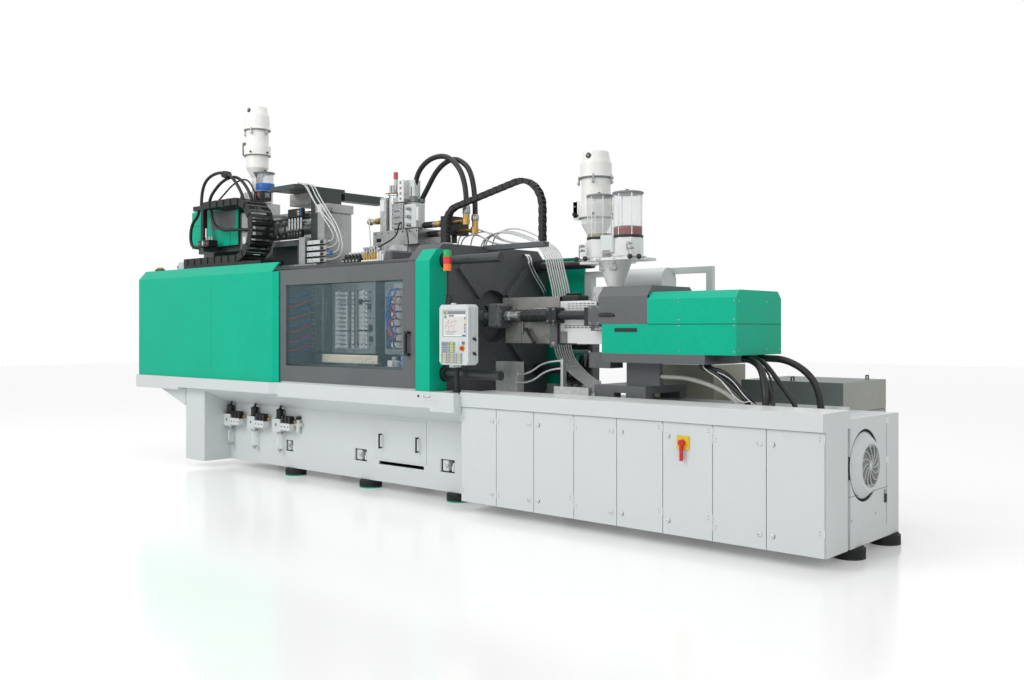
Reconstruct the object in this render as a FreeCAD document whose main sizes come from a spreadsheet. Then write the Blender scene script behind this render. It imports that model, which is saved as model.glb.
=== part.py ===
import FreeCAD, Part
import math
import os
import re

import Sketcher
from FreeCAD import Placement, Rotation, Vector

# Injection moulding machine with a turning mould cube and two injection units.
# Row frame: X along the machine, injection end at +X; Y across it, operator side at -Y; Z up
# from the floor. Y values are measured from the mould axis, and axis_y carries them into the row
# frame, whose origin is the middle of the whole machine's footprint. All lengths in millimetres.

os.makedirs("parts", exist_ok=True)
doc = FreeCAD.newDocument("InjectionMouldingMachine")
sheet = doc.addObject("Spreadsheet::Sheet", "Sizes")
cell_count = 0
sub_parts = []


def sizes(**named):
    """Write driving dimensions into the sheet, each under its own alias."""
    global cell_count
    for alias, number in named.items():
        cell_count += 1
        cell = f"A{cell_count}"
        sheet.set(cell, str(number))
        sheet.setAlias(cell, alias)


# ---------------------------------------------------------------- stations along and across
sizes(
    machine_length=9520,
    machine_depth=2420,
    machine_height=4556,
    axis_y=-210,            # mould axis, seen from the middle of the footprint
    left_end="=-machine_length / 2",
    guard_seam_x=-3010,     # joint between the two front guard panels
    guard_right_x=-1760,    # where the front guard turns in to the door plane
    door_left_x=-1790,      # left edge of the sliding door
    door_right_x=545,
    pillar_left_x=560,
    pillar_right_x=760,
    rear_guard_right_x=1200,
    cabinet_left_x=1110,
    cowl_right_x="=machine_length / 2",
    cowl_proud=50,
    bed_right_x="=cowl_right_x - cowl_proud",
    column_left_x=-3700,
    column_width=430,
    roof_right_x=-2360,
)
# ---------------------------------------------------------------- bed, feet and ledge
sizes(
    foot_height=90,
    foot_radius=122,
    foot_rim=14,
    front_foot_x=-2003,
    front_foot_pitch=1352,
    front_foot_count=3,
    front_foot_y=-452,
    inner_foot_x=2040,
    inner_foot_pitch=1295,
    inner_foot_count=3,
    inner_foot_y=-240,
    rear_foot_x=-3440,
    rear_foot_pitch=1345,
    rear_foot_count=7,
    rear_foot_y=440,
    bed_half_width=520,
    bed_sheet=20,
    clamp_bed_top=985,
    injection_bed_front_y=-400,
    injection_bed_top=1045,
    ledge_top=1113,
    ledge_front_y="=-machine_depth / 2 - axis_y",
    ledge_door_y=-930,
    ledge_bottom=985,
    ledge_door_bottom=955,
    ledge_lip_bottom=925,
    ledge_lip_x=780,
    ledge_rear_y=980,
    ledge_inner_y=870,
    soffit_low=790,
    soffit_front_y=-900,
    soffit_rear_y=900,
    column_front_y=-890,
    gusset_thickness=40,
    gusset_reach=710,
    gusset_drop=230,
    port_width=200,
    port_low=280,
    port_height=130,
    port_left_x=-2106,
    port_middle_x=-836,
    port_right_x=509,
    port_narrow=140,
    hatch_left_x=-506,
    hatch_right_x=304,
    hatch_low=330,
    hatch_high=760,
    hatch_lap=30,
    hatch_sheet=4,
    slot_low=273,
    slot_high=309,
    slot_left_x=-436,
    slot_right_x=264,
    bow_radius=9,
    bow_height=140,
    bow_reach=45,
    bow_left_x=-376,
    bow_right_x=199,
    bow_low=455,
)
# ---------------------------------------------------------------- electrical cabinet and doors
sizes(
    door_pitch=450,
    bay_count=8,
    door_gap=3,
    door_thickness=20,
    door_front_y=-830,
    door_low=95,
    door_high=980,
    band_low=984,
    band_top=1117,
    band_front_y=-850,
    cabinet_back_y=-444,
    cabinet_sheet=15,
    mounting_plate_y=-500,
    module_depth=120,
    lock_radius=16,
    lock_proud=6,
    lock_high=870,
    lock_low=202,
    lock_inset=55,
    switch_plate_x=3497,
    switch_plate_width=109,
    switch_plate_low=777,
    switch_plate_height=103,
    switch_plate_proud=12,
    switch_height=829,
    switch_knob_radius=26,
    switch_knob_proud=30,
    lever_length=140,
    lever_width=22,
    running_gap=0.3,
)
# ---------------------------------------------------------------- fan end
sizes(
    fan_y=-140,
    fan_height=688,
    fan_hole_radius=273,
    end_sheet=20,
    cowl_radius=252,
    cowl_edge=60,
    cowl_depth=260,
    cowl_sheet=6,
    grille_radius=165,
    grille_step=9,
    grille_slot_width=7,
    grille_slot_count=28,
    inner_slot_from=36,
    inner_slot_to=88,
    outer_slot_from=100,
    outer_slot_to=154,
    fan_radius=205,
    fan_hub_radius=60,
    fan_depth=70,
    fan_blade_count=9,
    fan_blade_thickness=6,
    fan_setback=110,
    motor_radius=190,
    motor_length=520,
    motor_foot_width=300,
    motor_shaft_radius=24,
)
# ---------------------------------------------------------------- cabinets behind the bed
sizes(
    tank_left_x=3300,
    tank_right_x=4250,
    tank_back_y="=machine_depth / 2 - axis_y",
    tank_base_top=1000,
    tank_top=1262,
    tank_gap=6,
    tank_handle_width=60,
    tank_handle_height=38,
    tank_handle_bar=10,
    tank_handle_x=3745,
    tank_handle_far_x=4110,
    switchgear_left_x=2270,
    switchgear_right_x=3020,
    switchgear_back_y=1100,
    switchgear_top=1380,
    frame_post=60,
    frame_y=800,
    frame_left_width=85,
    frame_left_x=1310,
    frame_right_x=2830,
    frame_low=2250,
    frame_top=2310,
    tank_vessel_radius=130,
    tank_vessel_length=555,
    tank_vessel_x=1840,
)
# ---------------------------------------------------------------- clamp housing and front door
sizes(
    guard_front_y=-960,
    guard_rear_y=960,
    guard_sheet=20,
    guard_side_top=2358,
    ridge_height=2470,
    ridge_inset=100,
    roof_sheet=30,
    corner_width=70,
    corner_depth=45,
    seam_width=4,
    door_face_y=-900,
    door_frame_depth=30,
    door_top=2368,
    rail_height=19,
    window_left_x=-1575,
    window_right_x=370,
    window_low=1305,
    window_high=2200,
    window_lap=20,
    window_sheet=8,
    handle_x=445,
    handle_low=1450,
    handle_high=1690,
    handle_reach=45,
    handle_bar=24,
    pillar_face_y=-910,
    pillar_sheet=10,
    pillar_return_y=-680,
    pillar_shelf_y=-800,
    pillar_side_top=2374,
    pillar_ridge=2490,
)
# ---------------------------------------------------------------- platens, tie bars and cube
sizes(
    clamp_height=1830,
    bar_half_y=700,
    bar_half_z=550,
    bar_radius=45,
    bar_right_x=1500,
    bar_left_x=-4520,
    bar_clearance=0.5,
    collar_radius=70,
    tie_nut_radius=59,
    collar_length=60,
    platen_right_x=740,
    platen_thickness=340,
    platen_half_width=860,
    platen_low=990,
    platen_top=2550,
    platen_corner=150,
    platen_recess_radius=270,
    platen_recess_depth=90,
    platen_bore_radius=110,
    rib_width=70,
    rib_proud=40,
    rib_length=420,
    moving_left_x=-2310,
    moving_thickness=350,
    moving_top=2400,
    end_platen_left_x=-4300,
    end_platen_thickness=350,
    clamp_cylinder_radius=260,
    clamp_cylinder_length=420,
    piston_radius=150,
    piston_clearance=0.4,
    piston_tail=400,
    cube_x=-1040,
    cube_side=752,
    cube_low=1440,
    cube_high=2220,
    cube_pin_radius=120,
    mould_low=1440,
    mould_high=2220,
    mould_half_width=380,
    moving_mould_face_x=-1580,
    fixed_mould_face_x=-500,
    cavity_radius=14,
    cavity_depth=20,
    cavity_pitch=72,
    cavity_columns=9,
    cavity_rows=9,
    table_left_x=-1700,
    table_right_x=-600,
    table_half_width=420,
    table_low=1330,
    table_top=1420,
    carriage_plate_top=1040,
    carriage_column_half=260,
    frame_column_near_y=545,
    frame_column_far_y=650,
    frame_column_left_x=-1250,
    frame_column_right_x=-750,
    bridge_low=2380,
    bridge_top=2440,
    bridge_right_x=-350,
    bridge_front_y=-420,
    bridge_shelf_y=325,
    top_bearing_radius=150,
    guide_rail_half_y=330,
    guide_rail_width=60,
    guide_rail_top=1003,
    guide_rail_left_x=-2600,
    guide_rail_right_x=380,
)
# ---------------------------------------------------------------- equipment above the clamp
sizes(
    head_front_y=-280,
    head_back_y=120,
    head_plate_left_x=-2000,
    head_plate_right_x=-1880,
    head_tip_half=90,
    canopy_left_x=-2390,
    canopy_right_x=-1900,
    canopy_front_y=-550,
    canopy_back_y=190,
    canopy_low=3350,
    canopy_top=3400,
    channel_width=150,
    channel_back_y=810,
    channel_depth=80,
    gear_left_x=-2480,
    gear_right_x=-2030,
    gear_front_y=-200,
    gear_back_y=100,
    gear_height=140,
    head_left_x=-1820,
    head_right_x=-1690,
    head_low=2470,
    head_high=3080,
    head_cap_top=3180,
    head_cap_lap=40,
    post_left_x=-2010,
    post_width=110,
    post_y=-350,
    post_high=2790,
    coupling_count=4,
    coupling_length=370,
    coupling_height=48,
    coupling_pitch=70,
    dome_x=-800,
    top_group_y=150,
    dome_radius=270,
    dome_top=2650,
    plinth_left_x=-1100,
    plinth_right_x=-350,
    plinth_half_width=190,
    plinth_top=2820,
    valve_block_width=115,
    valve_block_top=3160,
    valve_block_depth=160,
    accumulator_x=-925,
    accumulator_radius=52,
    accumulator_top=3248,
    pilot_radius=22,
    pilot_top=3430,
    pilot_knob_radius=26,
    pilot_knob_top=3510,
    manifold_left_x=-750,
    manifold_right_x=-563,
    manifold_top=3120,
    upper_block_top=3380,
    pipe_radius=22,
    pipe_right_x=377,
    pipe_height=2855,
    pipe_spread=90,
    pipe_step=43,
    hose_seat_height=60,
    hose_seat_length=90,
    bracket_left_x=-10,
    bracket_right_x=90,
    bracket_half_width=160,
    bracket_top=2925,
    elbow_radius=34,
    elbow_height=200,
    fitting_radius=26,
    fitting_length=270,
    fitting_height=2970,
    small_manifold_left_x=-1370,
    small_manifold_width=100,
)
# ---------------------------------------------------------------- second injection unit
sizes(
    second_height=2960,
    second_left_x=-4530,
    second_right_x=-3420,
    second_half_width=320,
    second_low=2790,
    second_side_top=3270,
    second_top=3320,
    second_chamfer=60,
    second_sheet=10,
    second_base_left_x=-4480,
    second_base_right_x=-2010,
    second_base_low=2720,
    second_base_half=250,
    second_throat_width=200,
    second_rod_height=3080,
    second_rod_y=-200,
    second_rod_radius=48,
    second_stand_x=-4010,
    second_stand_width=60,
    second_stand_y=-500,
    second_bar_left_x=-4200,
    second_bar_right_x=-3730,
    second_bar_low=3262,
    second_bar_top=3318,
    second_block_left_x=-3340,
    second_block_right_x=-3000,
    second_block_y=-345,
    second_block_top=3180,
    second_barrel_radius=85,
    second_barrel_right_x=-2000,
    second_jacket_radius=125,
    second_jacket_pitch=150,
    second_jacket_length=110,
    second_jacket_count=5,
    second_jacket_x=-3120,
    shoe_length=240,
    shoe_left_x=-4350,
    shoe_right_x=-3000,
)
# ---------------------------------------------------------------- vacuum loaders and dosing
sizes(
    loader_two_x=-3320,
    loader_two_y=-100,
    loader_two_top="=machine_height",
    loader_radius=142,
    loader_cap_radius=122,
    loader_cap_length=110,
    loader_body_length=165,
    loader_ring=24,
    loader_ring_proud=12,
    loader_can_length=200,
    loader_collar_radius=168,
    loader_collar_length=120,
    loader_lower_length=160,
    loader_one_lower_length=60,
    loader_one_body_length=125,
    loader_one_can_length=260,
    loader_cone_length=130,
    loader_outlet_radius=70,
    loader_box_reach=70,
    loader_box_height=170,
    loader_box_width=110,
    cup_x=-3145,
    cup_radius=115,
    cup_base_high=3560,
    cup_top=3690,
    cup_lid=14,
    feeder_low=3330,
    feeder_high=3460,
    feeder_half=140,
    dosing_x=2290,
    dosing_plate_low=2335,
    dosing_plate_top=2360,
    dosing_left_x=2110,
    dosing_wing_x=1795,
    dosing_step_y=150,
    housing_inset=14,
    dosing_right_x=2640,
    dosing_front_y=-235,
    dosing_back_y=335,
    dosing_cone_top=155,
    dosing_cone_bottom=72,
    dosing_cone_low=2102,
    housing_top=2540,
    tube_left_x=2205,
    tube_right_x=2520,
    tube_y=-120,
    tube_left_radius=120,
    tube_right_radius=134,
    tube_top=2930,
    tube_wall=5,
    tube_lid=18,
    strip_height=12,
    pellet_low_height=35,
    pellet_high_height=75,
    third_x=1900,
    third_y=220,
    third_radius=120,
    lever_ball_radius=20,
    lever_rod_radius=6,
    gate_reach=45,
    loader_one_top=3420,
)
# ---------------------------------------------------------------- injection unit
sizes(
    carriage_left_x=2420,
    valve_left_x=2180,
    valve_front_y=-250,
    valve_back_y=-60,
    valve_low=1360,
    cover_right_x=3760,
    cover_half_width=380,
    cover_low=1500,
    cover_seam=1755,
    cover_side_top=1970,
    cover_top=2032,
    cover_chamfer=62,
    cover_sheet=8,
    hood_left_x=2380,
    hood_right_x=2905,
    hood_side_top=2002,
    hood_top=2092,
    hood_chamfer=80,
    hood_slot_length=150,
    hood_slot_height=26,
    hood_slot_height_from_seam=75,
    base_low=1420,
    base_right_x=3470,
    tail_right_x=3700,
    tail_low=1440,
    pedestal_left_x=2560,
    pedestal_right_x=2910,
    pedestal_half_width=200,
    pedestal_plate=50,
    pedestal_web_left_x=2570,
    pedestal_web_right_x=2680,
    sled_left_x=2300,
    sled_right_x=2850,
    sled_low=1150,
    sled_top=1215,
    sled_half_width=324,
    rail_half_y=270,
    rail_width=60,
    rail_top=1085,
    rail_left_x=1400,
    rail_right_x=4400,
    tray_left_x=1880,
    tray_right_x=2280,
    tray_front_y=-395,
    tray_back_y=-345,
    tray_top=1185,
    pipe_post_x=1960,
    pipe_post_top=1440,
    bar_box_left_x=1150,
    bar_box_right_x=1420,
    bar_box_front_y=-395,
    bar_box_back_y=-290,
    bar_box_top=1400,
    shoe_block_length=210,
    barrel_height=1840,
    barrel_radius=70,
    barrel_bore_radius=40,
    barrel_left_x=960,
    nozzle_left_x=700,
    nozzle_radius=32,
    nozzle_bore_radius=8,
    barrel_right_x=2960,
    drive_right_x=3660,
    drive_radius=125,
    throat_left_x=2165,
    throat_right_x=2376,
    throat_half_width=175,
    throat_low=1700,
    throat_top=2100,
    throat_bore_radius=50,
    screw_radius=39.5,
    screw_core_radius=27,
    screw_left_x=1050,
    screw_right_x=3050,
    screw_tip_length=70,
    shroud_left_x=1800,
    shroud_right_x=2160,
    shroud_half_width=200,
    shroud_low=1575,
    shroud_top=1975,
    shroud_sheet=6,
    shroud_skirt_top=1697,
    shroud_skirt_right_x=2412,
    guard_left_x=1060,
    guard_end_x=1790,
    lower_guard_left_x=1100,
    lower_guard_right_x=1790,
    guard_half_width=200,
    guard_shell=5,
    upper_guard_low=1895,
    upper_guard_top=2020,
    lower_guard_low=1575,
    lower_guard_top=1785,
    hinge_radius=8,
    catch_x=1330,
    catch_length=110,
    catch_radius=11,
    traverse_y=280,
    traverse_rod_radius=36,
    traverse_rod_right_x=2080,
    traverse_left_x=1410,
    traverse_right_x=2150,
    traverse_radius=58,
    traverse_rear_radius=42,
    traverse_step_x=1740,
    traverse_clearance=0.4,
    traverse_block_right_x=2310,
    traverse_block_half=100,
    traverse_eye_radius=112,
    traverse_eye_length=85,
    traverse_nut_radius=60,
    traverse_nut_length=80,
    traverse_block_drop=60,
    tail_gap=0.3,
)
# ---------------------------------------------------------------- control panel and tower
sizes(
    panel_left_x=970,
    panel_right_x=1350,
    panel_front_y=-980,
    panel_back_y=-850,
    panel_low=1380,
    panel_high=1940,
    panel_corner=28,
    screen_left_x=1015,
    screen_right_x=1325,
    screen_low=1640,
    screen_high=1890,
    screen_depth=4,
    key_size=13,
    key_pitch=24,
    key_proud=3,
    key_columns=12,
    key_rows=7,
    key_left_x=1005,
    key_low=1405,
    stop_x=1275,
    stop_height=1535,
    stop_radius=20,
    stop_stem=9,
    stop_travel=8,
    stop_seat=26,
    knob_x=1290,
    knob_height=1585,
    knob_radius=12,
    arm_x=1030,
    arm_y=-810,
    arm_radius=24,
    arm_collar_radius=40,
    arm_bracket=30,
    tower_x=995,
    tower_y=-900,
    tower_pole_radius=9,
    tower_low=2262,
    tower_radius=38,
    tower_segment=66,
)
# ---------------------------------------------------------------- service units
sizes(
    service_left_x=-3266,
    service_pitch=520,
    service_count=3,
    service_top=660,
    service_body=150,
    service_depth=110,
    service_cap=90,
    service_cap_radius=42,
    service_bowl=230,
    service_bowl_radius=26,
    service_valve_length=185,
    service_valve_height=85,
    tap_x=-1826,
    tap_radius=26,
    tap_length=190,
    tap_height=700,
)
# ---------------------------------------------------------------- hoses and energy chains
sizes(
    chain_y=-495,
    chain_width=330,
    chain_height=85,
    chain_wall=9,
    arch_wall=6,
    chain_foot_gap=12,
    chain_pitch=78,
    chain_floor=2533,
    chain_turn_radius=352,
    chain_turn_x=-2995,
    chain_fixed_x=-4150,
    chain_moving_x=-3710,
    chain_tray_right_x=-2420,
    arch_y=-60,
    arch_width=70,
    arch_height=52,
    arch_pitch=45,
    arch_left_x=125,
    arch_left_low=2640,
    arch_left_corner=2972,
    arch_right_x=1460,
    arch_right_corner=3255,
    arch_right_low=2577,
    arch_left_radius=185,
    arch_right_radius=290,
    arch_bracket_top=2565,
    arch_bracket_height=50,
    arch_foot_half=45,
    chain_end_depth=20,
    bend_share=0.45,
    wide_hose_radius=29,
    middle_hose_radius=20,
    thin_hose_radius=11,
    tube_bundle_radius=8,
    tube_bundle_pitch=18,
    tube_block_left_x=120,
    tube_block_right_x=260,
    tube_block_y=445,
    tube_block_low=2080,
    tube_block_top=2200,
)
doc.recompute()

NAME = re.compile(r"[a-z][a-z_]*[a-z]")
TURNS = {
    "x": Rotation(Vector(0, 1, 0), 90),
    "y": Rotation(Vector(1, 0, 0), -90),
    "z": Rotation(),
}


def linked(formula):
    """The formula with each alias written as a reference to the sheet."""
    return NAME.sub(lambda found: "Sizes." + found.group(0), formula)


def size(formula):
    """The number that a formula on the sheet's aliases gives now."""
    return float(sheet.evalExpression(linked(formula)))


def bind(thing, prop, formula):
    """Tie one property to the sheet."""
    thing.setExpression(prop, linked(formula))


def place(thing, x, y, z):
    """Tie an object's place to the sheet, with y measured from the mould axis."""
    bind(thing, "Placement.Base.x", x)
    bind(thing, "Placement.Base.y", f"axis_y + ({y})")
    bind(thing, "Placement.Base.z", z)
    return thing


def box(name, x, y, z):
    """A block between the low and high bounds of each axis."""
    block = doc.addObject("Part::Box", name)
    for prop, (low, high) in (("Length", x), ("Width", y), ("Height", z)):
        bind(block, prop, f"({high}) - ({low})")
    return place(block, x[0], y[0], z[0])


def rod(name, axis, start, radius, length):
    """A cylinder from its start point along one axis."""
    bar = doc.addObject("Part::Cylinder", name)
    bar.Placement = Placement(Vector(), TURNS[axis])
    bind(bar, "Radius", radius)
    bind(bar, "Height", length)
    return place(bar, *start)


def cone(name, start, low_radius, high_radius, length):
    """A cone standing on its start point."""
    taper = doc.addObject("Part::Cone", name)
    bind(taper, "Radius1", low_radius)
    bind(taper, "Radius2", high_radius)
    bind(taper, "Height", length)
    return place(taper, *start)


def fuse(name, pieces):
    """One solid from several."""
    whole = doc.addObject("Part::MultiFuse", name)
    whole.Shapes = pieces
    whole.Refine = True
    return whole


def cut(name, base, tools):
    """A solid with other shapes taken out of it."""
    tool = tools[0] if len(tools) == 1 else fuse(name + "Tools", tools)
    rest = doc.addObject("Part::Cut", name)
    rest.Base = base
    rest.Tool = tool
    rest.Refine = True
    return rest


def group(name, pieces):
    """Several separate solids kept in one node."""
    together = doc.addObject("Part::Compound", name)
    together.Links = pieces
    return together


def profile(name, plane, points, length, at):
    """A padded outline whose corners are formulas measured from its own low corner."""
    body = doc.addObject("PartDesign::Body", name)
    sketch = body.newObject("Sketcher::SketchObject", name + "Outline")
    origin = next(face for face in body.Origin.OriginFeatures if face.Role == plane)
    sketch.AttachmentSupport = [(origin, "")]
    sketch.MapMode = "FlatFace"
    corners = [Vector(size(u), size(v), 0) for u, v in points]
    for index, corner in enumerate(corners):
        following = corners[(index + 1) % len(corners)]
        sketch.addGeometry(Part.LineSegment(corner, following), False)
    for index in range(len(corners)):
        following = (index + 1) % len(corners)
        sketch.addConstraint(Sketcher.Constraint("Coincident", index, 2, following, 1))
    for index, (u, v) in enumerate(points):
        for kind, formula, axis in (("DistanceX", u, -2), ("DistanceY", v, -1)):
            if formula == "0":
                sketch.addConstraint(Sketcher.Constraint("PointOnObject", index, 1, axis))
                continue
            limit = Sketcher.Constraint(kind, -1, 1, index, 1, size(formula))
            bind(sketch, f"Constraints[{sketch.addConstraint(limit)}]", formula)
    pad = body.newObject("PartDesign::Pad", name + "Pad")
    pad.Profile = sketch
    bind(pad, "Length", length)
    pad.Reversed = plane == "XZ_Plane"
    return place(body, *at)


def feature(name, shape):
    """A shape that Part's own functions make, kept as one object."""
    made = doc.addObject("Part::Feature", name)
    made.Shape = shape
    return made


def at(x, y, z):
    """A point with y measured from the mould axis."""
    return Vector(x, y + size("axis_y"), z)


def sub_part(label, thing):
    """Name a finished piece, which names its file too."""
    thing.Label = label
    sub_parts.append(thing)
    return thing


# ================================================================ bed
def make_bed():
    clamp = box("ClampBed", ("column_left_x", "cabinet_left_x"),
                ("-bed_half_width", "bed_half_width"), ("foot_height", "clamp_bed_top"))
    injection = box("InjectionBed", ("cabinet_left_x", "bed_right_x - end_sheet"),
                    ("injection_bed_front_y", "bed_half_width"),
                    ("foot_height", "injection_bed_top"))
    column = box("ColumnFront", ("column_left_x", "column_left_x + column_width"),
                 ("column_front_y", "-bed_half_width"), ("foot_height", "ledge_bottom"))
    outer = fuse("BedOuter", [clamp, injection, column])
    clamp_room = box("ClampRoom", ("column_left_x + bed_sheet", "cabinet_left_x + bed_sheet"),
                     ("-bed_half_width + bed_sheet", "bed_half_width - bed_sheet"),
                     ("foot_height + bed_sheet", "clamp_bed_top - bed_sheet"))
    injection_room = box(
        "InjectionRoom",
        ("cabinet_left_x + bed_sheet", "bed_right_x - end_sheet - bed_sheet"),
        ("injection_bed_front_y + bed_sheet", "bed_half_width - bed_sheet"),
        ("foot_height + bed_sheet", "injection_bed_top - bed_sheet"))
    through = ("-bed_half_width - bed_sheet", "-bed_half_width + 2 * bed_sheet")
    holes = [clamp_room, injection_room]
    for name, left, width in (("PortLeft", "port_left_x", "port_narrow"),
                              ("PortMiddle", "port_middle_x", "port_width"),
                              ("PortRight", "port_right_x", "port_width")):
        holes.append(box(name, (left, f"{left} + {width}"), through,
                         ("port_low", "port_low + port_height")))
    holes.append(box("Slot", ("slot_left_x", "slot_right_x"), through, ("slot_low", "slot_high")))
    holes.append(box("HatchOpening", ("hatch_left_x + hatch_lap", "hatch_right_x - hatch_lap"),
                     through, ("hatch_low + hatch_lap", "hatch_high - hatch_lap")))
    holes.append(rod("FanOpening", "x",
                     ("cowl_right_x - cowl_depth - bed_sheet", "fan_y", "fan_height"),
                     "fan_hole_radius", "cowl_depth"))
    shell = cut("BedShell", outer, holes)
    rails = [shell]
    for side in ("-", ""):
        middle = f"{side}rail_half_y"
        rails.append(box("CarriageRail", ("rail_left_x", "rail_right_x"),
                         (f"{middle} - rail_width / 2", f"{middle} + rail_width / 2"),
                         ("injection_bed_top", "rail_top")))
        middle = f"{side}guide_rail_half_y"
        rails.append(box("GuideRail", ("guide_rail_left_x", "guide_rail_right_x"),
                         (f"{middle} - guide_rail_width / 2", f"{middle} + guide_rail_width / 2"),
                         ("clamp_bed_top", "guide_rail_top")))
    rails.append(box("BedTray", ("tray_left_x", "tray_right_x"),
                     ("tray_front_y", "tray_back_y"), ("injection_bed_top", "tray_top")))
    rails.append(box("BarBox", ("bar_box_left_x", "bar_box_right_x"),
                     ("bar_box_front_y", "bar_box_back_y"),
                     ("injection_bed_top", "bar_box_top")))
    rails.append(box("PipePost", ("pipe_post_x", "pipe_post_x + rail_width / 2"),
                     ("tray_front_y", "tray_back_y"), ("tray_top", "pipe_post_top")))
    end = box("EndSheet", ("bed_right_x - end_sheet", "bed_right_x"),
              ("injection_bed_front_y", "bed_half_width"), ("foot_height", "injection_bed_top"))
    end_hole = rod("EndHole", "x", ("bed_right_x - 2 * end_sheet", "fan_y", "fan_height"),
                   "fan_hole_radius", "3 * end_sheet")
    rails.append(cut("EndPanel", end, [end_hole]))
    sub_part("machine_bed", fuse("Bed", rails))


def make_feet():
    feet = []
    for row in ("front_foot", "inner_foot", "rear_foot"):
        for index in range(int(size(f"{row}_count"))):
            x = f"{row}_x + {index} * {row}_pitch"
            pad = rod("FootPad", "z", (x, f"{row}_y", "0"), "foot_radius",
                      "foot_height - foot_rim")
            neck = rod("FootNeck", "z", (x, f"{row}_y", "foot_height - foot_rim"),
                       "foot_radius - foot_rim", "foot_rim")
            feet.append(fuse("Foot", [pad, neck]))
    sub_part("levelling_feet", group("Feet", feet))


def make_ledge():
    front = profile(
        "FrontLedge", "XY_Plane",
        [("0", "0"),
         ("guard_right_x - left_end", "0"),
         ("guard_right_x + corner_width - left_end", "ledge_door_y - ledge_front_y"),
         ("cabinet_left_x - left_end", "ledge_door_y - ledge_front_y"),
         ("cabinet_left_x - left_end", "-ledge_inner_y - ledge_front_y"),
         ("0", "-ledge_inner_y - ledge_front_y")],
        "ledge_top - ledge_bottom", ("left_end", "ledge_front_y", "ledge_bottom"))
    deck = box("LedgeDeck", ("ledge_lip_x", "cabinet_left_x"),
               ("-ledge_inner_y", "-bed_half_width"), ("ledge_bottom", "ledge_top"))
    lip = box("LedgeLip", ("guard_right_x + corner_width", "cabinet_left_x"),
              ("ledge_door_y", "-bed_half_width"), ("ledge_door_bottom", "ledge_bottom"))
    end_lip = box("LedgeEndLip", ("ledge_lip_x", "cabinet_left_x"),
                  ("ledge_door_y", "soffit_front_y"), ("ledge_lip_bottom", "ledge_door_bottom"))
    soffit = profile(
        "FrontSoffit", "YZ_Plane",
        [("0", "ledge_door_bottom - soffit_low"),
         ("-bed_half_width - soffit_front_y", "0"),
         ("-bed_half_width - soffit_front_y", "ledge_bottom - soffit_low"),
         ("0", "ledge_bottom - soffit_low")],
        "cabinet_left_x - column_left_x - column_width",
        ("column_left_x + column_width", "soffit_front_y", "soffit_low"))
    rear = box("RearLedge", ("left_end", "rear_guard_right_x"),
               ("ledge_inner_y", "ledge_rear_y"), ("ledge_bottom", "ledge_top"))
    rear_soffit = profile(
        "RearSoffit", "YZ_Plane",
        [("0", "0"),
         ("soffit_rear_y - bed_half_width", "ledge_door_bottom - soffit_low"),
         ("soffit_rear_y - bed_half_width", "ledge_bottom - soffit_low"),
         ("0", "ledge_bottom - soffit_low")],
        "cabinet_left_x - column_left_x",
        ("column_left_x", "bed_half_width", "soffit_low"))
    floor = box("ClampEndFloor", ("left_end", "column_left_x"),
                ("ledge_front_y", "ledge_rear_y"), ("ledge_door_bottom", "ledge_bottom"))
    gussets = []
    for name, near in (("FrontGusset", "soffit_front_y"),
                       ("RearGusset", "soffit_rear_y - gusset_thickness")):
        gussets.append(profile(
            name, "XZ_Plane",
            [("0", "gusset_drop"), ("gusset_reach", "0"), ("gusset_reach", "gusset_drop")],
            "gusset_thickness",
            ("column_left_x - gusset_reach", near, "ledge_bottom - gusset_drop")))
    low_rail = box("LowRail", ("left_end + guard_sheet", "door_right_x"),
                   ("door_face_y + door_thickness / 2", "door_face_y + door_frame_depth"),
                   ("ledge_top", "ledge_top + rail_height"))
    arm = rod("PanelArm", "z", ("arm_x", "arm_y", "ledge_top"),
              "arm_radius", "panel_low - ledge_top - running_gap - arm_bracket")
    collar = rod("ArmCollar", "z", ("arm_x", "arm_y", "ledge_top"), "arm_collar_radius",
                 "arm_bracket")
    sub_part("guard_ledge", fuse("Ledge", [front, deck, lip, end_lip, soffit, rear, rear_soffit, floor,
                                           *gussets, low_rail, arm,
                                           collar]))


def bow(name, x, low, height, face_y, radius, reach):
    """A bow handle: two stubs out of a face and a bar between them."""
    stubs = []
    for z in (low, f"{low} + {height}"):
        stubs.append(rod(name + "Stub", "y", (x, f"{face_y} - {reach}", z), radius, reach))
    bar = rod(name + "Bar", "z", (x, f"{face_y} - {reach}", f"{low} - {radius}"), radius,
              f"{height} + 2 * {radius}")
    return [*stubs, bar]


def make_access_panel():
    face = "-bed_half_width - hatch_sheet"
    plate = box("HatchPlate", ("hatch_left_x", "hatch_right_x"), (face, "-bed_half_width"),
                ("hatch_low", "hatch_high"))
    left = bow("HatchLeft", "bow_left_x", "bow_low", "bow_height", face, "bow_radius", "bow_reach")
    right = bow("HatchRight", "bow_right_x", "bow_low", "bow_height", face, "bow_radius",
                "bow_reach")
    sub_part("access_panel", fuse("Hatch", [plate, *left, *right]))


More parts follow.
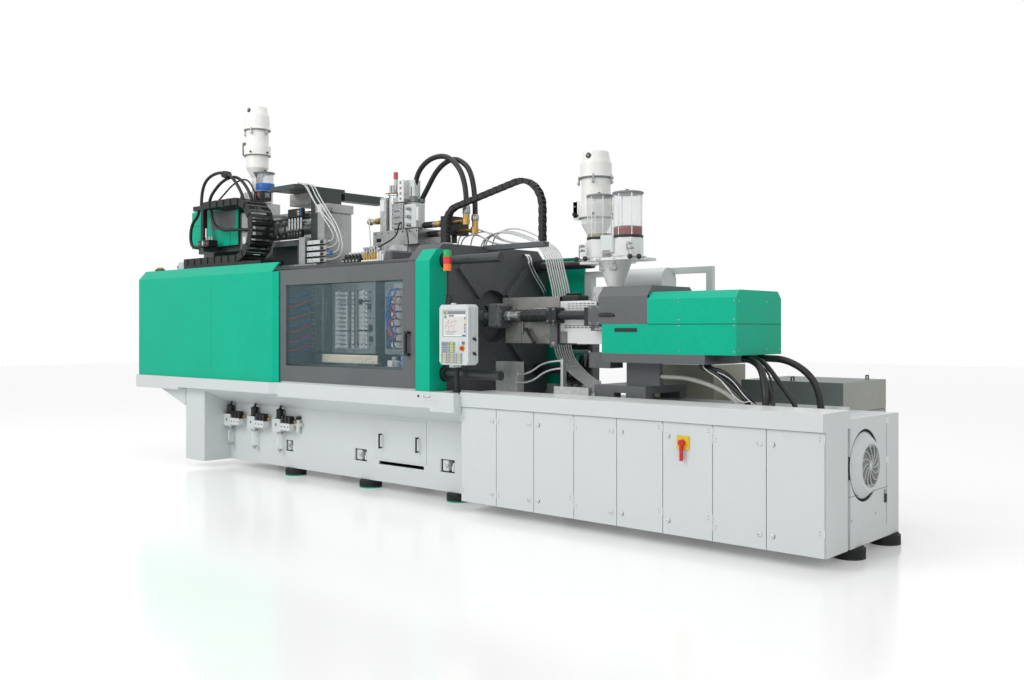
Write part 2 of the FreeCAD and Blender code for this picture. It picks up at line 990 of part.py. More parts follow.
def make_air_service_units():
    """Filter and regulator units in a row on the bed's front, and one hand valve."""
    back = "-bed_half_width"
    front = "-bed_half_width - service_depth"
    middle = "-bed_half_width - service_depth / 2"
    units = []
    for index in range(int(size("service_count"))):
        left = f"service_left_x + {index} * service_pitch"
        head = box("ServiceHead", (left, f"{left} + service_body"), (front, back),
                   ("service_top - service_body", "service_top"))
        cap = rod("ServiceCap", "z", (f"{left} + service_body / 2", middle, "service_top"),
                  "service_cap_radius", "service_cap")
        bowl = rod("ServiceBowl", "z", (f"{left} + service_body / 2", middle,
                                        "service_top - service_body - service_bowl"),
                   "service_bowl_radius", "service_bowl")
        valve = box("ServiceValve",
                    (f"{left} + service_body", f"{left} + service_body + service_valve_length"),
                    (front, back),
                    ("service_top - service_body + service_cap_radius / 2",
                     "service_top - service_body + service_cap_radius / 2"
                     " + service_valve_height"))
        coil = box("ServiceCoil",
                   (f"{left} + service_body + service_cap_radius",
                    f"{left} + service_body + service_valve_length - service_cap_radius"),
                   (middle, back),
                   ("service_top - service_body + service_cap_radius / 2 + service_valve_height",
                    "service_top"))
        units.append(fuse("ServiceUnit", [head, cap, bowl, valve, coil]))
    tap = rod("TapBody", "z", ("tap_x", "-bed_half_width - tap_radius", "tap_height - tap_length"),
              "tap_radius", "tap_length")
    side = rod("TapSide", "x", ("tap_x - tap_length / 3", "-bed_half_width - tap_radius",
                                "tap_height - tap_length / 2"), "tap_radius * 0.8",
               "2 * tap_length / 3")
    units.append(fuse("Tap", [tap, side]))
    sub_part("air_service_units", group("ServiceUnits", units))


# ================================================================ electrical cabinet
def make_cabinet():
    carcass = box("Carcass", ("cabinet_left_x", "bed_right_x"),
                  ("door_front_y + door_thickness + running_gap", "cabinet_back_y"), ("foot_height", "band_low"))
    room = box("CabinetRoom", ("cabinet_left_x + cabinet_sheet", "bed_right_x - cabinet_sheet"),
               ("door_front_y + door_thickness + running_gap - cabinet_sheet", "cabinet_back_y - cabinet_sheet"),
               ("foot_height + cabinet_sheet", "band_low - cabinet_sheet"))
    plate = box("MountingPlate", ("cabinet_left_x", "bed_right_x"),
                ("mounting_plate_y", "mounting_plate_y + cabinet_sheet"),
                ("foot_height + cabinet_sheet", "band_low - cabinet_sheet"))
    band = box("CabinetBand", ("cabinet_left_x", "bed_right_x"),
               ("band_front_y", "injection_bed_front_y"), ("band_low", "band_top"))
    pieces = [cut("CabinetShell", carcass, [room]), plate, band]
    for index in range(int(size("bay_count"))):
        left = f"cabinet_left_x + {index} * door_pitch"
        pieces.append(box("Switchgear",
                          (f"{left} + lock_inset", f"{left} + door_pitch - lock_inset"),
                          ("mounting_plate_y - module_depth", "mounting_plate_y"),
                          ("lock_low", "lock_high")))
    for side in (-1, 1):
        edge = "lock_inset" if side < 0 else "bed_right_x - cabinet_left_x - lock_inset"
        pieces.append(box("BedTie", (f"cabinet_left_x + {edge} - cabinet_sheet",
                                     f"cabinet_left_x + {edge} + cabinet_sheet"),
                          ("cabinet_back_y", "injection_bed_front_y"), ("lock_low", "lock_high")))
    sub_part("electrical_cabinet", fuse("Cabinet", pieces))


HINGE_SIDES = ("left", "left", "right", "left", "right", "right", "left", "right")


def make_doors():
    """Eight doors side by side, each with its two round locks away from its hinge."""
    for number, hinge in enumerate(HINGE_SIDES, start=1):
        left = f"cabinet_left_x + {number - 1} * door_pitch"
        pieces = [box(f"Door{number}Panel",
                      (f"{left} + door_gap", f"{left} + door_pitch - door_gap"),
                      ("door_front_y", "door_front_y + door_thickness"),
                      ("door_low", "door_high"))]
        lock_x = f"{left} + door_pitch - lock_inset" if hinge == "left" else f"{left} + lock_inset"
        for height in ("lock_low", "lock_high"):
            pieces.append(rod(f"Door{number}Lock", "y",
                              (lock_x, "door_front_y - lock_proud", height),
                              "lock_radius", "lock_proud"))
        if number == 6:
            pieces.append(box("SwitchPlate",
                              ("switch_plate_x", "switch_plate_x + switch_plate_width"),
                              ("door_front_y - switch_plate_proud", "door_front_y"),
                              ("switch_plate_low", "switch_plate_low + switch_plate_height")))
        sub_part(f"cabinet_door_{number}", fuse(f"Door{number}", pieces))


def make_main_switch():
    middle = "switch_plate_x + switch_plate_width / 2"
    face = "door_front_y - switch_plate_proud - running_gap"
    knob = rod("SwitchKnob", "y", (middle, f"{face} - switch_knob_proud", "switch_height"),
               "switch_knob_radius", "switch_knob_proud")
    lever = box("SwitchLever", (f"{middle} - lever_width / 2", f"{middle} + lever_width / 2"),
                (f"{face} - switch_knob_proud", f"{face} - switch_knob_proud + lever_width"),
                ("switch_height - lever_length", "switch_height"))
    sub_part("main_switch_handle", fuse("SwitchHandle", [knob, lever]))


# ================================================================ fan end
def make_motor_and_cowl():
    back = "cowl_right_x - cowl_depth"
    outer = rod("CowlOuter", "x", (back, "fan_y", "fan_height"), "cowl_radius",
                "cowl_depth - cowl_edge")
    nose = doc.addObject("Part::Cone", "CowlNose")
    nose.Placement = Placement(Vector(), TURNS["x"])
    bind(nose, "Radius1", "cowl_radius")
    bind(nose, "Radius2", "cowl_radius - cowl_edge")
    bind(nose, "Height", "cowl_edge")
    place(nose, "cowl_right_x - cowl_edge", "fan_y", "fan_height")
    room = rod("CowlRoom", "x", (back, "fan_y", "fan_height"), "cowl_radius - cowl_sheet",
               "cowl_depth - cowl_edge")
    mouth = rod("CowlMouth", "x", (back, "fan_y", "fan_height"), "grille_radius", "cowl_depth")
    shell = cut("CowlShell", fuse("CowlBlank", [outer, nose]), [room, mouth])
    disc = rod("GrilleDisc", "x", ("cowl_right_x - grille_step - cowl_sheet", "fan_y",
                                   "fan_height"), "grille_radius", "cowl_sheet")
    slots = []
    count = int(size("grille_slot_count"))
    for near, far in (("inner_slot_from", "inner_slot_to"), ("outer_slot_from", "outer_slot_to")):
        for index in range(count):
            slot = doc.addObject("Part::Box", "GrilleSlot")
            turn = Rotation(Vector(1, 0, 0), 360 * index / count)
            low = Vector(size("cowl_right_x - grille_step - 2 * cowl_sheet"),
                         -size("grille_slot_width") / 2, size(near))
            slot.Placement = Placement(
                at(0, size("fan_y"), size("fan_height")) + turn.multVec(low), turn)
            bind(slot, "Length", "3 * cowl_sheet")
            bind(slot, "Width", "grille_slot_width")
            bind(slot, "Height", f"{far} - {near}")
            slots.append(slot)
    grille = cut("Grille", disc, slots)
    sub_part("motor_cowl", fuse("Cowl", [shell, grille]))

    fan_x = "cowl_right_x - fan_setback"
    motor_right = f"{fan_x} - fan_depth - running_gap"
    motor = rod("MotorBody", "x", (f"{back} - motor_length", "fan_y", "fan_height"),
                "motor_radius", f"{motor_right} - ({back} - motor_length)")
    flange = rod("MotorFlange", "x", (f"{back} - cowl_sheet", "fan_y", "fan_height"),
                 "cowl_radius", "cowl_sheet")
    foot = box("MotorFoot", (f"{back} - motor_length", f"{back} - cowl_sheet"),
               ("fan_y - motor_foot_width / 2", "fan_y + motor_foot_width / 2"),
               ("foot_height + bed_sheet", "fan_height - motor_radius / 2"))
    pump = rod("Pump", "x", (f"{back} - 2 * motor_length", "fan_y", "fan_height"),
               "motor_radius / 2", "motor_length")
    sub_part("pump_motor", fuse("Motor", [motor, flange, foot, pump]))

    hub = rod("FanHub", "x", (f"{fan_x} - fan_depth", "fan_y", "fan_height"),
              "fan_hub_radius", "fan_depth")
    blades = [hub]
    blade_count = int(size("fan_blade_count"))
    for index in range(blade_count):
        blade = doc.addObject("Part::Box", "FanBlade")
        turn = Rotation(Vector(1, 0, 0), 360 * index / blade_count)
        low = Vector(size(f"{fan_x} - fan_depth"), -size("fan_blade_thickness") / 2,
                     size("fan_hub_radius") / 2)
        blade.Placement = Placement(at(0, size("fan_y"), size("fan_height")) + turn.multVec(low),
                                    turn)
        bind(blade, "Length", "fan_depth")
        bind(blade, "Width", "fan_blade_thickness")
        bind(blade, "Height", "fan_radius - fan_hub_radius / 2")
        blades.append(blade)
    sub_part("cooling_fan", fuse("Fan", blades))


# ================================================================ cabinets behind the bed
def make_rear_cabinets():
    base = box("TankBase", ("tank_left_x", "tank_right_x"), ("bed_half_width", "tank_back_y"),
               ("foot_height", "tank_base_top"))
    pads = []
    for x in ("tank_left_x + 2 * tank_handle_width", "tank_right_x - 2 * tank_handle_width"):
        pads.append(rod("TankPad", "z", (x, "tank_back_y - 2 * tank_handle_width", "0"),
                        "tank_handle_width", "foot_height"))
    neck = box("TankNeck", ("tank_left_x + tank_gap", "tank_right_x - tank_gap"),
               ("bed_half_width + tank_gap", "tank_back_y - tank_gap"),
               ("tank_base_top", "tank_base_top + tank_gap"))
    lid = box("TankLid", ("tank_left_x", "tank_right_x"), ("bed_half_width", "tank_back_y"),
              ("tank_base_top + tank_gap", "tank_top"))
    pieces = [base, neck, lid, *pads]
    for x, y in (("tank_handle_x", "bed_half_width + tank_handle_width"),
                 ("tank_handle_far_x", "tank_back_y - 2 * tank_handle_width")):
        bar = box("TankBow", (x, f"{x} + tank_handle_bar"),
                  (y, f"{y} + tank_handle_width"), ("tank_top", "tank_top + tank_handle_height"))
        gap = box("TankBowGap",
                  (f"{x} - tank_handle_bar", f"{x} + 2 * tank_handle_bar"),
                  (f"{y} + tank_handle_bar", f"{y} + tank_handle_width - tank_handle_bar"),
                  ("tank_top", "tank_top + tank_handle_height - tank_handle_bar"))
        pieces.append(cut("TankHandle", bar, [gap]))
    sub_part("rear_tank_cabinet", fuse("Tank", pieces))

    cabinet = box("SwitchgearCabinet", ("switchgear_left_x", "switchgear_right_x"),
                  ("bed_half_width", "switchgear_back_y"), ("0", "switchgear_top"))
    far = "frame_y + frame_post"
    left_post = box("FrameLeftPost", ("frame_left_x", "frame_left_x + frame_left_width"),
                    ("frame_y", "frame_y + frame_left_width"), ("0", "frame_top"))
    right_post = box("FrameRightPost", ("frame_right_x - frame_post", "frame_right_x"),
                     ("frame_y", far), ("switchgear_top", "frame_top"))
    beam = box("FrameBeam", ("frame_left_x", "frame_right_x"), ("frame_y", far),
               ("frame_low", "frame_top"))
    vessel = rod("Vessel", "x", ("tank_vessel_x", "frame_y - tank_vessel_radius / 2",
                                 "frame_top - tank_vessel_radius"), "tank_vessel_radius",
                 "tank_vessel_length")
    frame = fuse("RearFrame", [left_post, right_post, beam, vessel])
    sub_part("rear_switchgear", group("RearSwitchgear", [cabinet, frame]))


# ================================================================ clamp housing
def make_guards():
    rise = "ridge_height - ledge_top"
    side = "guard_side_top - ledge_top"
    front_panel = profile(
        "FrontGuardPanel", "YZ_Plane",
        [("0", "0"), ("guard_sheet", "0"), ("guard_sheet", side),
         ("ridge_inset", f"{rise} - guard_sheet"),
         ("ridge_inset + guard_sheet", f"{rise} - guard_sheet"),
         ("ridge_inset + guard_sheet", rise), ("ridge_inset", rise), ("0", side)],
        "guard_right_x - left_end", ("left_end", "guard_front_y", "ledge_top"))
    corner = profile(
        "FrontGuardCorner", "XY_Plane",
        [("0", "0"), ("corner_width", "corner_depth"),
         ("corner_width", "corner_depth + guard_sheet / 2"),
         ("0", "guard_sheet / 2")],
        side, ("guard_right_x", "guard_front_y", "ledge_top"))
    seam = box("GuardSeam", ("guard_seam_x", "guard_seam_x + seam_width"),
               ("guard_front_y - seam_width", "guard_front_y + seam_width"),
               ("ledge_top", "guard_side_top"))
    end = profile(
        "EndGuard", "YZ_Plane",
        [("0", "0"), ("-guard_front_y - guard_sheet", "0"),
         ("-guard_front_y - guard_sheet", f"{rise} - roof_sheet"),
         ("ridge_inset - guard_sheet", f"{rise} - roof_sheet"), ("0", side)],
        "guard_sheet", ("left_end", "guard_front_y + guard_sheet", "ledge_top"))
    sub_part("clamp_guard_front",
             fuse("FrontGuard", [cut("FrontGuardCut", front_panel, [seam]), corner, end]))

    rear_panel = profile(
        "RearGuardPanel", "YZ_Plane",
        [("ridge_inset", "0"), ("ridge_inset + guard_sheet", "0"),
         ("ridge_inset + guard_sheet", side), ("guard_sheet", rise), ("0", rise),
         ("0", f"{rise} - guard_sheet"), ("guard_sheet", f"{rise} - guard_sheet"),
         ("ridge_inset", side)],
        "rear_guard_right_x - left_end",
        ("left_end", "guard_rear_y - ridge_inset - guard_sheet", "ledge_top"))
    rear_end = profile(
        "RearEndGuard", "YZ_Plane",
        [("0", "0"), ("guard_rear_y - guard_sheet", "0"), ("guard_rear_y - guard_sheet", side),
         ("guard_rear_y - ridge_inset", f"{rise} - roof_sheet"), ("0", f"{rise} - roof_sheet")],
        "guard_sheet", ("left_end", "0", "ledge_top"))
    roof = box("Roof", ("left_end", "roof_right_x"),
               ("guard_front_y + ridge_inset + guard_sheet",
                "guard_rear_y - ridge_inset - guard_sheet"),
               ("ridge_height - roof_sheet", "ridge_height"))
    sub_part("clamp_guard_rear", fuse("RearGuard", [rear_panel, rear_end, roof]))


def make_front_door():
    frame = box("DoorFrame", ("door_left_x", "door_right_x"),
                ("door_face_y", "door_face_y + door_frame_depth"), ("ledge_top + rail_height + running_gap", "door_top"))
    hole = box("DoorHole", ("window_left_x", "window_right_x"),
               ("door_face_y - window_lap", "door_face_y + door_frame_depth + window_lap"),
               ("window_low", "window_high"))
    rebate = box("DoorRebate", ("window_left_x - window_lap", "window_right_x + window_lap"),
                 ("door_face_y + door_frame_depth - window_sheet",
                  "door_face_y + door_frame_depth + window_lap"),
                 ("window_low - window_lap", "window_high + window_lap"))
    handle = []
    for z in ("handle_low", "handle_high - handle_bar"):
        handle.append(box("HandleFoot",
                          ("handle_x - handle_bar / 2", "handle_x + 1.5 * handle_bar"),
                          ("door_face_y - handle_reach", "door_face_y"),
                          (z, f"{z} + handle_bar")))
    handle.append(box("HandleGrip", ("handle_x - handle_bar / 2", "handle_x + handle_bar / 2"),
                      ("door_face_y - handle_reach", "door_face_y - handle_reach + handle_bar"),
                      ("handle_low", "handle_high")))
    sub_part("guard_door", fuse("GuardDoor", [cut("DoorCut", frame, [hole, rebate]), *handle]))
    pane = box("Pane", ("window_left_x - window_lap", "window_right_x + window_lap"),
               ("door_face_y + door_frame_depth - window_sheet",
                "door_face_y + door_frame_depth"),
               ("window_low - window_lap", "window_high + window_lap"))
    sub_part("guard_door_window", pane)


def make_pillar():
    rise = "pillar_ridge - ledge_top"
    side = "pillar_side_top - ledge_top"
    face = profile(
        "PillarFace", "YZ_Plane",
        [("0", "0"), ("pillar_sheet", "0"), ("pillar_sheet", side),
         ("ridge_inset", f"{rise} - pillar_sheet"),
         ("pillar_shelf_y - pillar_face_y", f"{rise} - pillar_sheet"),
         ("pillar_shelf_y - pillar_face_y", rise), ("ridge_inset", rise), ("0", side)],
        "pillar_right_x - pillar_left_x", ("pillar_left_x", "pillar_face_y", "ledge_top"))
    flank = profile(
        "PillarFlank", "YZ_Plane",
        [("0", "0"), ("pillar_return_y - pillar_face_y", "0"),
         ("pillar_return_y - pillar_face_y", rise), ("ridge_inset", rise), ("0", side)],
        "pillar_sheet", ("pillar_right_x - pillar_sheet", "pillar_face_y", "ledge_top"))
    notches = []
    for sign in ("-", "+"):
        notches.append(rod("PillarNotch", "x",
                           ("pillar_left_x - collar_length", "-bar_half_y",
                            f"clamp_height {sign} bar_half_z"),
                           "collar_radius + pillar_sheet",
                           "pillar_right_x - pillar_left_x + 2 * collar_length"))
    sub_part("front_pillar", cut("Pillar", fuse("PillarBlank", [face, flank]), notches))


# ================================================================ clamp
def bar_places():
    """The four tie bars' places across the machine."""
    return [(f"{y}bar_half_y", f"clamp_height {z} bar_half_z") for y in ("-", "") for z in "-+"]


def octagon(name, x, length, low, high):
    """A platen blank: an upright plate with cut corners."""
    wide = "2 * platen_half_width"
    tall = f"({high}) - ({low})"
    return profile(
        name, "YZ_Plane",
        [("platen_corner / 2", "0"), (f"{wide} - platen_corner / 2", "0"),
         (wide, "platen_corner / 2"), (wide, f"{tall} - platen_corner"),
         (f"{wide} - platen_corner", tall), ("platen_corner", tall),
         ("0", f"{tall} - platen_corner"), ("0", "platen_corner / 2")],
        length, (x, "-platen_half_width", low))


def make_platens():
    left = "platen_right_x - platen_thickness"
    blank = octagon("FixedBlank", left, "platen_thickness", "platen_low", "platen_top")
    recess = rod("FixedRecess", "x", ("platen_right_x - platen_recess_depth", "0",
                                      "barrel_height"), "platen_recess_radius",
                 "2 * platen_recess_depth")
    bore = rod("FixedBore", "x", (f"{left} - platen_recess_depth", "0", "barrel_height"),
               "platen_bore_radius", "2 * platen_thickness")
    holes = [recess, bore]
    for y, z in bar_places():
        holes.append(rod("FixedBarHole", "x", (f"{left} - collar_length", y, z),
                         "bar_radius + bar_clearance", "2 * platen_thickness"))
    pieces = [cut("FixedCut", blank, holes)]
    for turn in (45, 135, 225, 315):
        rib = doc.addObject("Part::Box", "PlatenRib")
        spin = Rotation(Vector(1, 0, 0), turn)
        low = Vector(size("platen_right_x"), -size("rib_width") / 2,
                     size("platen_recess_radius") * 1.06)
        rib.Placement = Placement(at(0, 0, size("barrel_height")) + spin.multVec(low), spin)
        bind(rib, "Length", "rib_proud")
        bind(rib, "Width", "rib_width")
        bind(rib, "Height", "rib_length")
        pieces.append(rib)
    for side in ("-", ""):
        eye = rod("TraverseEye", "x", ("platen_right_x", f"{side}traverse_y", "barrel_height"),
                  "traverse_eye_radius", "traverse_eye_length")
        nut = rod("TraverseNut", "x", ("platen_right_x + traverse_eye_length",
                                       f"{side}traverse_y", "barrel_height"),
                  "traverse_nut_radius", "traverse_nut_length")
        rod_bar = rod("TraverseRod", "x", ("platen_right_x", f"{side}traverse_y",
                                           "barrel_height"),
                      "traverse_rod_radius", "traverse_rod_right_x - platen_right_x")
        pieces += [eye, nut, rod_bar]
    for y in ("-bed_half_width + bed_sheet", "bed_half_width - bed_sheet - platen_corner"):
        pieces.append(box("PlatenFoot", (left, "platen_right_x"), (y, f"{y} + platen_corner"),
                          ("clamp_bed_top", "platen_low")))
    pieces.append(box("ArchBracket", ("platen_right_x - arch_foot_half",
                                      "arch_right_x + arch_foot_half"),
                      ("arch_y - arch_foot_half", "arch_y + arch_foot_half"),
                      ("arch_bracket_top - arch_bracket_height", "arch_bracket_top")))
    sub_part("fixed_platen", fuse("FixedPlaten", pieces))

    moving = octagon("MovingBlank", "moving_left_x", "moving_thickness", "platen_low + rail_height",
                     "moving_top")
    moving_holes = []
    for y, z in bar_places():
        moving_holes.append(rod("MovingBarHole", "x", ("moving_left_x - collar_length", y, z),
                                "bar_radius + bar_clearance", "2 * moving_thickness"))
    moving_plate = cut("MovingCut", moving, moving_holes)
    piston_left = "end_platen_left_x + end_platen_thickness - piston_tail"
    piston = rod("Piston", "x", (piston_left, "0", "clamp_height"), "piston_radius",
                 f"moving_left_x - ({piston_left})")
    sub_part("moving_platen", fuse("MovingPlaten", [moving_plate, piston]))

    end = octagon("EndBlank", "end_platen_left_x", "end_platen_thickness", "platen_low",
                  "moving_top")
    cylinder = rod("ClampCylinder", "x", ("end_platen_left_x - clamp_cylinder_length / 3", "0",
                                          "clamp_height"), "clamp_cylinder_radius",
                   "clamp_cylinder_length / 3 + end_platen_thickness + clamp_cylinder_length")
    end_holes = [rod("CylinderBore", "x", ("end_platen_left_x - clamp_cylinder_length / 6", "0",
                                           "clamp_height"), "piston_radius + piston_clearance",
                     "2 * clamp_cylinder_length + end_platen_thickness")]
    for y, z in bar_places():
        end_holes.append(rod("EndBarHole", "x", ("end_platen_left_x - collar_length", y, z),
                             "bar_radius + bar_clearance", "2 * end_platen_thickness"))
    foot = box("EndPlatenFoot", ("column_left_x", "end_platen_left_x + end_platen_thickness"
                                 " + clamp_cylinder_length"),
               ("-clamp_cylinder_radius", "clamp_cylinder_radius"),
               ("clamp_bed_top", "clamp_height - clamp_cylinder_radius / 2"))
    sub_part("end_platen", cut("EndPlaten", fuse("EndWhole", [end, cylinder, foot]), end_holes))


def make_tie_bars():
    bars = []
    for y, z in bar_places():
        bar = rod("TieBar", "x", ("bar_left_x", y, z), "bar_radius", "bar_right_x - bar_left_x")
        collar = rod("TieCollar", "x", ("platen_right_x", y, z), "collar_radius", "collar_length")
        nut = rod("TieNut", "x", ("end_platen_left_x - collar_length", y, z), "tie_nut_radius",
                  "collar_length")
        bars.append(fuse("TieBarWhole", [bar, collar, nut]))
    sub_part("tie_bars", group("TieBars", bars))


def cavities(name, x, y_sign, face):
    """A grid of small round pockets in one side of the cube, as one fused tool."""
    tools = []
    columns = int(size("cavity_columns"))
    rows = int(size("cavity_rows"))
    for column in range(columns):
        for row in range(rows):
            across = f"({column} - ({columns} - 1) / 2) * cavity_pitch"
            height = f"(cube_low + cube_high) / 2 + ({row} - ({rows} - 1) / 2) * cavity_pitch"
            if face == "y":
                start = (f"cube_x + {across}", f"{y_sign}(cube_side / 2 + cavity_depth)"
                         if y_sign == "-" else "cube_side / 2 - cavity_depth", height)
            else:
                start = (x, across, height)
            tools.append(rod(name, face, start, "cavity_radius", "2 * cavity_depth"))
    return tools


def make_cube():
    blank = box("CubeBlank", ("cube_x - cube_side / 2", "cube_x + cube_side / 2"),
                ("-cube_side / 2", "cube_side / 2"), ("cube_low", "cube_high"))
    tools = [*cavities("CavityFront", "", "-", "y"), *cavities("CavityBack", "", "", "y")]
    pins = [rod("CubeLowPin", "z", ("cube_x", "0", "table_top + running_gap"), "cube_pin_radius",
                "cube_low - table_top - running_gap"),
            rod("CubeHighPin", "z", ("cube_x", "0", "cube_high"), "cube_pin_radius",
                "bridge_low - cube_high - top_bearing_radius / 2 - running_gap")]
    sub_part("cube_mould", fuse("Cube", [cut("CubeCut", blank, tools), *pins]))

    y = ("-mould_half_width", "mould_half_width")
    z = ("mould_low", "mould_high")
    moving = box("MovingHalf", ("moving_left_x + moving_thickness", "moving_mould_face_x"), y, z)
    sub_part("moving_mould_half", moving)
    left = "platen_right_x - platen_thickness"
    fixed = box("FixedHalf", ("fixed_mould_face_x", left), y, z)
    runner = rod("RunnerSeat", "x", (f"{left} - platen_recess_depth", "0", "barrel_height"),
                 "nozzle_radius + bar_radius", "2 * platen_recess_depth")
    block = box("TubeBlock", ("tube_block_left_x", "tube_block_right_x"),
                ("mould_half_width", "tube_block_y"), ("tube_block_low", "tube_block_top"))
    sub_part("fixed_mould_half", cut("FixedHalfCut", fuse("FixedHalfBlank", [fixed, block]),
                                     [runner]))


def make_cube_carriage():
    table = box("Table", ("table_left_x", "table_right_x"),
                ("-table_half_width", "table_half_width"), ("table_low", "table_top"))
    column = box("CarriageColumn", ("cube_x - carriage_column_half",
                                    "cube_x + carriage_column_half"),
                 ("-table_half_width", "table_half_width"),
                 ("guide_rail_top + running_gap", "table_low"))
    plate = box("CarriagePlate", ("frame_column_left_x", "frame_column_right_x"),
                ("-table_half_width", "frame_column_far_y"),
                ("guide_rail_top + running_gap", "carriage_plate_top"))
    upright = box("CarriageUpright", ("frame_column_left_x", "frame_column_right_x"),
                  ("frame_column_near_y", "frame_column_far_y"),
                  ("guide_rail_top + running_gap", "bridge_low"))
    span = box("BridgeSpan", ("frame_column_left_x", "frame_column_right_x"),
               ("bridge_front_y", "frame_column_far_y"), ("bridge_low", "bridge_top"))
    shelf = box("BridgeShelf", ("frame_column_right_x", "bridge_right_x"),
                ("bridge_front_y", "bridge_shelf_y"), ("bridge_low", "bridge_top"))
    bearing = rod("TopBearing", "z", ("cube_x", "0", "bridge_low - top_bearing_radius / 2"),
                  "top_bearing_radius", "top_bearing_radius / 2")
    sub_part("cube_carriage", fuse("CubeCarriage", [table, column, plate, upright, span, shelf,
                                           bearing]))


# ================================================================ equipment above the clamp
def make_nozzle_head():
    foot = box("HeadFoot", ("moving_left_x", "head_right_x + head_cap_lap"),
               ("-platen_half_width / 2", "platen_half_width / 2"), ("moving_top", "head_low"))
    block = box("HeadBlock", ("head_left_x", "head_right_x"), ("head_front_y", "head_back_y"),
                ("head_low", "head_high"))
    cap = box("HeadCap", ("head_left_x - head_cap_lap", "head_right_x + head_cap_lap"),
              ("head_front_y", "head_back_y"), ("head_high", "head_cap_top"))
    tip = rod("HeadTip", "x", ("head_plate_right_x", "0", "second_height"), "head_tip_half",
              "head_left_x - head_plate_right_x")
    post = box("CouplingPost", ("post_left_x", "post_left_x + post_width"),
               ("post_y - post_width / 2", "post_y + post_width / 2"), ("head_low", "post_high"))
    pieces = [foot, block, cap, tip, post]
    for index in range(int(size("coupling_count"))):
        low = f"head_low + coupling_height / 3 + {index} * coupling_pitch"
        pieces.append(box("Coupling",
                          ("post_left_x + post_width",
                           "post_left_x + post_width + coupling_length"),
                          ("post_y - coupling_height / 2", "post_y + coupling_height / 2"),
                          (low, f"{low} + coupling_height")))
    sub_part("nozzle_head", fuse("NozzleHead", pieces))

    plate = box("HeadPlate", ("head_plate_left_x", "head_plate_right_x"),
                ("head_front_y + head_cap_lap", "head_back_y"), ("head_low", "canopy_low"))
    canopy = box("CanopyTray", ("canopy_left_x", "canopy_right_x"),
                 ("canopy_front_y", "canopy_back_y"), ("canopy_low", "canopy_top"))
    channel = box("CanopyChannel", ("canopy_right_x - channel_width", "canopy_right_x"),
                  ("canopy_back_y", "channel_back_y"),
                  ("canopy_low - channel_depth", "canopy_low + channel_depth / 4"))
    gear = box("GearBlock", ("gear_left_x", "gear_right_x"), ("gear_front_y", "gear_back_y"),
               ("canopy_low - gear_height", "canopy_low"))
    sub_part("head_canopy", fuse("HeadCanopy", [plate, canopy, channel, gear]))


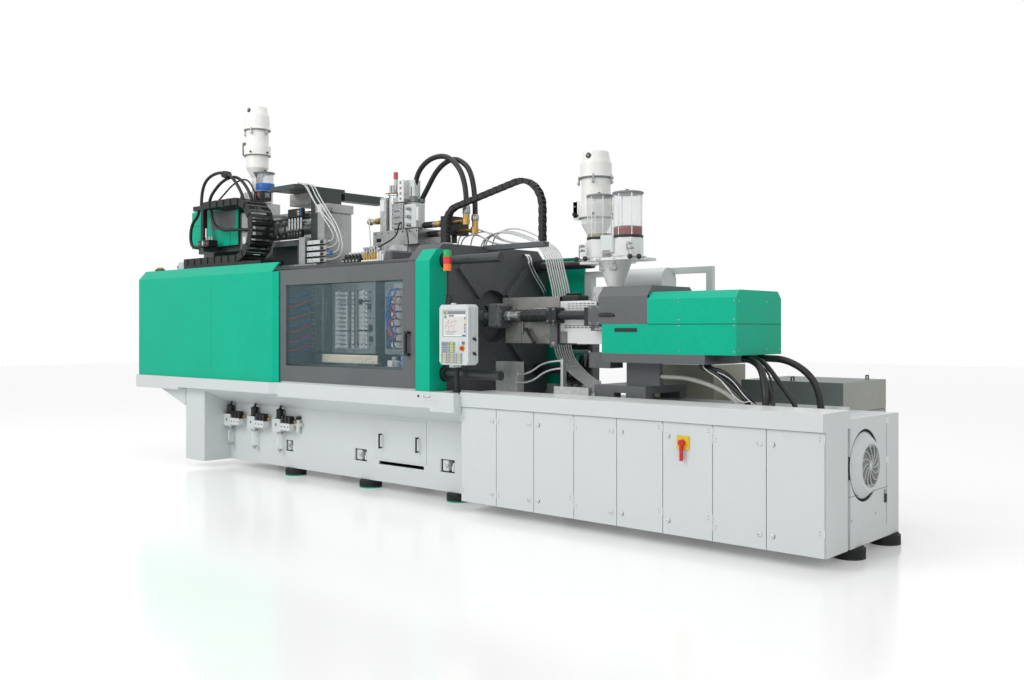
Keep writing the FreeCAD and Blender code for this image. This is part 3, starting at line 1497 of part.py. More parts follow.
def make_top_manifold():
    """Valves, accumulator and pipes on the cube carriage's bridge."""
    y = "top_group_y"
    dome = rod("Dome", "z", ("dome_x", y, "bridge_top"), "dome_radius",
               "dome_top - bridge_top")
    plinth = box("Plinth", ("plinth_left_x", "plinth_right_x"),
                 (f"{y} - plinth_half_width", f"{y} + plinth_half_width"),
                 ("dome_top", "plinth_top"))
    block = box("ValveBlock", ("plinth_left_x", "plinth_left_x + valve_block_width"),
                (f"{y} - valve_block_depth / 2", f"{y} + valve_block_depth / 2"),
                ("plinth_top", "valve_block_top"))
    accumulator = rod("Accumulator", "z", ("accumulator_x", y, "plinth_top"),
                      "accumulator_radius", "accumulator_top - plinth_top")
    pilot = rod("Pilot", "z", ("accumulator_x", y, "accumulator_top"), "pilot_radius",
                "pilot_top - accumulator_top")
    knob = rod("PilotKnob", "z", ("accumulator_x", y, "pilot_top"), "pilot_knob_radius",
               "pilot_knob_top - pilot_top")
    manifold = box("Manifold", ("manifold_left_x", "manifold_right_x"),
                   (f"{y} - plinth_half_width / 2", f"{y} + plinth_half_width / 2"),
                   ("plinth_top", "manifold_top"))
    upper = box("UpperBlock", ("manifold_left_x", "manifold_right_x"),
                (f"{y} - plinth_half_width / 2", f"{y} + plinth_half_width / 4"),
                ("manifold_top", "upper_block_top"))
    pieces = [dome, plinth, block, accumulator, pilot, knob, manifold, upper]
    for side in (0, 1):
        height = f"pipe_height - {side} * pipe_spread"
        place_y = f"{y} - {1 - side} * pipe_spread"
        right = f"pipe_right_x - {1 - side} * pipe_step"
        pieces.append(rod("BrassPipe", "x", ("manifold_right_x", place_y, height), "pipe_radius",
                          f"{right} - manifold_right_x"))
        pieces.append(rod("BrassElbow", "z", (f"{right} - elbow_radius", place_y,
                                              f"{height} - elbow_radius"),
                          "elbow_radius", "elbow_height"))
    pieces.append(box("HoseSeat", ("manifold_right_x", "manifold_right_x + hose_seat_length"),
                      (f"{y} - 2 * pipe_spread + elbow_radius", f"{y} + elbow_radius"),
                      ("manifold_top - hose_seat_height", "manifold_top")))
    pieces.append(box("PipeBracket", ("bracket_left_x", "bracket_right_x"),
                      (f"{y} - pipe_spread - bracket_half_width / 2",
                       f"{y} + bracket_half_width"),
                      ("plinth_top - pipe_spread", "bracket_top")))
    pieces.append(box("ChainBracketDrop", ("bracket_left_x", "bracket_right_x"),
                      (f"{y} - pipe_spread - bracket_half_width / 2",
                       "arch_y + 2 * arch_foot_half"),
                      ("arch_left_low - arch_bracket_height", "plinth_top - pipe_spread")))
    pieces.append(box("ChainBracket", ("bracket_left_x", "arch_left_x + arch_foot_half"),
                      ("arch_y - arch_foot_half", "arch_y + arch_foot_half"),
                      ("arch_left_low - arch_bracket_height",
                       "arch_left_low - chain_foot_gap")))
    pieces.append(box("BracketArm", ("plinth_right_x", "bracket_left_x"),
                      (f"{y}", f"{y} + bracket_half_width / 2"),
                      ("dome_top", "plinth_top - pipe_spread / 2")))
    pieces.append(rod("BrassFitting", "x", ("plinth_left_x - fitting_length", y,
                                            "fitting_height"), "fitting_radius",
                      "fitting_length"))
    pieces.append(box("SmallManifold", ("small_manifold_left_x",
                                        "small_manifold_left_x + small_manifold_width"),
                      (f"{y} - small_manifold_width", f"{y} + small_manifold_width"),
                      ("bridge_top", "dome_top")))
    pieces.append(box("SmallManifoldShelf", ("small_manifold_left_x", "frame_column_left_x"),
                      (f"{y} - small_manifold_width", f"{y} + small_manifold_width"),
                      ("bridge_top", "bridge_top + small_manifold_width / 2")))
    sub_part("top_manifold", fuse("TopManifold", pieces))


def make_second_unit():
    low = "second_low"
    side = "second_side_top - second_low"
    rise = "second_top - second_low"
    wide = "2 * second_half_width"
    outer = profile(
        "SecondOuter", "YZ_Plane",
        [("0", "0"), (wide, "0"), (wide, side), (f"{wide} - second_chamfer", rise),
         ("second_chamfer", rise), ("0", side)],
        "second_right_x - second_left_x", ("second_left_x", "-second_half_width", low))
    room = box("SecondRoom", ("second_left_x + second_sheet", "second_right_x + second_sheet"),
               ("-second_half_width + second_sheet", "second_half_width - second_sheet"),
               (f"{low} - second_sheet", "second_side_top"))
    sub_part("unit_two_cover", cut("SecondCover", outer, [room]))

    base = box("SecondBase", ("second_base_left_x", "second_base_right_x"),
               ("-second_base_half", "second_base_half"), ("second_base_low", low))
    foot = box("SecondFoot", ("second_base_right_x - shoe_length", "second_base_right_x"),
               ("-second_base_half", "second_base_half"), ("head_low", "second_base_low"))
    barrel = rod("SecondBarrel", "x", ("second_left_x + 2 * second_chamfer", "0",
                                       "second_height"), "second_barrel_radius",
                 "second_barrel_right_x - second_left_x - 2 * second_chamfer")
    saddle = box("SecondSaddle", ("second_left_x + second_chamfer",
                                  "second_right_x - second_sheet"),
                 ("-second_barrel_radius", "second_barrel_radius"), (low, "second_height"))
    throat = box("SecondThroat", ("second_right_x", "second_right_x + second_throat_width"),
                 ("loader_two_y - feeder_half", "loader_two_y + 2 * feeder_half"),
                 (low, "feeder_low"))
    drive = rod("SecondRod", "x", ("second_right_x + second_throat_width", "second_rod_y",
                                   "second_rod_height"), "second_rod_radius",
                "head_plate_left_x - second_right_x - second_throat_width")
    stand = box("SecondStand", ("second_stand_x", "second_stand_x + second_stand_width"),
                ("second_stand_y", "second_stand_y + second_stand_width"),
                ("second_base_low", "second_bar_low"))
    brace = box("SecondBrace", ("second_stand_x", "second_stand_x + second_stand_width"),
                ("second_stand_y + second_stand_width", "-second_base_half"),
                ("second_base_low", low))
    bar = box("SecondBar", ("second_bar_left_x", "second_bar_right_x"),
              ("second_stand_y", "second_stand_y + 2 * second_stand_width"),
              ("second_bar_low", "second_bar_top"))
    block = box("SecondHoseBlock", ("second_block_left_x", "second_block_right_x"),
                ("second_block_y", "-second_base_half"), ("second_base_low", "second_block_top"))
    pieces = [base, foot, barrel, saddle, throat, drive, stand, brace, bar, block]
    for index in range(int(size("second_jacket_count"))):
        pieces.append(rod("SecondJacket", "x",
                          (f"second_jacket_x + {index} * second_jacket_pitch", "0",
                           "second_height"), "second_jacket_radius", "second_jacket_length"))
    for left in ("shoe_left_x", "shoe_right_x"):
        pieces.append(box("SecondShoe", (left, f"{left} + shoe_length"),
                          ("-second_base_half", "second_base_half"),
                          ("ridge_height + running_gap", "second_base_low")))
    sub_part("unit_two_barrel", fuse("SecondBarrelUnit", pieces))

    y = "loader_two_y"
    feeder = box("Feeder", ("loader_two_x - 0.8 * feeder_half", "loader_two_x + feeder_half"),
                 (f"{y} - feeder_half", f"{y} + feeder_half"), ("feeder_low", "feeder_high"))
    display = box("FeederDisplay", ("loader_two_x + feeder_half",
                                    "loader_two_x + 2.2 * feeder_half"),
                  (f"{y} - feeder_half", y), ("feeder_low", "feeder_high"))
    cup_base = rod("CupBase", "z", ("cup_x", y, "feeder_high"), "cup_radius",
                   "cup_base_high - feeder_high")
    cup = rod("Cup", "z", ("cup_x", y, "cup_base_high"), "cup_radius - cup_lid",
              "cup_top - cup_base_high")
    lid = rod("CupLid", "z", ("cup_x", y, "cup_top"), "cup_radius", "cup_lid")
    loader = loader_pieces("LoaderTwo", ("loader_two_x", y, "loader_two_top"), "feeder_high",
                           ("loader_body_length", "loader_can_length", "loader_lower_length"))
    sub_part("vacuum_loader_two", fuse("LoaderTwo", [feeder, display, cup_base, cup, lid,
                                                     *loader]))


def loader_pieces(name, crown, seat, lengths):
    """A vacuum loader: cap, body, clamp ring, can, collar and outlet cone above its seat."""
    x, y, top = crown
    body, can, lower = lengths
    cap_low = f"{top} - loader_cap_length"
    body_low = f"{cap_low} - {body}"
    ring_low = f"{body_low} - loader_ring"
    can_low = f"{ring_low} - {can}"
    collar_low = f"{can_low} - loader_collar_length"
    lower_low = f"{collar_low} - {lower}"
    cone_low = f"{lower_low} - loader_cone_length"
    return [
        cone(name + "Cap", (x, y, cap_low), "loader_radius", "loader_cap_radius",
             "loader_cap_length"),
        rod(name + "Body", "z", (x, y, body_low), "loader_radius + loader_ring_proud", body),
        rod(name + "Ring", "z", (x, y, ring_low), "loader_radius + 2 * loader_ring_proud",
            "loader_ring"),
        rod(name + "Can", "z", (x, y, can_low), "loader_radius", can),
        rod(name + "Collar", "z", (x, y, collar_low), "loader_collar_radius",
            "loader_collar_length"),
        rod(name + "Lower", "z", (x, y, lower_low), "loader_radius", lower),
        cone(name + "Cone", (x, y, cone_low), "loader_outlet_radius", "loader_radius",
             "loader_cone_length"),
        rod(name + "Outlet", "z", (x, y, seat), "loader_outlet_radius", f"{cone_low} - ({seat})"),
        box(name + "Box",
            (f"{x} - loader_collar_radius - loader_box_reach", f"{x} - loader_radius + lock_proud"),
            (f"{y} - loader_box_width / 2", f"{y} + loader_box_width / 2"),
            (f"{collar_low}", f"{collar_low} + loader_box_height")),
    ]


# ================================================================ injection unit
def make_injection_unit():
    wide = "2 * cover_half_width"
    lower = box("CoverLower", ("carriage_left_x", "cover_right_x"),
                ("-cover_half_width", "cover_half_width"), ("cover_low", "cover_seam"))
    upper = profile(
        "CoverUpper", "YZ_Plane",
        [("0", "0"), (wide, "0"), (wide, "cover_side_top - cover_seam"),
         (f"{wide} - cover_chamfer", "cover_top - cover_seam"),
         ("cover_chamfer", "cover_top - cover_seam"), ("0", "cover_side_top - cover_seam")],
        "cover_right_x - hood_right_x", ("hood_right_x", "-cover_half_width", "cover_seam"))
    inner_y = ("-cover_half_width + cover_sheet", "cover_half_width - cover_sheet")
    room = box("CoverRoom", ("carriage_left_x - cover_sheet", "cover_right_x - cover_sheet"),
               inner_y, ("cover_low - cover_sheet", "cover_seam"))
    upper_room = box("CoverUpperRoom", ("hood_right_x - cover_sheet",
                                        "cover_right_x - cover_sheet"), inner_y,
                     ("cover_low", "cover_side_top"))
    sub_part("injection_cover",
             cut("InjectionCover", fuse("CoverBlank", [lower, upper]), [room, upper_room]))

    hood = profile(
        "HoodBlank", "YZ_Plane",
        [("0", "0"), (wide, "0"), (wide, "hood_side_top - cover_seam"),
         (f"{wide} - hood_chamfer", "hood_top - cover_seam"),
         ("hood_chamfer", "hood_top - cover_seam"), ("0", "hood_side_top - cover_seam")],
        "hood_right_x - hood_left_x", ("hood_left_x", "-cover_half_width", "cover_seam"))
    hood_room = box("HoodRoom", ("hood_left_x + cover_sheet", "hood_right_x + cover_sheet"),
                    inner_y, ("cover_seam - cover_sheet", "hood_side_top"))
    slot_low = "cover_seam + hood_slot_height_from_seam"
    slot = box("HoodSlot", ("hood_left_x - cover_sheet", "hood_left_x + hood_slot_length"),
               ("-cover_half_width - cover_sheet", "-cover_half_width + 2 * cover_sheet"),
               (slot_low, f"{slot_low} + hood_slot_height"))
    pocket = box("HoodPocket", ("hood_left_x + cover_sheet", "hood_left_x + hood_slot_length"
                                " + cover_sheet"),
                 ("-cover_half_width + cover_sheet", "-cover_half_width + 4 * cover_sheet"),
                 (f"{slot_low} - cover_sheet", f"{slot_low} + hood_slot_height + cover_sheet"))
    barrel_way = box("HoodBarrelWay", ("hood_left_x - cover_sheet", "hood_left_x"
                                       " + 2 * cover_sheet"),
                     ("-barrel_radius - cover_sheet", "barrel_radius + cover_sheet"),
                     ("cover_seam - cover_sheet", "barrel_height + barrel_radius + cover_sheet"))
    cover_shell = cut("HoodShell", hood, [hood_room, slot, barrel_way])
    sub_part("injection_hood", fuse("Hood", [cover_shell, pocket]))

    base = box("CarriageBase", ("carriage_left_x", "base_right_x"),
               ("-cover_half_width", "cover_half_width"), ("base_low", "cover_low"))
    tail = box("CarriageTail", ("base_right_x", "tail_right_x"),
               ("-pedestal_half_width", "pedestal_half_width"),
               ("tail_low", "cover_low"))
    pedestal = box("Pedestal", ("pedestal_left_x", "pedestal_right_x"),
                   ("-pedestal_half_width", "-pedestal_half_width + pedestal_plate"),
                   ("sled_top", "base_low"))
    web = box("PedestalWeb", ("pedestal_web_left_x", "pedestal_web_right_x"),
              ("-pedestal_half_width + pedestal_plate", "pedestal_half_width"),
              ("sled_top", "base_low"))
    sled = box("Sled", ("sled_left_x", "sled_right_x"),
               ("-sled_half_width", "sled_half_width"), ("sled_low", "sled_top"))
    drive_mount = box("DriveMount", ("barrel_right_x", "drive_right_x"),
                      ("-drive_radius", "drive_radius"), ("cover_low", "barrel_height"))
    drive = rod("Drive", "x", ("barrel_right_x", "0", "barrel_height"), "drive_radius",
                "drive_right_x - barrel_right_x")
    drive_bore = rod("DriveBore", "x", ("barrel_right_x - cover_sheet", "0", "barrel_height"),
                     "barrel_bore_radius", "screw_right_x - barrel_right_x + 2 * cover_sheet")
    valve = box("ValveStack", ("valve_left_x", "carriage_left_x"),
                ("valve_front_y", "valve_back_y"), ("valve_low", "cover_low"))
    pieces = [base, tail, pedestal, web, sled, valve,
              cut("DriveCut", fuse("DriveBlank", [drive_mount, drive]), [drive_bore])]
    for side in ("-", ""):
        for left in ("sled_left_x", "sled_right_x - shoe_block_length"):
            pieces.append(box("GuideShoe", (left, f"{left} + shoe_block_length"),
                              (f"{side}rail_half_y - 0.9 * rail_width",
                               f"{side}rail_half_y + 0.9 * rail_width"),
                              ("rail_top + running_gap", "sled_low")))
    sub_part("injection_carriage", fuse("InjectionCarriage", pieces))

    tube = rod("BarrelTube", "x", ("barrel_left_x", "0", "barrel_height"), "barrel_radius",
               "barrel_right_x - barrel_left_x")
    nozzle = rod("Nozzle", "x", ("nozzle_left_x", "0", "barrel_height"), "nozzle_radius",
                 "barrel_left_x - nozzle_left_x")
    throat = box("Throat", ("throat_left_x", "throat_right_x"),
                 ("-throat_half_width", "throat_half_width"), ("throat_low", "throat_top"))
    bore = rod("BarrelBore", "x", ("screw_left_x - screw_tip_length - cover_sheet", "0",
                                   "barrel_height"), "barrel_bore_radius",
               "barrel_right_x - screw_left_x + screw_tip_length + 2 * cover_sheet")
    tip_bore = rod("TipBore", "x", ("nozzle_left_x - cover_sheet", "0", "barrel_height"),
                   "nozzle_bore_radius", "screw_left_x - nozzle_left_x")
    feed = rod("FeedBore", "z", ("dosing_x", "0", "barrel_height"), "throat_bore_radius",
               "throat_top - barrel_height + cover_sheet")
    sub_part("heated_barrel",
             cut("HeatedBarrel", fuse("BarrelBlank", [tube, nozzle, throat]),
                 [bore, tip_bore, feed]))

    core = rod("ScrewCore", "x", ("screw_left_x", "0", "barrel_height"), "screw_core_radius",
               "screw_right_x - screw_left_x")
    tip = doc.addObject("Part::Cone", "ScrewTip")
    tip.Placement = Placement(Vector(), TURNS["x"])
    bind(tip, "Radius1", "nozzle_bore_radius")
    bind(tip, "Radius2", "screw_core_radius")
    bind(tip, "Height", "screw_tip_length")
    place(tip, "screw_left_x - screw_tip_length", "0", "barrel_height")
    land = rod("ScrewLand", "x", ("screw_left_x", "0", "barrel_height"), "screw_radius",
               "screw_tip_length")
    journal = rod("ScrewJournal", "x", ("screw_right_x - 2 * screw_tip_length", "0",
                                        "barrel_height"), "screw_radius", "2 * screw_tip_length")
    sub_part("plasticising_screw", fuse("Screw", [core, tip, land, journal]))


def make_barrel_guards():
    shroud = box("Shroud", ("shroud_left_x", "shroud_right_x"),
                 ("-shroud_half_width", "shroud_half_width"), ("shroud_low", "shroud_top"))
    shroud_room = box("ShroudRoom", ("shroud_left_x - shroud_sheet",
                                     "shroud_right_x + shroud_sheet"),
                      ("-shroud_half_width + shroud_sheet", "shroud_half_width - shroud_sheet"),
                      ("shroud_low + shroud_sheet", "shroud_top - shroud_sheet"))
    shroud_bulkhead = box("ShroudBulkhead",
                          ("shroud_right_x - shroud_sheet", "shroud_right_x"),
                          ("-shroud_half_width + shroud_sheet",
                           "shroud_half_width - shroud_sheet"),
                          ("shroud_low + shroud_sheet", "shroud_top - shroud_sheet"))
    barrel_hole = rod("ShroudHole", "x", ("shroud_right_x - 2 * shroud_sheet", "0",
                                          "barrel_height"), "barrel_radius", "4 * shroud_sheet")
    seat = box("ShroudSeat", ("shroud_right_x", "throat_left_x"),
               ("-throat_half_width", "throat_half_width"), ("throat_low", "shroud_top"))
    skirt = box("ShroudSkirt", ("shroud_right_x", "shroud_skirt_right_x"),
                ("-shroud_half_width", "shroud_half_width"),
                ("shroud_low", "shroud_skirt_top"))
    cylinder_ways = []
    for side in ("-", ""):
        cylinder_ways.append(
            rod("ShroudCylinderWay", "x", ("shroud_left_x - shroud_sheet",
                                           f"{side}traverse_y", "barrel_height"),
                "traverse_radius", "2 * shroud_half_width"))
    whole = fuse("ShroudWhole", [cut("ShroudCut", shroud, [shroud_room]), shroud_bulkhead, seat,
                                 skirt])
    barrel_way = rod("ShroudBarrelWay", "x", ("shroud_left_x - shroud_sheet", "0",
                                              "barrel_height"), "barrel_radius",
                     "throat_left_x - shroud_left_x + 2 * shroud_sheet")
    sub_part("barrel_shroud", cut("ShroudFinal", whole, [barrel_hole, barrel_way,
                                                         *cylinder_ways]))

    y = ("-guard_half_width", "guard_half_width")
    inner = ("-guard_half_width + guard_shell", "guard_half_width - guard_shell")
    upper = box("UpperGuardBlank", ("guard_left_x", "guard_end_x"), y,
                ("upper_guard_low", "upper_guard_top"))
    upper_room = box("UpperGuardRoom", ("guard_left_x - guard_shell", "guard_end_x"
                                        " + guard_shell"), inner,
                     ("upper_guard_low - guard_shell", "upper_guard_top - guard_shell"))
    upper_link = box("UpperGuardLink", ("guard_end_x", "shroud_left_x"),
                     ("-guard_half_width / 2", "guard_half_width / 2"),
                     ("shroud_top - shroud_sheet", "shroud_top"))
    upper_bridge = box("UpperGuardBridge", ("guard_end_x - shroud_sheet * 4", "guard_end_x"),
                       ("-guard_half_width / 2", "guard_half_width / 2"),
                       ("shroud_top - shroud_sheet", "upper_guard_top - guard_shell"))
    sub_part("barrel_guard_upper",
             fuse("UpperGuard", [cut("UpperGuardCut", upper, [upper_room]), upper_link,
                                 upper_bridge]))

    lower = box("LowerGuardBlank", ("lower_guard_left_x", "lower_guard_right_x"), y,
                ("lower_guard_low", "lower_guard_top"))
    lower_room = box("LowerGuardRoom", ("lower_guard_left_x - guard_shell",
                                        "lower_guard_right_x + guard_shell"), inner,
                     ("lower_guard_low + guard_shell", "lower_guard_top + guard_shell"))
    catch = rod("GuardCatch", "z", ("catch_x", "-guard_half_width - catch_radius",
                                    "lower_guard_top - catch_length"), "catch_radius",
                "catch_length")
    catch_foot = box("CatchFoot", ("catch_x - catch_radius", "catch_x + catch_radius"),
                     ("-guard_half_width - catch_radius", "-guard_half_width"),
                     ("lower_guard_top - 2 * catch_radius", "lower_guard_top"))
    hinge = rod("GuardHinge", "x", ("lower_guard_left_x", "guard_half_width - hinge_radius",
                                    "lower_guard_low - hinge_radius"), "hinge_radius",
                "shroud_left_x - lower_guard_left_x")
    sub_part("barrel_guard_lower", fuse("LowerGuard", [cut("LowerGuardCut", lower, [lower_room]),
                                                       catch, catch_foot, hinge]))


def make_traverse_cylinders():
    cylinders = []
    for side in ("-", ""):
        y = f"{side}traverse_y"
        front = rod("TraverseFront", "x", ("traverse_left_x", y, "barrel_height"),
                    "traverse_radius", "traverse_step_x - traverse_left_x")
        rear = rod("TraverseRear", "x", ("traverse_step_x", y, "barrel_height"),
                   "traverse_rear_radius", "traverse_right_x - traverse_step_x")
        near = ("-traverse_y - traverse_radius", "-throat_half_width")
        block_y = near if side == "-" else ("throat_half_width", "traverse_y + traverse_radius")
        block = box("TraverseBlock", ("throat_left_x + 3 * cover_sheet",
                                      "traverse_block_right_x"),
                    block_y, ("barrel_height - traverse_block_half",
                              "barrel_height + traverse_block_half - traverse_block_drop / 2"))
        stub = rod("TraverseStub", "x", ("traverse_right_x", y, "barrel_height"),
                   "traverse_rear_radius",
                   "throat_left_x + 4 * cover_sheet - traverse_right_x")
        bore = rod("TraverseBore", "x", ("traverse_left_x - cover_sheet", y, "barrel_height"),
                   "traverse_rod_radius + traverse_clearance",
                   "traverse_right_x - traverse_left_x")
        cylinders.append(cut("TraverseCylinder",
                             fuse("TraverseWhole", [front, rear, block, stub]), [bore]))
    sub_part("traverse_cylinders", group("TraverseCylinders", cylinders))


def make_dosing():
    plate = box("DosingPlate", ("dosing_left_x", "dosing_right_x"),
                ("dosing_front_y", "dosing_step_y"), ("dosing_plate_low", "dosing_plate_top"))
    wing = box("DosingWing", ("dosing_wing_x", "dosing_x"),
               ("dosing_step_y - throat_bore_radius", "dosing_back_y"),
               ("dosing_plate_low", "dosing_plate_top"))
    taper = cone("DosingCone", ("dosing_x", "0", "dosing_cone_low"), "dosing_cone_bottom",
                 "dosing_cone_top", "dosing_plate_low - dosing_cone_low")
    spout = rod("DosingSpout", "z", ("dosing_x", "0", "throat_top"), "dosing_cone_bottom",
                "dosing_cone_low - throat_top")
    pieces = [plate, wing, taper, spout]
    stations = (("tube_left_x", "tube_y", "tube_left_radius"),
                ("tube_right_x", "tube_y", "tube_right_radius"),
                ("third_x", "third_y", "third_radius"))
    for x, y, radius in stations:
        pieces.append(rod("DosingHousing", "z", (x, y, "dosing_plate_top"),
                          f"{radius} - housing_inset", "housing_top - dosing_plate_top"))
    height = "dosing_plate_low + lever_rod_radius"
    for step in (1, 4):
        x = f"dosing_left_x + {step} * 2 * lever_ball_radius"
        front = "dosing_front_y - gate_reach"
        pieces.append(rod("GateRod", "y", (x, front, height), "lever_rod_radius",
                          "2 * gate_reach"))
        ball = doc.addObject("Part::Sphere", "GateBall")
        bind(ball, "Radius", "lever_ball_radius")
        pieces.append(place(ball, x, front, height))
        y = f"dosing_front_y + {step} * 1.6 * lever_ball_radius"
        pieces.append(rod("GateRod", "x", ("dosing_right_x - gate_reach", y, height),
                          "lever_rod_radius", "2.4 * gate_reach"))
        ball = doc.addObject("Part::Sphere", "GateBall")
        bind(ball, "Radius", "lever_ball_radius")
        pieces.append(place(ball, "dosing_right_x + 1.4 * gate_reach", y, height))
    sub_part("dosing_station", fuse("DosingStation", pieces))

    tubes = []
    for x, radius, pellets in (("tube_left_x", "tube_left_radius", "pellet_low_height"),
                               ("tube_right_x", "tube_right_radius", "pellet_high_height")):
        wall = rod("TubeWall", "z", (x, "tube_y", "housing_top"), radius,
                   "tube_top - housing_top")
        room = rod("TubeRoom", "z", (x, "tube_y", f"housing_top + {pellets}"),
                   f"{radius} - tube_wall", f"tube_top - housing_top - {pellets}")
        tubes.append(cut("HopperTube", wall, [room]))
    for x, radius in (("tube_left_x", "tube_left_radius"), ("tube_right_x", "tube_right_radius")):
        lid = rod("TubeLid", "z", (x, "tube_y", "tube_top"), f"{radius} + tube_wall", "tube_lid")
        knob = rod("TubeKnob", "z", (x, "tube_y", "tube_top + tube_lid"), "lever_ball_radius",
                   "lever_ball_radius")
        tubes.append(fuse("HopperLid", [lid, knob]))
    sub_part("hopper_tubes", group("HopperTubes", tubes))
    loader = loader_pieces(
        "LoaderOne", ("third_x", "third_y", "loader_one_top"), "housing_top",
        ("loader_one_body_length", "loader_one_can_length", "loader_one_lower_length"))
    sub_part("vacuum_loader_one", fuse("LoaderOneWhole", loader))


# ================================================================ control panel
def make_control_panel():
    blank = profile(
        "PanelBlank", "XZ_Plane",
        [("panel_corner", "0"), ("panel_right_x - panel_left_x - panel_corner", "0"),
         ("panel_right_x - panel_left_x", "panel_corner"),
         ("panel_right_x - panel_left_x", "panel_high - panel_low - panel_corner"),
         ("panel_right_x - panel_left_x - panel_corner", "panel_high - panel_low"),
         ("panel_corner", "panel_high - panel_low"),
         ("0", "panel_high - panel_low - panel_corner"), ("0", "panel_corner")],
        "panel_back_y - panel_front_y", ("panel_left_x", "panel_front_y", "panel_low"))
    screen = box("Screen", ("screen_left_x", "screen_right_x"),
                 ("panel_front_y - screen_depth", "panel_front_y + screen_depth"),
                 ("screen_low", "screen_high"))
    stop_bore = rod("StopBore", "y", ("stop_x", "panel_front_y - screen_depth", "stop_height"),
                    "stop_stem + running_gap", "stop_seat + screen_depth")
    housing = cut("PanelHousing", blank, [screen, stop_bore])
    bracket = box("PanelBracket", ("arm_x - arm_bracket", "arm_x + arm_bracket"),
                  ("panel_back_y", "arm_y + arm_bracket"),
                  ("panel_low - arm_bracket", "panel_low + 2 * arm_bracket"))
    under = box("PanelUnder", ("arm_x - arm_bracket", "arm_x + arm_bracket"),
                ("panel_back_y - arm_bracket", "panel_back_y"),
                ("panel_low - arm_bracket", "panel_low"))
    knob = rod("ModeKnob", "y", ("knob_x", "panel_front_y - 2 * key_proud", "knob_height"),
               "knob_radius", "2 * key_proud")
    pieces = [housing, bracket, under, knob]
    for row in range(int(size("key_rows"))):
        for column in range(int(size("key_columns"))):
            x = f"key_left_x + {column} * key_pitch"
            z = f"key_low + {row} * key_pitch"
            near_stop = abs(size(x) - size("stop_x")) < 2 * size("stop_radius")
            high_key = size(z) > size("stop_height - 2 * stop_radius")
            if high_key and (near_stop or size(x) > size("stop_x - 2 * stop_radius")):
                continue
            pieces.append(box("Key", (x, f"{x} + key_size"),
                              ("panel_front_y - key_proud", "panel_front_y"),
                              (z, f"{z} + key_size")))
    sub_part("control_panel", fuse("ControlPanel", pieces))

    stem = rod("StopStem", "y", ("stop_x", "panel_front_y - stop_travel - running_gap",
                                 "stop_height"), "stop_stem", "stop_seat")
    head = rod("StopHead", "y", ("stop_x", "panel_front_y - stop_travel - running_gap"
                                 " - stop_radius / 2", "stop_height"), "stop_radius",
               "stop_radius / 2")
    sub_part("emergency_stop", fuse("EmergencyStop", [stem, head]))

    pole = rod("TowerPole", "z", ("tower_x", "tower_y", "panel_high"), "tower_pole_radius",
               "tower_low - panel_high")
    foot = rod("TowerFoot", "z", ("tower_x", "tower_y", "panel_high"), "tower_radius / 2",
               "tower_radius / 2")
    pieces = [pole, foot]
    for index in range(3):
        pieces.append(rod("TowerLight", "z", ("tower_x", "tower_y",
                                              f"tower_low + {index} * tower_segment"),
                          "tower_radius", "tower_segment - seam_width"))
        pieces.append(rod("TowerJoint", "z", ("tower_x", "tower_y",
                                              f"tower_low + {index} * tower_segment"),
                          "tower_radius - seam_width", "tower_segment"))
    sub_part("signal_tower", fuse("SignalTower", pieces))


make_bed()
make_feet()
make_ledge()
make_access_panel()
make_air_service_units()
make_cabinet()
make_doors()
make_main_switch()
make_motor_and_cowl()
make_rear_cabinets()
make_guards()
make_front_door()
make_pillar()
make_platens()
make_tie_bars()
make_cube()
make_cube_carriage()
make_nozzle_head()
make_top_manifold()
make_second_unit()
make_injection_unit()
make_barrel_guards()
make_traverse_cylinders()
make_dosing()
make_control_panel()


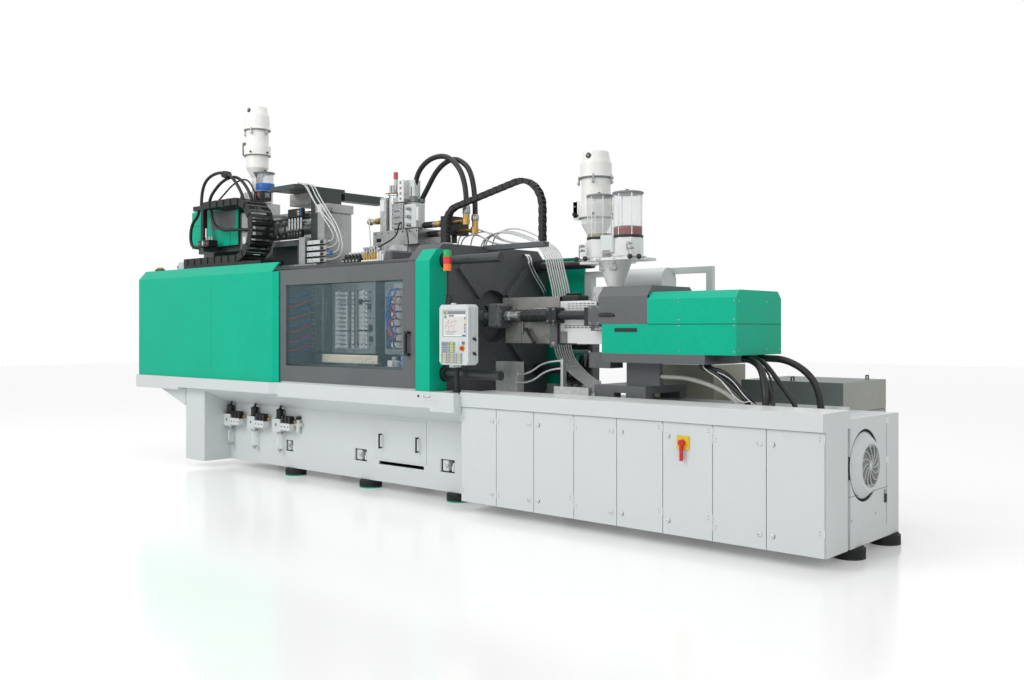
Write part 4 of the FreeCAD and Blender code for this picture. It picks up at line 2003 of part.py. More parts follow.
# ================================================================ hoses and energy chains
# Each hose passes these places, given along, across and up; its corners are rounded.
MARKS = ("start", "second", "third", "fourth", "fifth", "sixth", "seventh", "end")
HOSES = {
    "clamp_one": ((-518, 60, 3120), (-518, 60, 3390), (-290, 60, 3590), (50, 60, 3590),
                  (300, 60, 3300), (300, 60, 3021)),
    "clamp_two": ((-490, 150, 3120), (-490, 150, 3160), (-420, 150, 3245),
                  (-220, 150, 3500), (70, 150, 3585), (343, 150, 3350), (343, 150, 2931)),
    "unit_one": ((-4060, -460, 3318), (-4060, -460, 3545), (-3885, -440, 3715),
                 (-3570, -390, 3735), (-3390, -330, 3540), (-3270, -305, 3280),
                 (-3270, -305, 3180)),
    "unit_two": ((-3960, -405, 3318), (-3960, -405, 3380), (-3895, -395, 3490),
                 (-3715, -350, 3645), (-3460, -310, 3680), (-3250, -285, 3500),
                 (-3150, -270, 3270), (-3150, -270, 3180)),
    "unit_three": ((-3800, -393, 3318), (-3800, -393, 3350), (-3740, -360, 3420),
                   (-3570, -280, 3600), (-3350, -240, 3645), (-3150, -262, 3480),
                   (-3080, -262, 3280), (-3080, -262, 3180)),
    "loop": ((-4110, -470, 3262), (-4110, -470, 3200), (-4270, -490, 3080),
             (-4280, -490, 2800), (-4110, -470, 2780), (-4010, -470, 2780)),
    "sweep": ((-3860, -440, 3262), (-3860, -440, 2990), (-3100, -430, 2955),
              (-3100, -345, 2955)),
    "front": ((3400, -320, 1420), (3400, -320, 1390), (3520, -320, 1365),
              (3740, -320, 1215), (3850, -330, 1110), (3850, -330, 1045)),
    "middle": ((3450, -270, 1420), (3450, -270, 1390), (3590, -290, 1380),
               (3800, -320, 1220), (3885, -345, 1110), (3885, -345, 1045)),
    "cable": ((3700, -160, 1470), (3760, -160, 1470), (3900, -230, 1410),
              (3990, -330, 1220), (4000, -345, 1120), (4000, -345, 1045)),
    "stout": ((3700, -60, 1470), (3760, -60, 1470), (3860, -90, 1440), (4060, -140, 1220),
              (4160, -150, 1110), (4160, -150, 1045)),
    "tall": ((3700, 100, 1470), (3740, 100, 1470), (3960, 100, 1465), (4170, 100, 1340),
             (4250, 100, 1160), (4250, 100, 1045)),
    "ribbed": ((2910, -170, 1300), (3000, -170, 1300), (3200, -178, 1295),
               (3480, -180, 1225), (3700, -180, 1090), (3700, -180, 1045)),
    "high_pipe": ((1420, -360, 1280), (1530, -360, 1280), (1750, -360, 1420),
                  (1960, -360, 1420)),
    "low_pipe": ((1420, -360, 1200), (1560, -360, 1200), (1790, -360, 1350),
                 (1960, -360, 1350)),
    "left_pipe": ((740, 480, 2500), (800, 480, 2500), (800, 500, 2350), (800, 790, 2060),
                  (740, 790, 2060)),
    "right_pipe": ((740, 520, 2500), (800, 520, 2500), (800, 540, 2365), (800, 817, 2086),
                   (740, 817, 2086)),
}
for tag, places in HOSES.items():
    for mark, place_numbers in zip((*MARKS[:len(places) - 1], "end"), places):
        sizes(**{f"{tag}_{mark}_{axis}": number for axis, number in zip("xyz", place_numbers)})
# Light tubes over the fixed platen: where they leave the mould, and the run they share.
TUBE_HEADS = {
    "outer_tube": ((-300, 2220), (-300, 2630), (-160, 2800), (120, 2780), (450, 2605)),
    "inner_tube": ((-120, 2220), (-120, 2620), (-20, 2750), (200, 2740), (450, 2600)),
    "side_tube": ((160, 2200), (160, 2610), (330, 2742), (620, 2745)),
}
TUBE_RUN = ((1000, 2600), (1135, 2500), (1190, 2290), (1270, 2030), (1240, 1490), (1440, 1280),
            (1750, 1120), (1750, 1045))
RUN_MARKS = ("over", "edge", "fall", "drop", "bend", "slope", "floor", "foot")
for tag, places in TUBE_HEADS.items():
    for mark, place_numbers in zip(MARKS, places):
        sizes(**{f"{tag}_{mark}_{axis}": number for axis, number in zip("xz", place_numbers)})
for mark, place_numbers in zip(RUN_MARKS, TUBE_RUN):
    sizes(**{f"run_{mark}_{axis}": number for axis, number in zip("xz", place_numbers)})
sizes(
    bundle_y=353,
    side_tube_count=3,
    run_lean=-0.9,
)
doc.recompute()


def rounded(points, radii=None):
    """Straight runs joined by tangent arcs, as edges. Radii follow the runs when none are given."""
    edges = []
    here = points[0]
    for index in range(1, len(points) - 1):
        corner = points[index]
        back = points[index - 1] - corner
        ahead = points[index + 1] - corner
        turn = math.pi - back.getAngle(ahead)
        if radii is None:
            reach = size("bend_share") * min(back.Length, ahead.Length)
        else:
            reach = radii[index - 1] * math.tan(turn / 2)
        back.normalize()
        ahead.normalize()
        first = corner + back * reach
        last = corner + ahead * reach
        radius = reach / math.tan(turn / 2)
        inward = (back + ahead).normalize()
        middle = corner + inward * (radius / math.cos(turn / 2) - radius)
        if (first - here).Length > 0.001:
            edges.append(Part.LineSegment(here, first).toShape())
        edges.append(Part.Arc(first, middle, last).toShape())
        here = last
    edges.append(Part.LineSegment(here, points[-1]).toShape())
    return edges


def tube(points, radius):
    """A round solid hose along straight runs and arcs."""
    spine = Part.Wire(rounded(points))
    start = Part.Circle(points[0], points[1] - points[0], radius).toShape()
    return spine.makePipeShell([Part.Wire([start])], True, False)


def laid(tag, radius):
    """A hose through its marked places."""
    marks = (*MARKS[:len(HOSES[tag]) - 1], "end")
    return tube([at(*(size(f"{tag}_{mark}_{axis}") for axis in "xyz")) for mark in marks],
                radius)


def make_hoses():
    wide, middle, thin = (size(f"{name}_hose_radius") for name in ("wide", "middle", "thin"))
    clamp = [laid("clamp_one", wide), laid("clamp_two", wide)]
    sub_part("clamp_hoses", feature("ClampHoses", Part.makeCompound(clamp)))
    second = [laid("unit_one", middle), laid("unit_two", middle), laid("unit_three", thin),
              laid("loop", middle), laid("sweep", middle)]
    sub_part("unit_two_hoses", feature("UnitTwoHoses", Part.makeCompound(second)))
    injection = [laid("front", middle), laid("middle", thin), laid("cable", wide),
                 laid("stout", middle), laid("tall", wide), laid("ribbed", middle)]
    sub_part("injection_hoses", feature("InjectionHoses", Part.makeCompound(injection)))

    tubes = [laid(name, thin) for name in ("high_pipe", "low_pipe", "left_pipe", "right_pipe")]
    heads = ["outer_tube", "inner_tube", *["side_tube"] * int(size("side_tube_count"))]
    for index, head in enumerate(heads):
        offset = index * size("tube_bundle_pitch")
        shift = max(index - 2, 0) * size("tube_bundle_pitch")
        y = size("bundle_y") + offset
        points = [(size(f"{head}_{mark}_x") + shift, y, size(f"{head}_{mark}_z") + shift / 2)
                  for mark in MARKS[:len(TUBE_HEADS[head])]]
        if head == "side_tube":
            points[0] = (points[0][0], y, size("tube_block_top"))
        points += [(size(f"run_{mark}_x") - offset * size("run_lean"), y, size(f"run_{mark}_z"))
                   for mark in RUN_MARKS]
        tubes.append(tube([at(*spot) for spot in points], size("tube_bundle_radius")))
    sub_part("grey_tubes", feature("GreyTubes", Part.makeCompound(tubes)))


def walk(edges, pitch):
    """Middles and directions of links at a steady pitch along a route."""
    wire = Part.Wire(edges)
    count = int(round(wire.Length / pitch))
    spots = wire.discretize(Number=count + 1)
    return [((a + b) / 2, b - a) for a, b in zip(spots[:-1], spots[1:])]


def chain_link(middle, along, width, height, wall, narrow):
    """One link in the X-Z plane: two side plates and two cross bars."""
    length = along.Length
    half = width / 2 - (wall if narrow else 0)
    lap = length * size("chain_lap")
    plates = []
    for y in (-half, half - wall):
        plates.append(Part.makeBox(length + 2 * lap, wall, height,
                                   Vector(-length / 2 - lap, y, -height / 2)))
    for z in (-height / 2, height / 2 - wall / 2):
        plates.append(Part.makeBox(length * size("chain_bar_share"), 2 * half - 2 * wall,
                                   wall / 2,
                                   Vector(-length * size("chain_bar_share") / 2,
                                          -half + wall, z)))
    link = plates[0].fuse(plates[1:]).removeSplitter()
    angle = math.degrees(math.atan2(-along.z, along.x))
    link.Placement = Placement(middle, Rotation(Vector(0, 1, 0), angle))
    return link


sizes(
    chain_lap=0.08,
    chain_bar_share=0.4,
)
doc.recompute()


def links(edges, name):
    """All links of one chain, every second one stepped in between its neighbours."""
    made = []
    for index, (middle, along) in enumerate(walk(edges, size(f"{name}_pitch"))):
        made.append(chain_link(middle, along, size(f"{name}_width"), size(f"{name}_height"),
                               size(f"{name}_wall"), index % 2 == 1))
    return made


def chain_end(x, y, z):
    """The solid block that ties a chain's last link to what carries it, bounds in each axis."""
    low, high = (at(*corner) for corner in zip(x, y, z))
    extent = high - low
    return Part.makeBox(extent.x, extent.y, extent.z, low)


def make_clamp_chain():
    """Lower run on the roof, a half turn and an upper run back to the second unit."""
    y = size("chain_y")
    radius = size("chain_turn_radius")
    low = size("chain_floor + chain_height / 2")
    turn_x = size("chain_turn_x")
    runs = [
        Part.LineSegment(at(size("chain_fixed_x"), y, low), at(turn_x, y, low)).toShape(),
        Part.Arc(at(turn_x, y, low), at(turn_x + radius, y, low + radius),
                 at(turn_x, y, low + 2 * radius)).toShape(),
        Part.LineSegment(at(turn_x, y, low + 2 * radius),
                         at(size("chain_moving_x"), y, low + 2 * radius)).toShape(),
    ]
    half = size("chain_width / 2")
    made = links(runs, "chain")
    inner = half - size("chain_wall")
    last_inner = inner - size("chain_wall") * (1 - len(made) % 2)
    tray = chain_end((size("chain_fixed_x"), size("chain_tray_right_x")), (y - half, y + half),
                     (size("ridge_height"), size("chain_floor")))
    fixed = chain_end((size("chain_fixed_x"), size("chain_fixed_x + chain_end_depth")),
                      (y - inner, y + inner),
                      (size("chain_floor"), size("chain_floor + chain_height / 2")))
    moving_low = size("second_bar_low")
    moving = chain_end((size("second_bar_right_x"), size("chain_moving_x + chain_end_depth / 2")),
                       (y - last_inner, y + last_inner),
                       (moving_low, size("second_bar_low + chain_height / 3")))
    sub_part("clamp_energy_chain",
             feature("ClampChain", Part.makeCompound([tray, fixed, moving,
                                                      *made])))


def make_arch_chain():
    """A chain that arches from the cube carriage's bracket over to the fixed platen."""
    y = size("arch_y")
    points = [at(size("arch_left_x"), y, size("arch_left_low")),
              at(size("arch_left_x"), y, size("arch_left_corner")),
              at(size("arch_right_x"), y, size("arch_right_corner")),
              at(size("arch_right_x"), y, size("arch_right_low"))]
    runs = rounded(points, (size("arch_left_radius"), size("arch_right_radius")))
    made = links(runs, "arch")
    depth = size("arch_height / 4")
    ends = []
    for side, low in (("left", size("arch_left_low - chain_foot_gap")),
                      ("right", size("arch_bracket_top"))):
        x = size(f"arch_{side}_x")
        wide = side == "left" or len(made) % 2 == 1
        inner = size("arch_width / 2") - size("arch_wall") * (1 if wide else 2)
        ends.append(chain_end((x - depth, x + depth), (y - inner, y + inner),
                              (low, size(f"arch_{side}_low"))))
    sub_part("arch_energy_chain",
             feature("ArchChain", Part.makeCompound([*ends, *made])))


make_hoses()
make_clamp_chain()
make_arch_chain()

# ================================================================ check and write
doc.recompute()
for thing in doc.Objects:
    if "Invalid" in thing.State or "Error" in thing.State:
        raise RuntimeError(f"{thing.Label} did not compute: {thing.State}")
labels = [thing.Label for thing in sub_parts]
if len(set(labels)) != len(labels):
    raise RuntimeError("two sub-parts share a name")
for thing in sub_parts:
    if thing.Shape.isNull() or not thing.Shape.isValid():
        raise RuntimeError(f"{thing.Label} has no valid shape")
whole = FreeCAD.BoundBox()
for thing in sub_parts:
    whole.add(thing.Shape.BoundBox)
    thing.Shape.exportStep(os.path.join("parts", thing.Label + ".step"))
print(f"{len(sub_parts)} sub-parts, {whole}")
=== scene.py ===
"""Injection moulding machine: finishes, hoses, small fittings, light and camera.

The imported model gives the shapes. This script gives every node a procedural finish, swaps the
plain hoses for smooth ones with their fittings, and adds the small parts that the photograph shows.
The frame is in metres: X along the machine, Y across it, Z up. Routes and fittings are given in
millimetres, with Y measured from the mould axis.
"""
import logging
import math
from dataclasses import dataclass, field
from enum import Enum
from typing import Sequence

import bmesh
import bpy
import numpy as np
from mathutils import Euler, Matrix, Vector


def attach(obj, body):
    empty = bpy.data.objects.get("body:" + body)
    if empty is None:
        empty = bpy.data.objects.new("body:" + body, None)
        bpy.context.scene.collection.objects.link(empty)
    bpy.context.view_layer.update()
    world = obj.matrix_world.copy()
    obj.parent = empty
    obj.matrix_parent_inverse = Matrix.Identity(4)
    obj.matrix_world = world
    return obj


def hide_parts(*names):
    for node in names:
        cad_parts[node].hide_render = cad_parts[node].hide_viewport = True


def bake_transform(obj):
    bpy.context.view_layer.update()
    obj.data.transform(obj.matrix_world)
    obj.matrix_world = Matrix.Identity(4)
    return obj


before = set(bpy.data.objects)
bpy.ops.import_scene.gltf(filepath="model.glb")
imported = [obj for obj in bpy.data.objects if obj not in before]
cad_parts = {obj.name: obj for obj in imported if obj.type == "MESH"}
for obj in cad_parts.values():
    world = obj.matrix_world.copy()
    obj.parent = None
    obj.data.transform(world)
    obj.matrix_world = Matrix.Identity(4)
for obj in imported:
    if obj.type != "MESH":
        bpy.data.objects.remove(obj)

logging.basicConfig(level=logging.INFO, format="%(levelname)s %(message)s")
LOG = logging.getLogger("moulding_machine")

Point = tuple[float, float, float]
Tree = bpy.types.NodeTree
Socket = bpy.types.NodeSocket

AXIS_Y = -0.210          # the mould axis in the frame
MILLI = 0.001


def on_axis(spots: Sequence[Point]) -> tuple[Point, ...]:
    """Turn places in millimetres, with Y from the mould axis, into the frame's metres."""
    return tuple((x * MILLI, y * MILLI + AXIS_Y, z * MILLI) for x, y, z in spots)


def put(name: str, data: bpy.types.ID) -> bpy.types.Object:
    """Put a new object with this data into the scene.

    Args:
        name: The object's name.
        data: Its mesh, curve, light or camera.

    Returns:
        The object.
    """
    made = bpy.data.objects.new(name, data)
    bpy.context.scene.collection.objects.link(made)
    return made


# ---------------------------------------------------------------- finishes
def linear(code: str) -> tuple[float, float, float, float]:
    """Turn an sRGB hex colour into the linear colour that shaders use.

    Args:
        code: Six hex digits with a leading hash.

    Returns:
        Linear red, green, blue and an alpha of 1.
    """
    channels = (int(code[i:i + 2], 16) / 255 for i in (1, 3, 5))
    red, green, blue = (
        c / 12.92 if c <= 0.04045 else ((c + 0.055) / 1.055) ** 2.4 for c in channels)
    return (red, green, blue, 1.0)


class Relief(Enum):
    """The fine surface a finish has."""

    SMOOTH = "smooth"
    SPRAYED = "sprayed"
    BRUSHED = "brushed"
    CAST = "cast"
    RIBBED = "ribbed"
    GRAINED = "grained"
    BRAIDED = "braided"
    PELLETS = "pellets"


@dataclass(frozen=True)
class Grain:
    """An even noise bump: grains in a metre, its octaves, its strength and its depth in metres."""

    per_metre: float
    octaves: float
    strength: float
    depth: float


GRAINS = {
    Relief.SMOOTH: Grain(40.0, 2.0, 0.03, 0.0006),     # 25 mm waves of a flat sheet
    Relief.SPRAYED: Grain(140.0, 2.0, 0.10, 0.0012),   # orange peel, drawn coarse at 7 mm to show
    Relief.CAST: Grain(75.0, 6.0, 0.35, 0.0025),       # sand-cast skin, 13 mm with finer octaves
    Relief.GRAINED: Grain(420.0, 2.0, 0.12, 0.0008),   # moulded grain, drawn coarse at 2.4 mm
    Relief.BRAIDED: Grain(260.0, 3.0, 0.2, 0.0008),    # cloth print of a hose, 4 mm
}
BRUSH = Grain(9.0, 4.0, 0.12, 0.0010)     # 110 mm strokes
BRUSH_STRETCH = (2.0, 60.0, 60.0)         # a stroke is thirty times as long as it is wide
RIBS_PER_METRE = 22.0                     # shading rings of the corrugated hose, drawn coarse
PELLETS_PER_METRE = 160.0                 # pellets of 6 mm, twice the real size, to show
EDGE_RADIUS = 0.006                         # width of a rounded edge and of its painted highlight, in metres
EDGE_STARTS, EDGE_FULL = 0.98, 0.86       # cosines of the two normals' angle, 11 and 31 degrees
CLOUDS = ((1.7, 4.0), (23.0, 5.0))        # per metre, octaves: broad at 0.6 m and fine at 43 mm


@dataclass(frozen=True)
class Finish:
    """One real material as it looks on this machine."""

    name: str
    colour: str
    roughness: float = 0.45
    metallic: float = 0.0
    relief: Relief = Relief.SMOOTH
    variation: float = 0.06
    coat: float = 0.0
    ior: float = 1.45
    alpha: float = 1.0
    glow: float = 0.0
    gloss: float = 0.5
    edge: float = 0.0


FINISH_LIST = (
    # Powder-coated sheet steel: even satin colour, faint orange peel, painted highlights on edges.
    Finish("green_paint", "#00B491", 0.42, relief=Relief.SPRAYED, edge=0.35, gloss=0.2,
           variation=0.035),
    Finish("dark_grey_paint", "#5E6264", 0.5, relief=Relief.SPRAYED, coat=0.1, edge=0.4),
    Finish("light_grey_paint", "#D3D9D9", 0.42, relief=Relief.SPRAYED, coat=0.2, edge=0.2,
           variation=0.008),
    Finish("white_paint", "#E6E8E7", 0.4, relief=Relief.SPRAYED, coat=0.2, variation=0.02),
    Finish("tank_paint", "#69726F", 0.5, relief=Relief.SPRAYED, coat=0.1, edge=0.3),
    Finish("tank_end_paint", "#A0A29B", 0.5, relief=Relief.SPRAYED, coat=0.1, edge=0.3),
    Finish("cylinder_black", "#2B2D2F", 0.4, 0.3, Relief.SPRAYED, 0.1, edge=0.3),
    Finish("beige_paint", "#B9B5A6", 0.5, relief=Relief.SPRAYED, edge=0.3),
    Finish("motor_paint", "#3C4546", 0.5, relief=Relief.SPRAYED, edge=0.4),
    Finish("yellow_paint", "#E8C21A", 0.4, coat=0.2, relief=Relief.SPRAYED),
    # Sand-cast iron under thin grey paint: lumpy and dull, with painted highlights on its edges.
    Finish("cast_iron", "#5B5F61", 0.5, 0.25, Relief.CAST, 0.12, edge=0.9),
    # Milled, ground and rolled metals: long soft streaks of light along the grain.
    Finish("machined_steel", "#A9ABAB", 0.32, 0.9, Relief.BRUSHED, 0.10, edge=0.3),
    Finish("mould_steel", "#7F8788", 0.4, 0.6, Relief.BRUSHED, 0.14, edge=0.3),
    Finish("tie_bar_sleeve", "#46494B", 0.35, 0.5, Relief.BRUSHED, 0.08),
    Finish("tie_bar_chrome", "#D3D6D8", 0.12, 1.0, Relief.BRUSHED, 0.04),
    Finish("stainless_sheet", "#9C9896", 0.38, 0.75, Relief.BRUSHED, 0.07, edge=0.3),
    Finish("brass", "#B9985A", 0.34, 0.9, Relief.BRUSHED, 0.12),
    # Galvanised steel and sintered block: cloudy, with fine specks.
    Finish("zinc_steel", "#B7B9B8", 0.4, 0.8, Relief.CAST, 0.14, edge=0.3),
    Finish("speckled_block", "#C3C4C0", 0.55, 0.2, Relief.GRAINED, 0.3),
    # Moulded ABS and nylon: one colour, a fine grain and a soft highlight.
    Finish("cream_plastic", "#F4F4F0", 0.38, relief=Relief.GRAINED, variation=0.03, coat=0.2),
    Finish("canopy_plastic", "#3A4440", 0.42, relief=Relief.GRAINED, variation=0.08),
    Finish("black_plastic", "#1B1C1E", 0.48, relief=Relief.GRAINED, variation=0.15),
    Finish("grey_plastic", "#7C8081", 0.45, relief=Relief.GRAINED, variation=0.08),
    Finish("blue_plastic", "#1C63B4", 0.4, relief=Relief.GRAINED, variation=0.08),
    Finish("red_plastic", "#C9161D", 0.35, relief=Relief.GRAINED, variation=0.05, coat=0.3),
    Finish("pink_knob", "#B4566A", 0.4, relief=Relief.GRAINED, variation=0.05),
    Finish("cream_tray", "#E9E1C8", 0.5, relief=Relief.GRAINED),
    # Clear acrylic and polycarbonate: mostly seen through, with sharp reflections.
    Finish("window_plastic", "#8DB2BA", 0.08, alpha=0.09, ior=1.49),
    Finish("clear_plastic", "#E6ECEE", 0.1, alpha=0.13, ior=1.49),
    Finish("cup_shell", "#E8EEF0", 0.1, alpha=0.35, ior=1.49),
    # Plastic pellets: heaped grains, with painted shade between them and a painted highlight on each.
    Finish("yellow_pellets", "#E3D6A0", 0.55, relief=Relief.PELLETS, variation=0.2),
    Finish("brown_pellets", "#B33A2C", 0.55, relief=Relief.PELLETS, variation=0.2),
    # Rubber, silicone and polyurethane, extruded: matt black, or milky and smooth.
    Finish("foot_rubber", "#101516", 0.7, relief=Relief.GRAINED, variation=0.15),
    Finish("rubber_hose", "#17181A", 0.42, relief=Relief.BRAIDED, variation=0.2),
    Finish("silicone_tube", "#D9DCDB", 0.3, variation=0.05, coat=0.3),
    Finish("pale_ribbed", "#C9CBC6", 0.4, relief=Relief.RIBBED, variation=0.08),
    Finish("clear_hose", "#DDE2E1", 0.18, alpha=0.72, coat=0.4, variation=0.04),
    Finish("blue_hose", "#1D56AA", 0.35, variation=0.06),
    Finish("red_hose", "#B32329", 0.35, variation=0.06),
    # Screen glass: dark or lit, under a hard gloss.
    Finish("screen_glass", "#20303A", 0.12, coat=0.6, variation=0.02),
    Finish("screen_pale", "#C9C8C6", 0.2, glow=0.2, variation=0.01),
    Finish("screen_dark", "#16191B", 0.15, coat=0.5, variation=0.02),
    # Painted shade in holes and slots, dark seams, lit lamps, and insert rims with a painted glow.
    # Flat near-black: painted shade inside holes, slots and gaps, and the colour of dark seams.
    Finish("dark_inside", "#0C0D0E", 0.9),
    Finish("lamp_white", "#FFFFFF", 0.4, glow=7.0),
    # A painted highlight: the white insert rims glow a little, though they are no lamp.
    Finish("insert_ring", "#F4F7F7", 0.3, glow=0.22, variation=0.01),
    # The panel's membrane.
    Finish("key_bed", "#9AA2A5", 0.5, variation=0.02),
    Finish("key_blue", "#2B5CA6", 0.4, variation=0.02),
)
# Moulded key caps: flat satin colours.
KEY_COLOURS = {"key_grey": "#7F898F", "key_slate": "#8C9CA8", "key_pale": "#EDEEE8",
               "key_green": "#5FA565", "key_yellow": "#E4D67E", "key_rose": "#D9B29C",
               "key_straw": "#DDD9A6", "key_red": "#C4483C"}
# Tinted lamp domes: saturated and glossy, with a faint glow.
LAMP_COLOURS = {"lamp_orange": "#F07A1E", "lamp_red": "#D8231F", "lamp_green": "#1FA35A"}
FINISHES = {finish.name: finish for finish in (
    *FINISH_LIST,
    *(Finish(name, code, 0.45, variation=0.02) for name, code in KEY_COLOURS.items()),
    *(Finish(name, code, 0.25, coat=0.5, glow=0.1) for name, code in LAMP_COLOURS.items()))}


# ---------------------------------------------------------------- shader nodes
def add_node(tree: Tree, kind: str, inputs: dict | None = None,
             **settings: object) -> bpy.types.Node:
    """Add one shader node, set it up and wire its inputs.

    Args:
        tree: The tree that gets the node.
        kind: The node's type without its ShaderNode prefix.
        inputs: Socket name or index to a number, a colour or another node's output.
        **settings: Attributes of the node itself.

    Returns:
        The new node.
    """
    made = tree.nodes.new("ShaderNode" + kind)
    for name, value in settings.items():
        setattr(made, name, value)
    for socket, value in (inputs or {}).items():
        if isinstance(value, Socket):
            tree.links.new(value, made.inputs[socket])
        else:
            made.inputs[socket].default_value = value
    return made


def height_of(tree: Tree, where: Socket, relief: Relief) -> tuple[Socket, float, float]:
    """Draw one relief's height.

    Args:
        tree: The material's node tree.
        where: The object's own coordinates.
        relief: The fine surface to draw.

    Returns:
        The height, the bump's strength and its depth in metres.
    """
    if relief is Relief.RIBBED:
        wave = add_node(
            tree, "TexWave", {"Vector": where, "Scale": RIBS_PER_METRE, "Distortion": 0.0})
        return wave.outputs[1], 0.5, 0.004
    if relief is Relief.PELLETS:
        cells = add_node(tree, "TexVoronoi", {"Vector": where, "Scale": PELLETS_PER_METRE})
        return cells.outputs["Distance"], 0.6, 0.003
    grain = GRAINS.get(relief, BRUSH)
    if relief is Relief.BRUSHED:
        where = add_node(tree, "Mapping", {"Vector": where, "Scale": BRUSH_STRETCH}).outputs[0]
    height = add_node(
        tree, "TexNoise", {"Vector": where, "Scale": grain.per_metre, "Detail": grain.octaves})
    return height.outputs[0], grain.strength, grain.depth


def painted_edge_highlights(tree: Tree, colour: Socket, base: Sequence[float],
               edge: float) -> tuple[Socket, Socket]:
    """Paint a highlight along the edges: lighten a colour where a rounded normal leans away from the
    flat one.

    Args:
        tree: The material's node tree.
        colour: The colour away from the edges.
        base: The finish's own colour.
        edge: How much of the painted highlight an edge takes.

    Returns:
        The colour and the rounded normal.
    """
    rounded = add_node(tree, "Bevel", {"Radius": EDGE_RADIUS}, samples=3).outputs[0]
    flat = add_node(tree, "NewGeometry").outputs["Normal"]
    lean = add_node(tree, "VectorMath", {0: rounded, 1: flat}, operation="DOT_PRODUCT")
    highlight_share = add_node(tree, "MapRange", {
        "Value": lean.outputs["Value"], "From Min": EDGE_STARTS, "From Max": EDGE_FULL,
        "To Min": 0.0, "To Max": edge})
    # The painted highlight: a paler copy of the finish's own colour.
    pale = tuple(min(1.0, c * 1.7 + 0.05) for c in base[:3]) + (1.0,)
    blend = add_node(tree, "Mix", {0: highlight_share.outputs[0], 6: colour, 7: pale}, data_type="RGBA")
    return blend.outputs[2], rounded


def shaded(tree: Tree, finish: Finish, where: Socket) -> Socket:
    """Build one finish's shader.

    Args:
        tree: The material's node tree.
        finish: What the surface is made of.
        where: The object's own coordinates.

    Returns:
        The shader output.
    """
    base = linear(finish.colour)
    broad, fine = (
        add_node(tree, "TexNoise", {"Vector": where, "Scale": scale, "Detail": detail}).outputs[0]
        for scale, detail in CLOUDS)
    mixed = add_node(tree, "Math", {0: broad, 1: fine}, operation="MULTIPLY")
    spread = add_node(tree, "MapRange", {
        "Value": mixed.outputs[0], "From Min": 0.12, "From Max": 0.42,
        "To Min": 1.0 - 2.0 * finish.variation, "To Max": 1.0 + finish.variation})
    colour = add_node(
        tree, "VectorMath", {0: base[:3], "Scale": spread.outputs[0]}, operation="SCALE").outputs[0]
    # Painted shade between the pellets and a slight painted highlight in their middles.
    if finish.relief is Relief.PELLETS:
        cells = add_node(tree, "TexVoronoi", {"Vector": where, "Scale": PELLETS_PER_METRE})
        pellet_shade = add_node(
            tree, "MapRange",
            {"Value": cells.outputs["Distance"], "From Max": 0.6, "To Min": 1.1, "To Max": 0.45})
        colour = add_node(tree, "VectorMath", {0: colour, "Scale": pellet_shade.outputs[0]},
                          operation="SCALE").outputs[0]
    height, strength, depth = height_of(tree, where, finish.relief)
    bump_in = {"Height": height, "Strength": strength, "Distance": depth}
    # Painted highlights along the edges, for the finishes that have them.
    if finish.edge > 0:
        colour, bump_in["Normal"] = painted_edge_highlights(tree, colour, base, finish.edge)
    bump = add_node(tree, "Bump", bump_in)
    rough = add_node(tree, "MapRange", {
        "Value": fine, "From Min": 0.3, "From Max": 0.7,
        "To Min": max(finish.roughness - 0.06, 0.02), "To Max": min(finish.roughness + 0.08, 1.0)})
    surface = add_node(tree, "BsdfPrincipled", {
        "Base Color": colour, "Roughness": rough.outputs[0], "Metallic": finish.metallic,
        "Normal": bump.outputs[0], "Coat Weight": finish.coat, "Coat Roughness": 0.18,
        "Alpha": finish.alpha, "IOR": finish.ior, "Specular IOR Level": finish.gloss})
    if finish.glow:
        surface.inputs["Emission Color"].default_value = base
        surface.inputs["Emission Strength"].default_value = finish.glow
    return surface.outputs[0]


EVERYWHERE = (-9.0, 9.0)


@dataclass(frozen=True)
class Zone:
    """A box of the object's own space where a node has another finish."""

    finish: str
    x: tuple[float, float] = EVERYWHERE
    y: tuple[float, float] = EVERYWHERE
    z: tuple[float, float] = EVERYWHERE

    def mask(self, tree: Tree, axes: Sequence[Socket]) -> Socket | None:
        """Mark the zone's box.

        Args:
            tree: The material's node tree.
            axes: The object's X, Y and Z.

        Returns:
            1 inside the box and 0 outside it.
        """
        result = None
        for socket, (low, high) in zip(axes, (self.x, self.y, self.z)):
            if (low, high) == EVERYWHERE:
                continue
            inside = add_node(tree, "Math", {0: socket, 1: (low + high) / 2, 2: (high - low) / 2},
                              operation="COMPARE").outputs[0]
            result = inside if result is None else add_node(
                tree, "Math", {0: result, 1: inside}, operation="MULTIPLY").outputs[0]
        return result


class Palette:
    """Makes each material once and hands it out by name."""

    def __init__(self) -> None:
        """Start with no materials."""
        self._made: dict[tuple, bpy.types.Material] = {}

    def material(self, finish: str, zones: Sequence[Zone] = ()) -> bpy.types.Material:
        """Give the material for a finish, with other finishes inside zones.

        Args:
            finish: The main finish's name.
            zones: Boxes with other finishes. Later ones lie over earlier ones.

        Returns:
            The material.
        """
        key = (finish, tuple(zones))
        if key in self._made:
            return self._made[key]
        name = finish if not zones else f"{finish}_zoned_{len(self._made)}"
        made = bpy.data.materials.new(name)
        made.use_nodes = True
        tree = made.node_tree
        tree.nodes.clear()
        where = add_node(tree, "TexCoord").outputs["Object"]
        surface = shaded(tree, FINISHES[finish], where)
        if zones:
            axes = add_node(tree, "SeparateXYZ", {0: where}).outputs
            built = {name: shaded(tree, FINISHES[name], where)
                     for name in dict.fromkeys(zone.finish for zone in zones)}
            for zone in zones:
                surface = add_node(tree, "MixShader", {
                    0: zone.mask(tree, axes), 1: surface, 2: built[zone.finish]}).outputs[0]
        add_node(tree, "OutputMaterial", {"Surface": surface})
        made.diffuse_color = linear(FINISHES[finish].colour)
        self._made[key] = made
        return made


PALETTE = Palette()


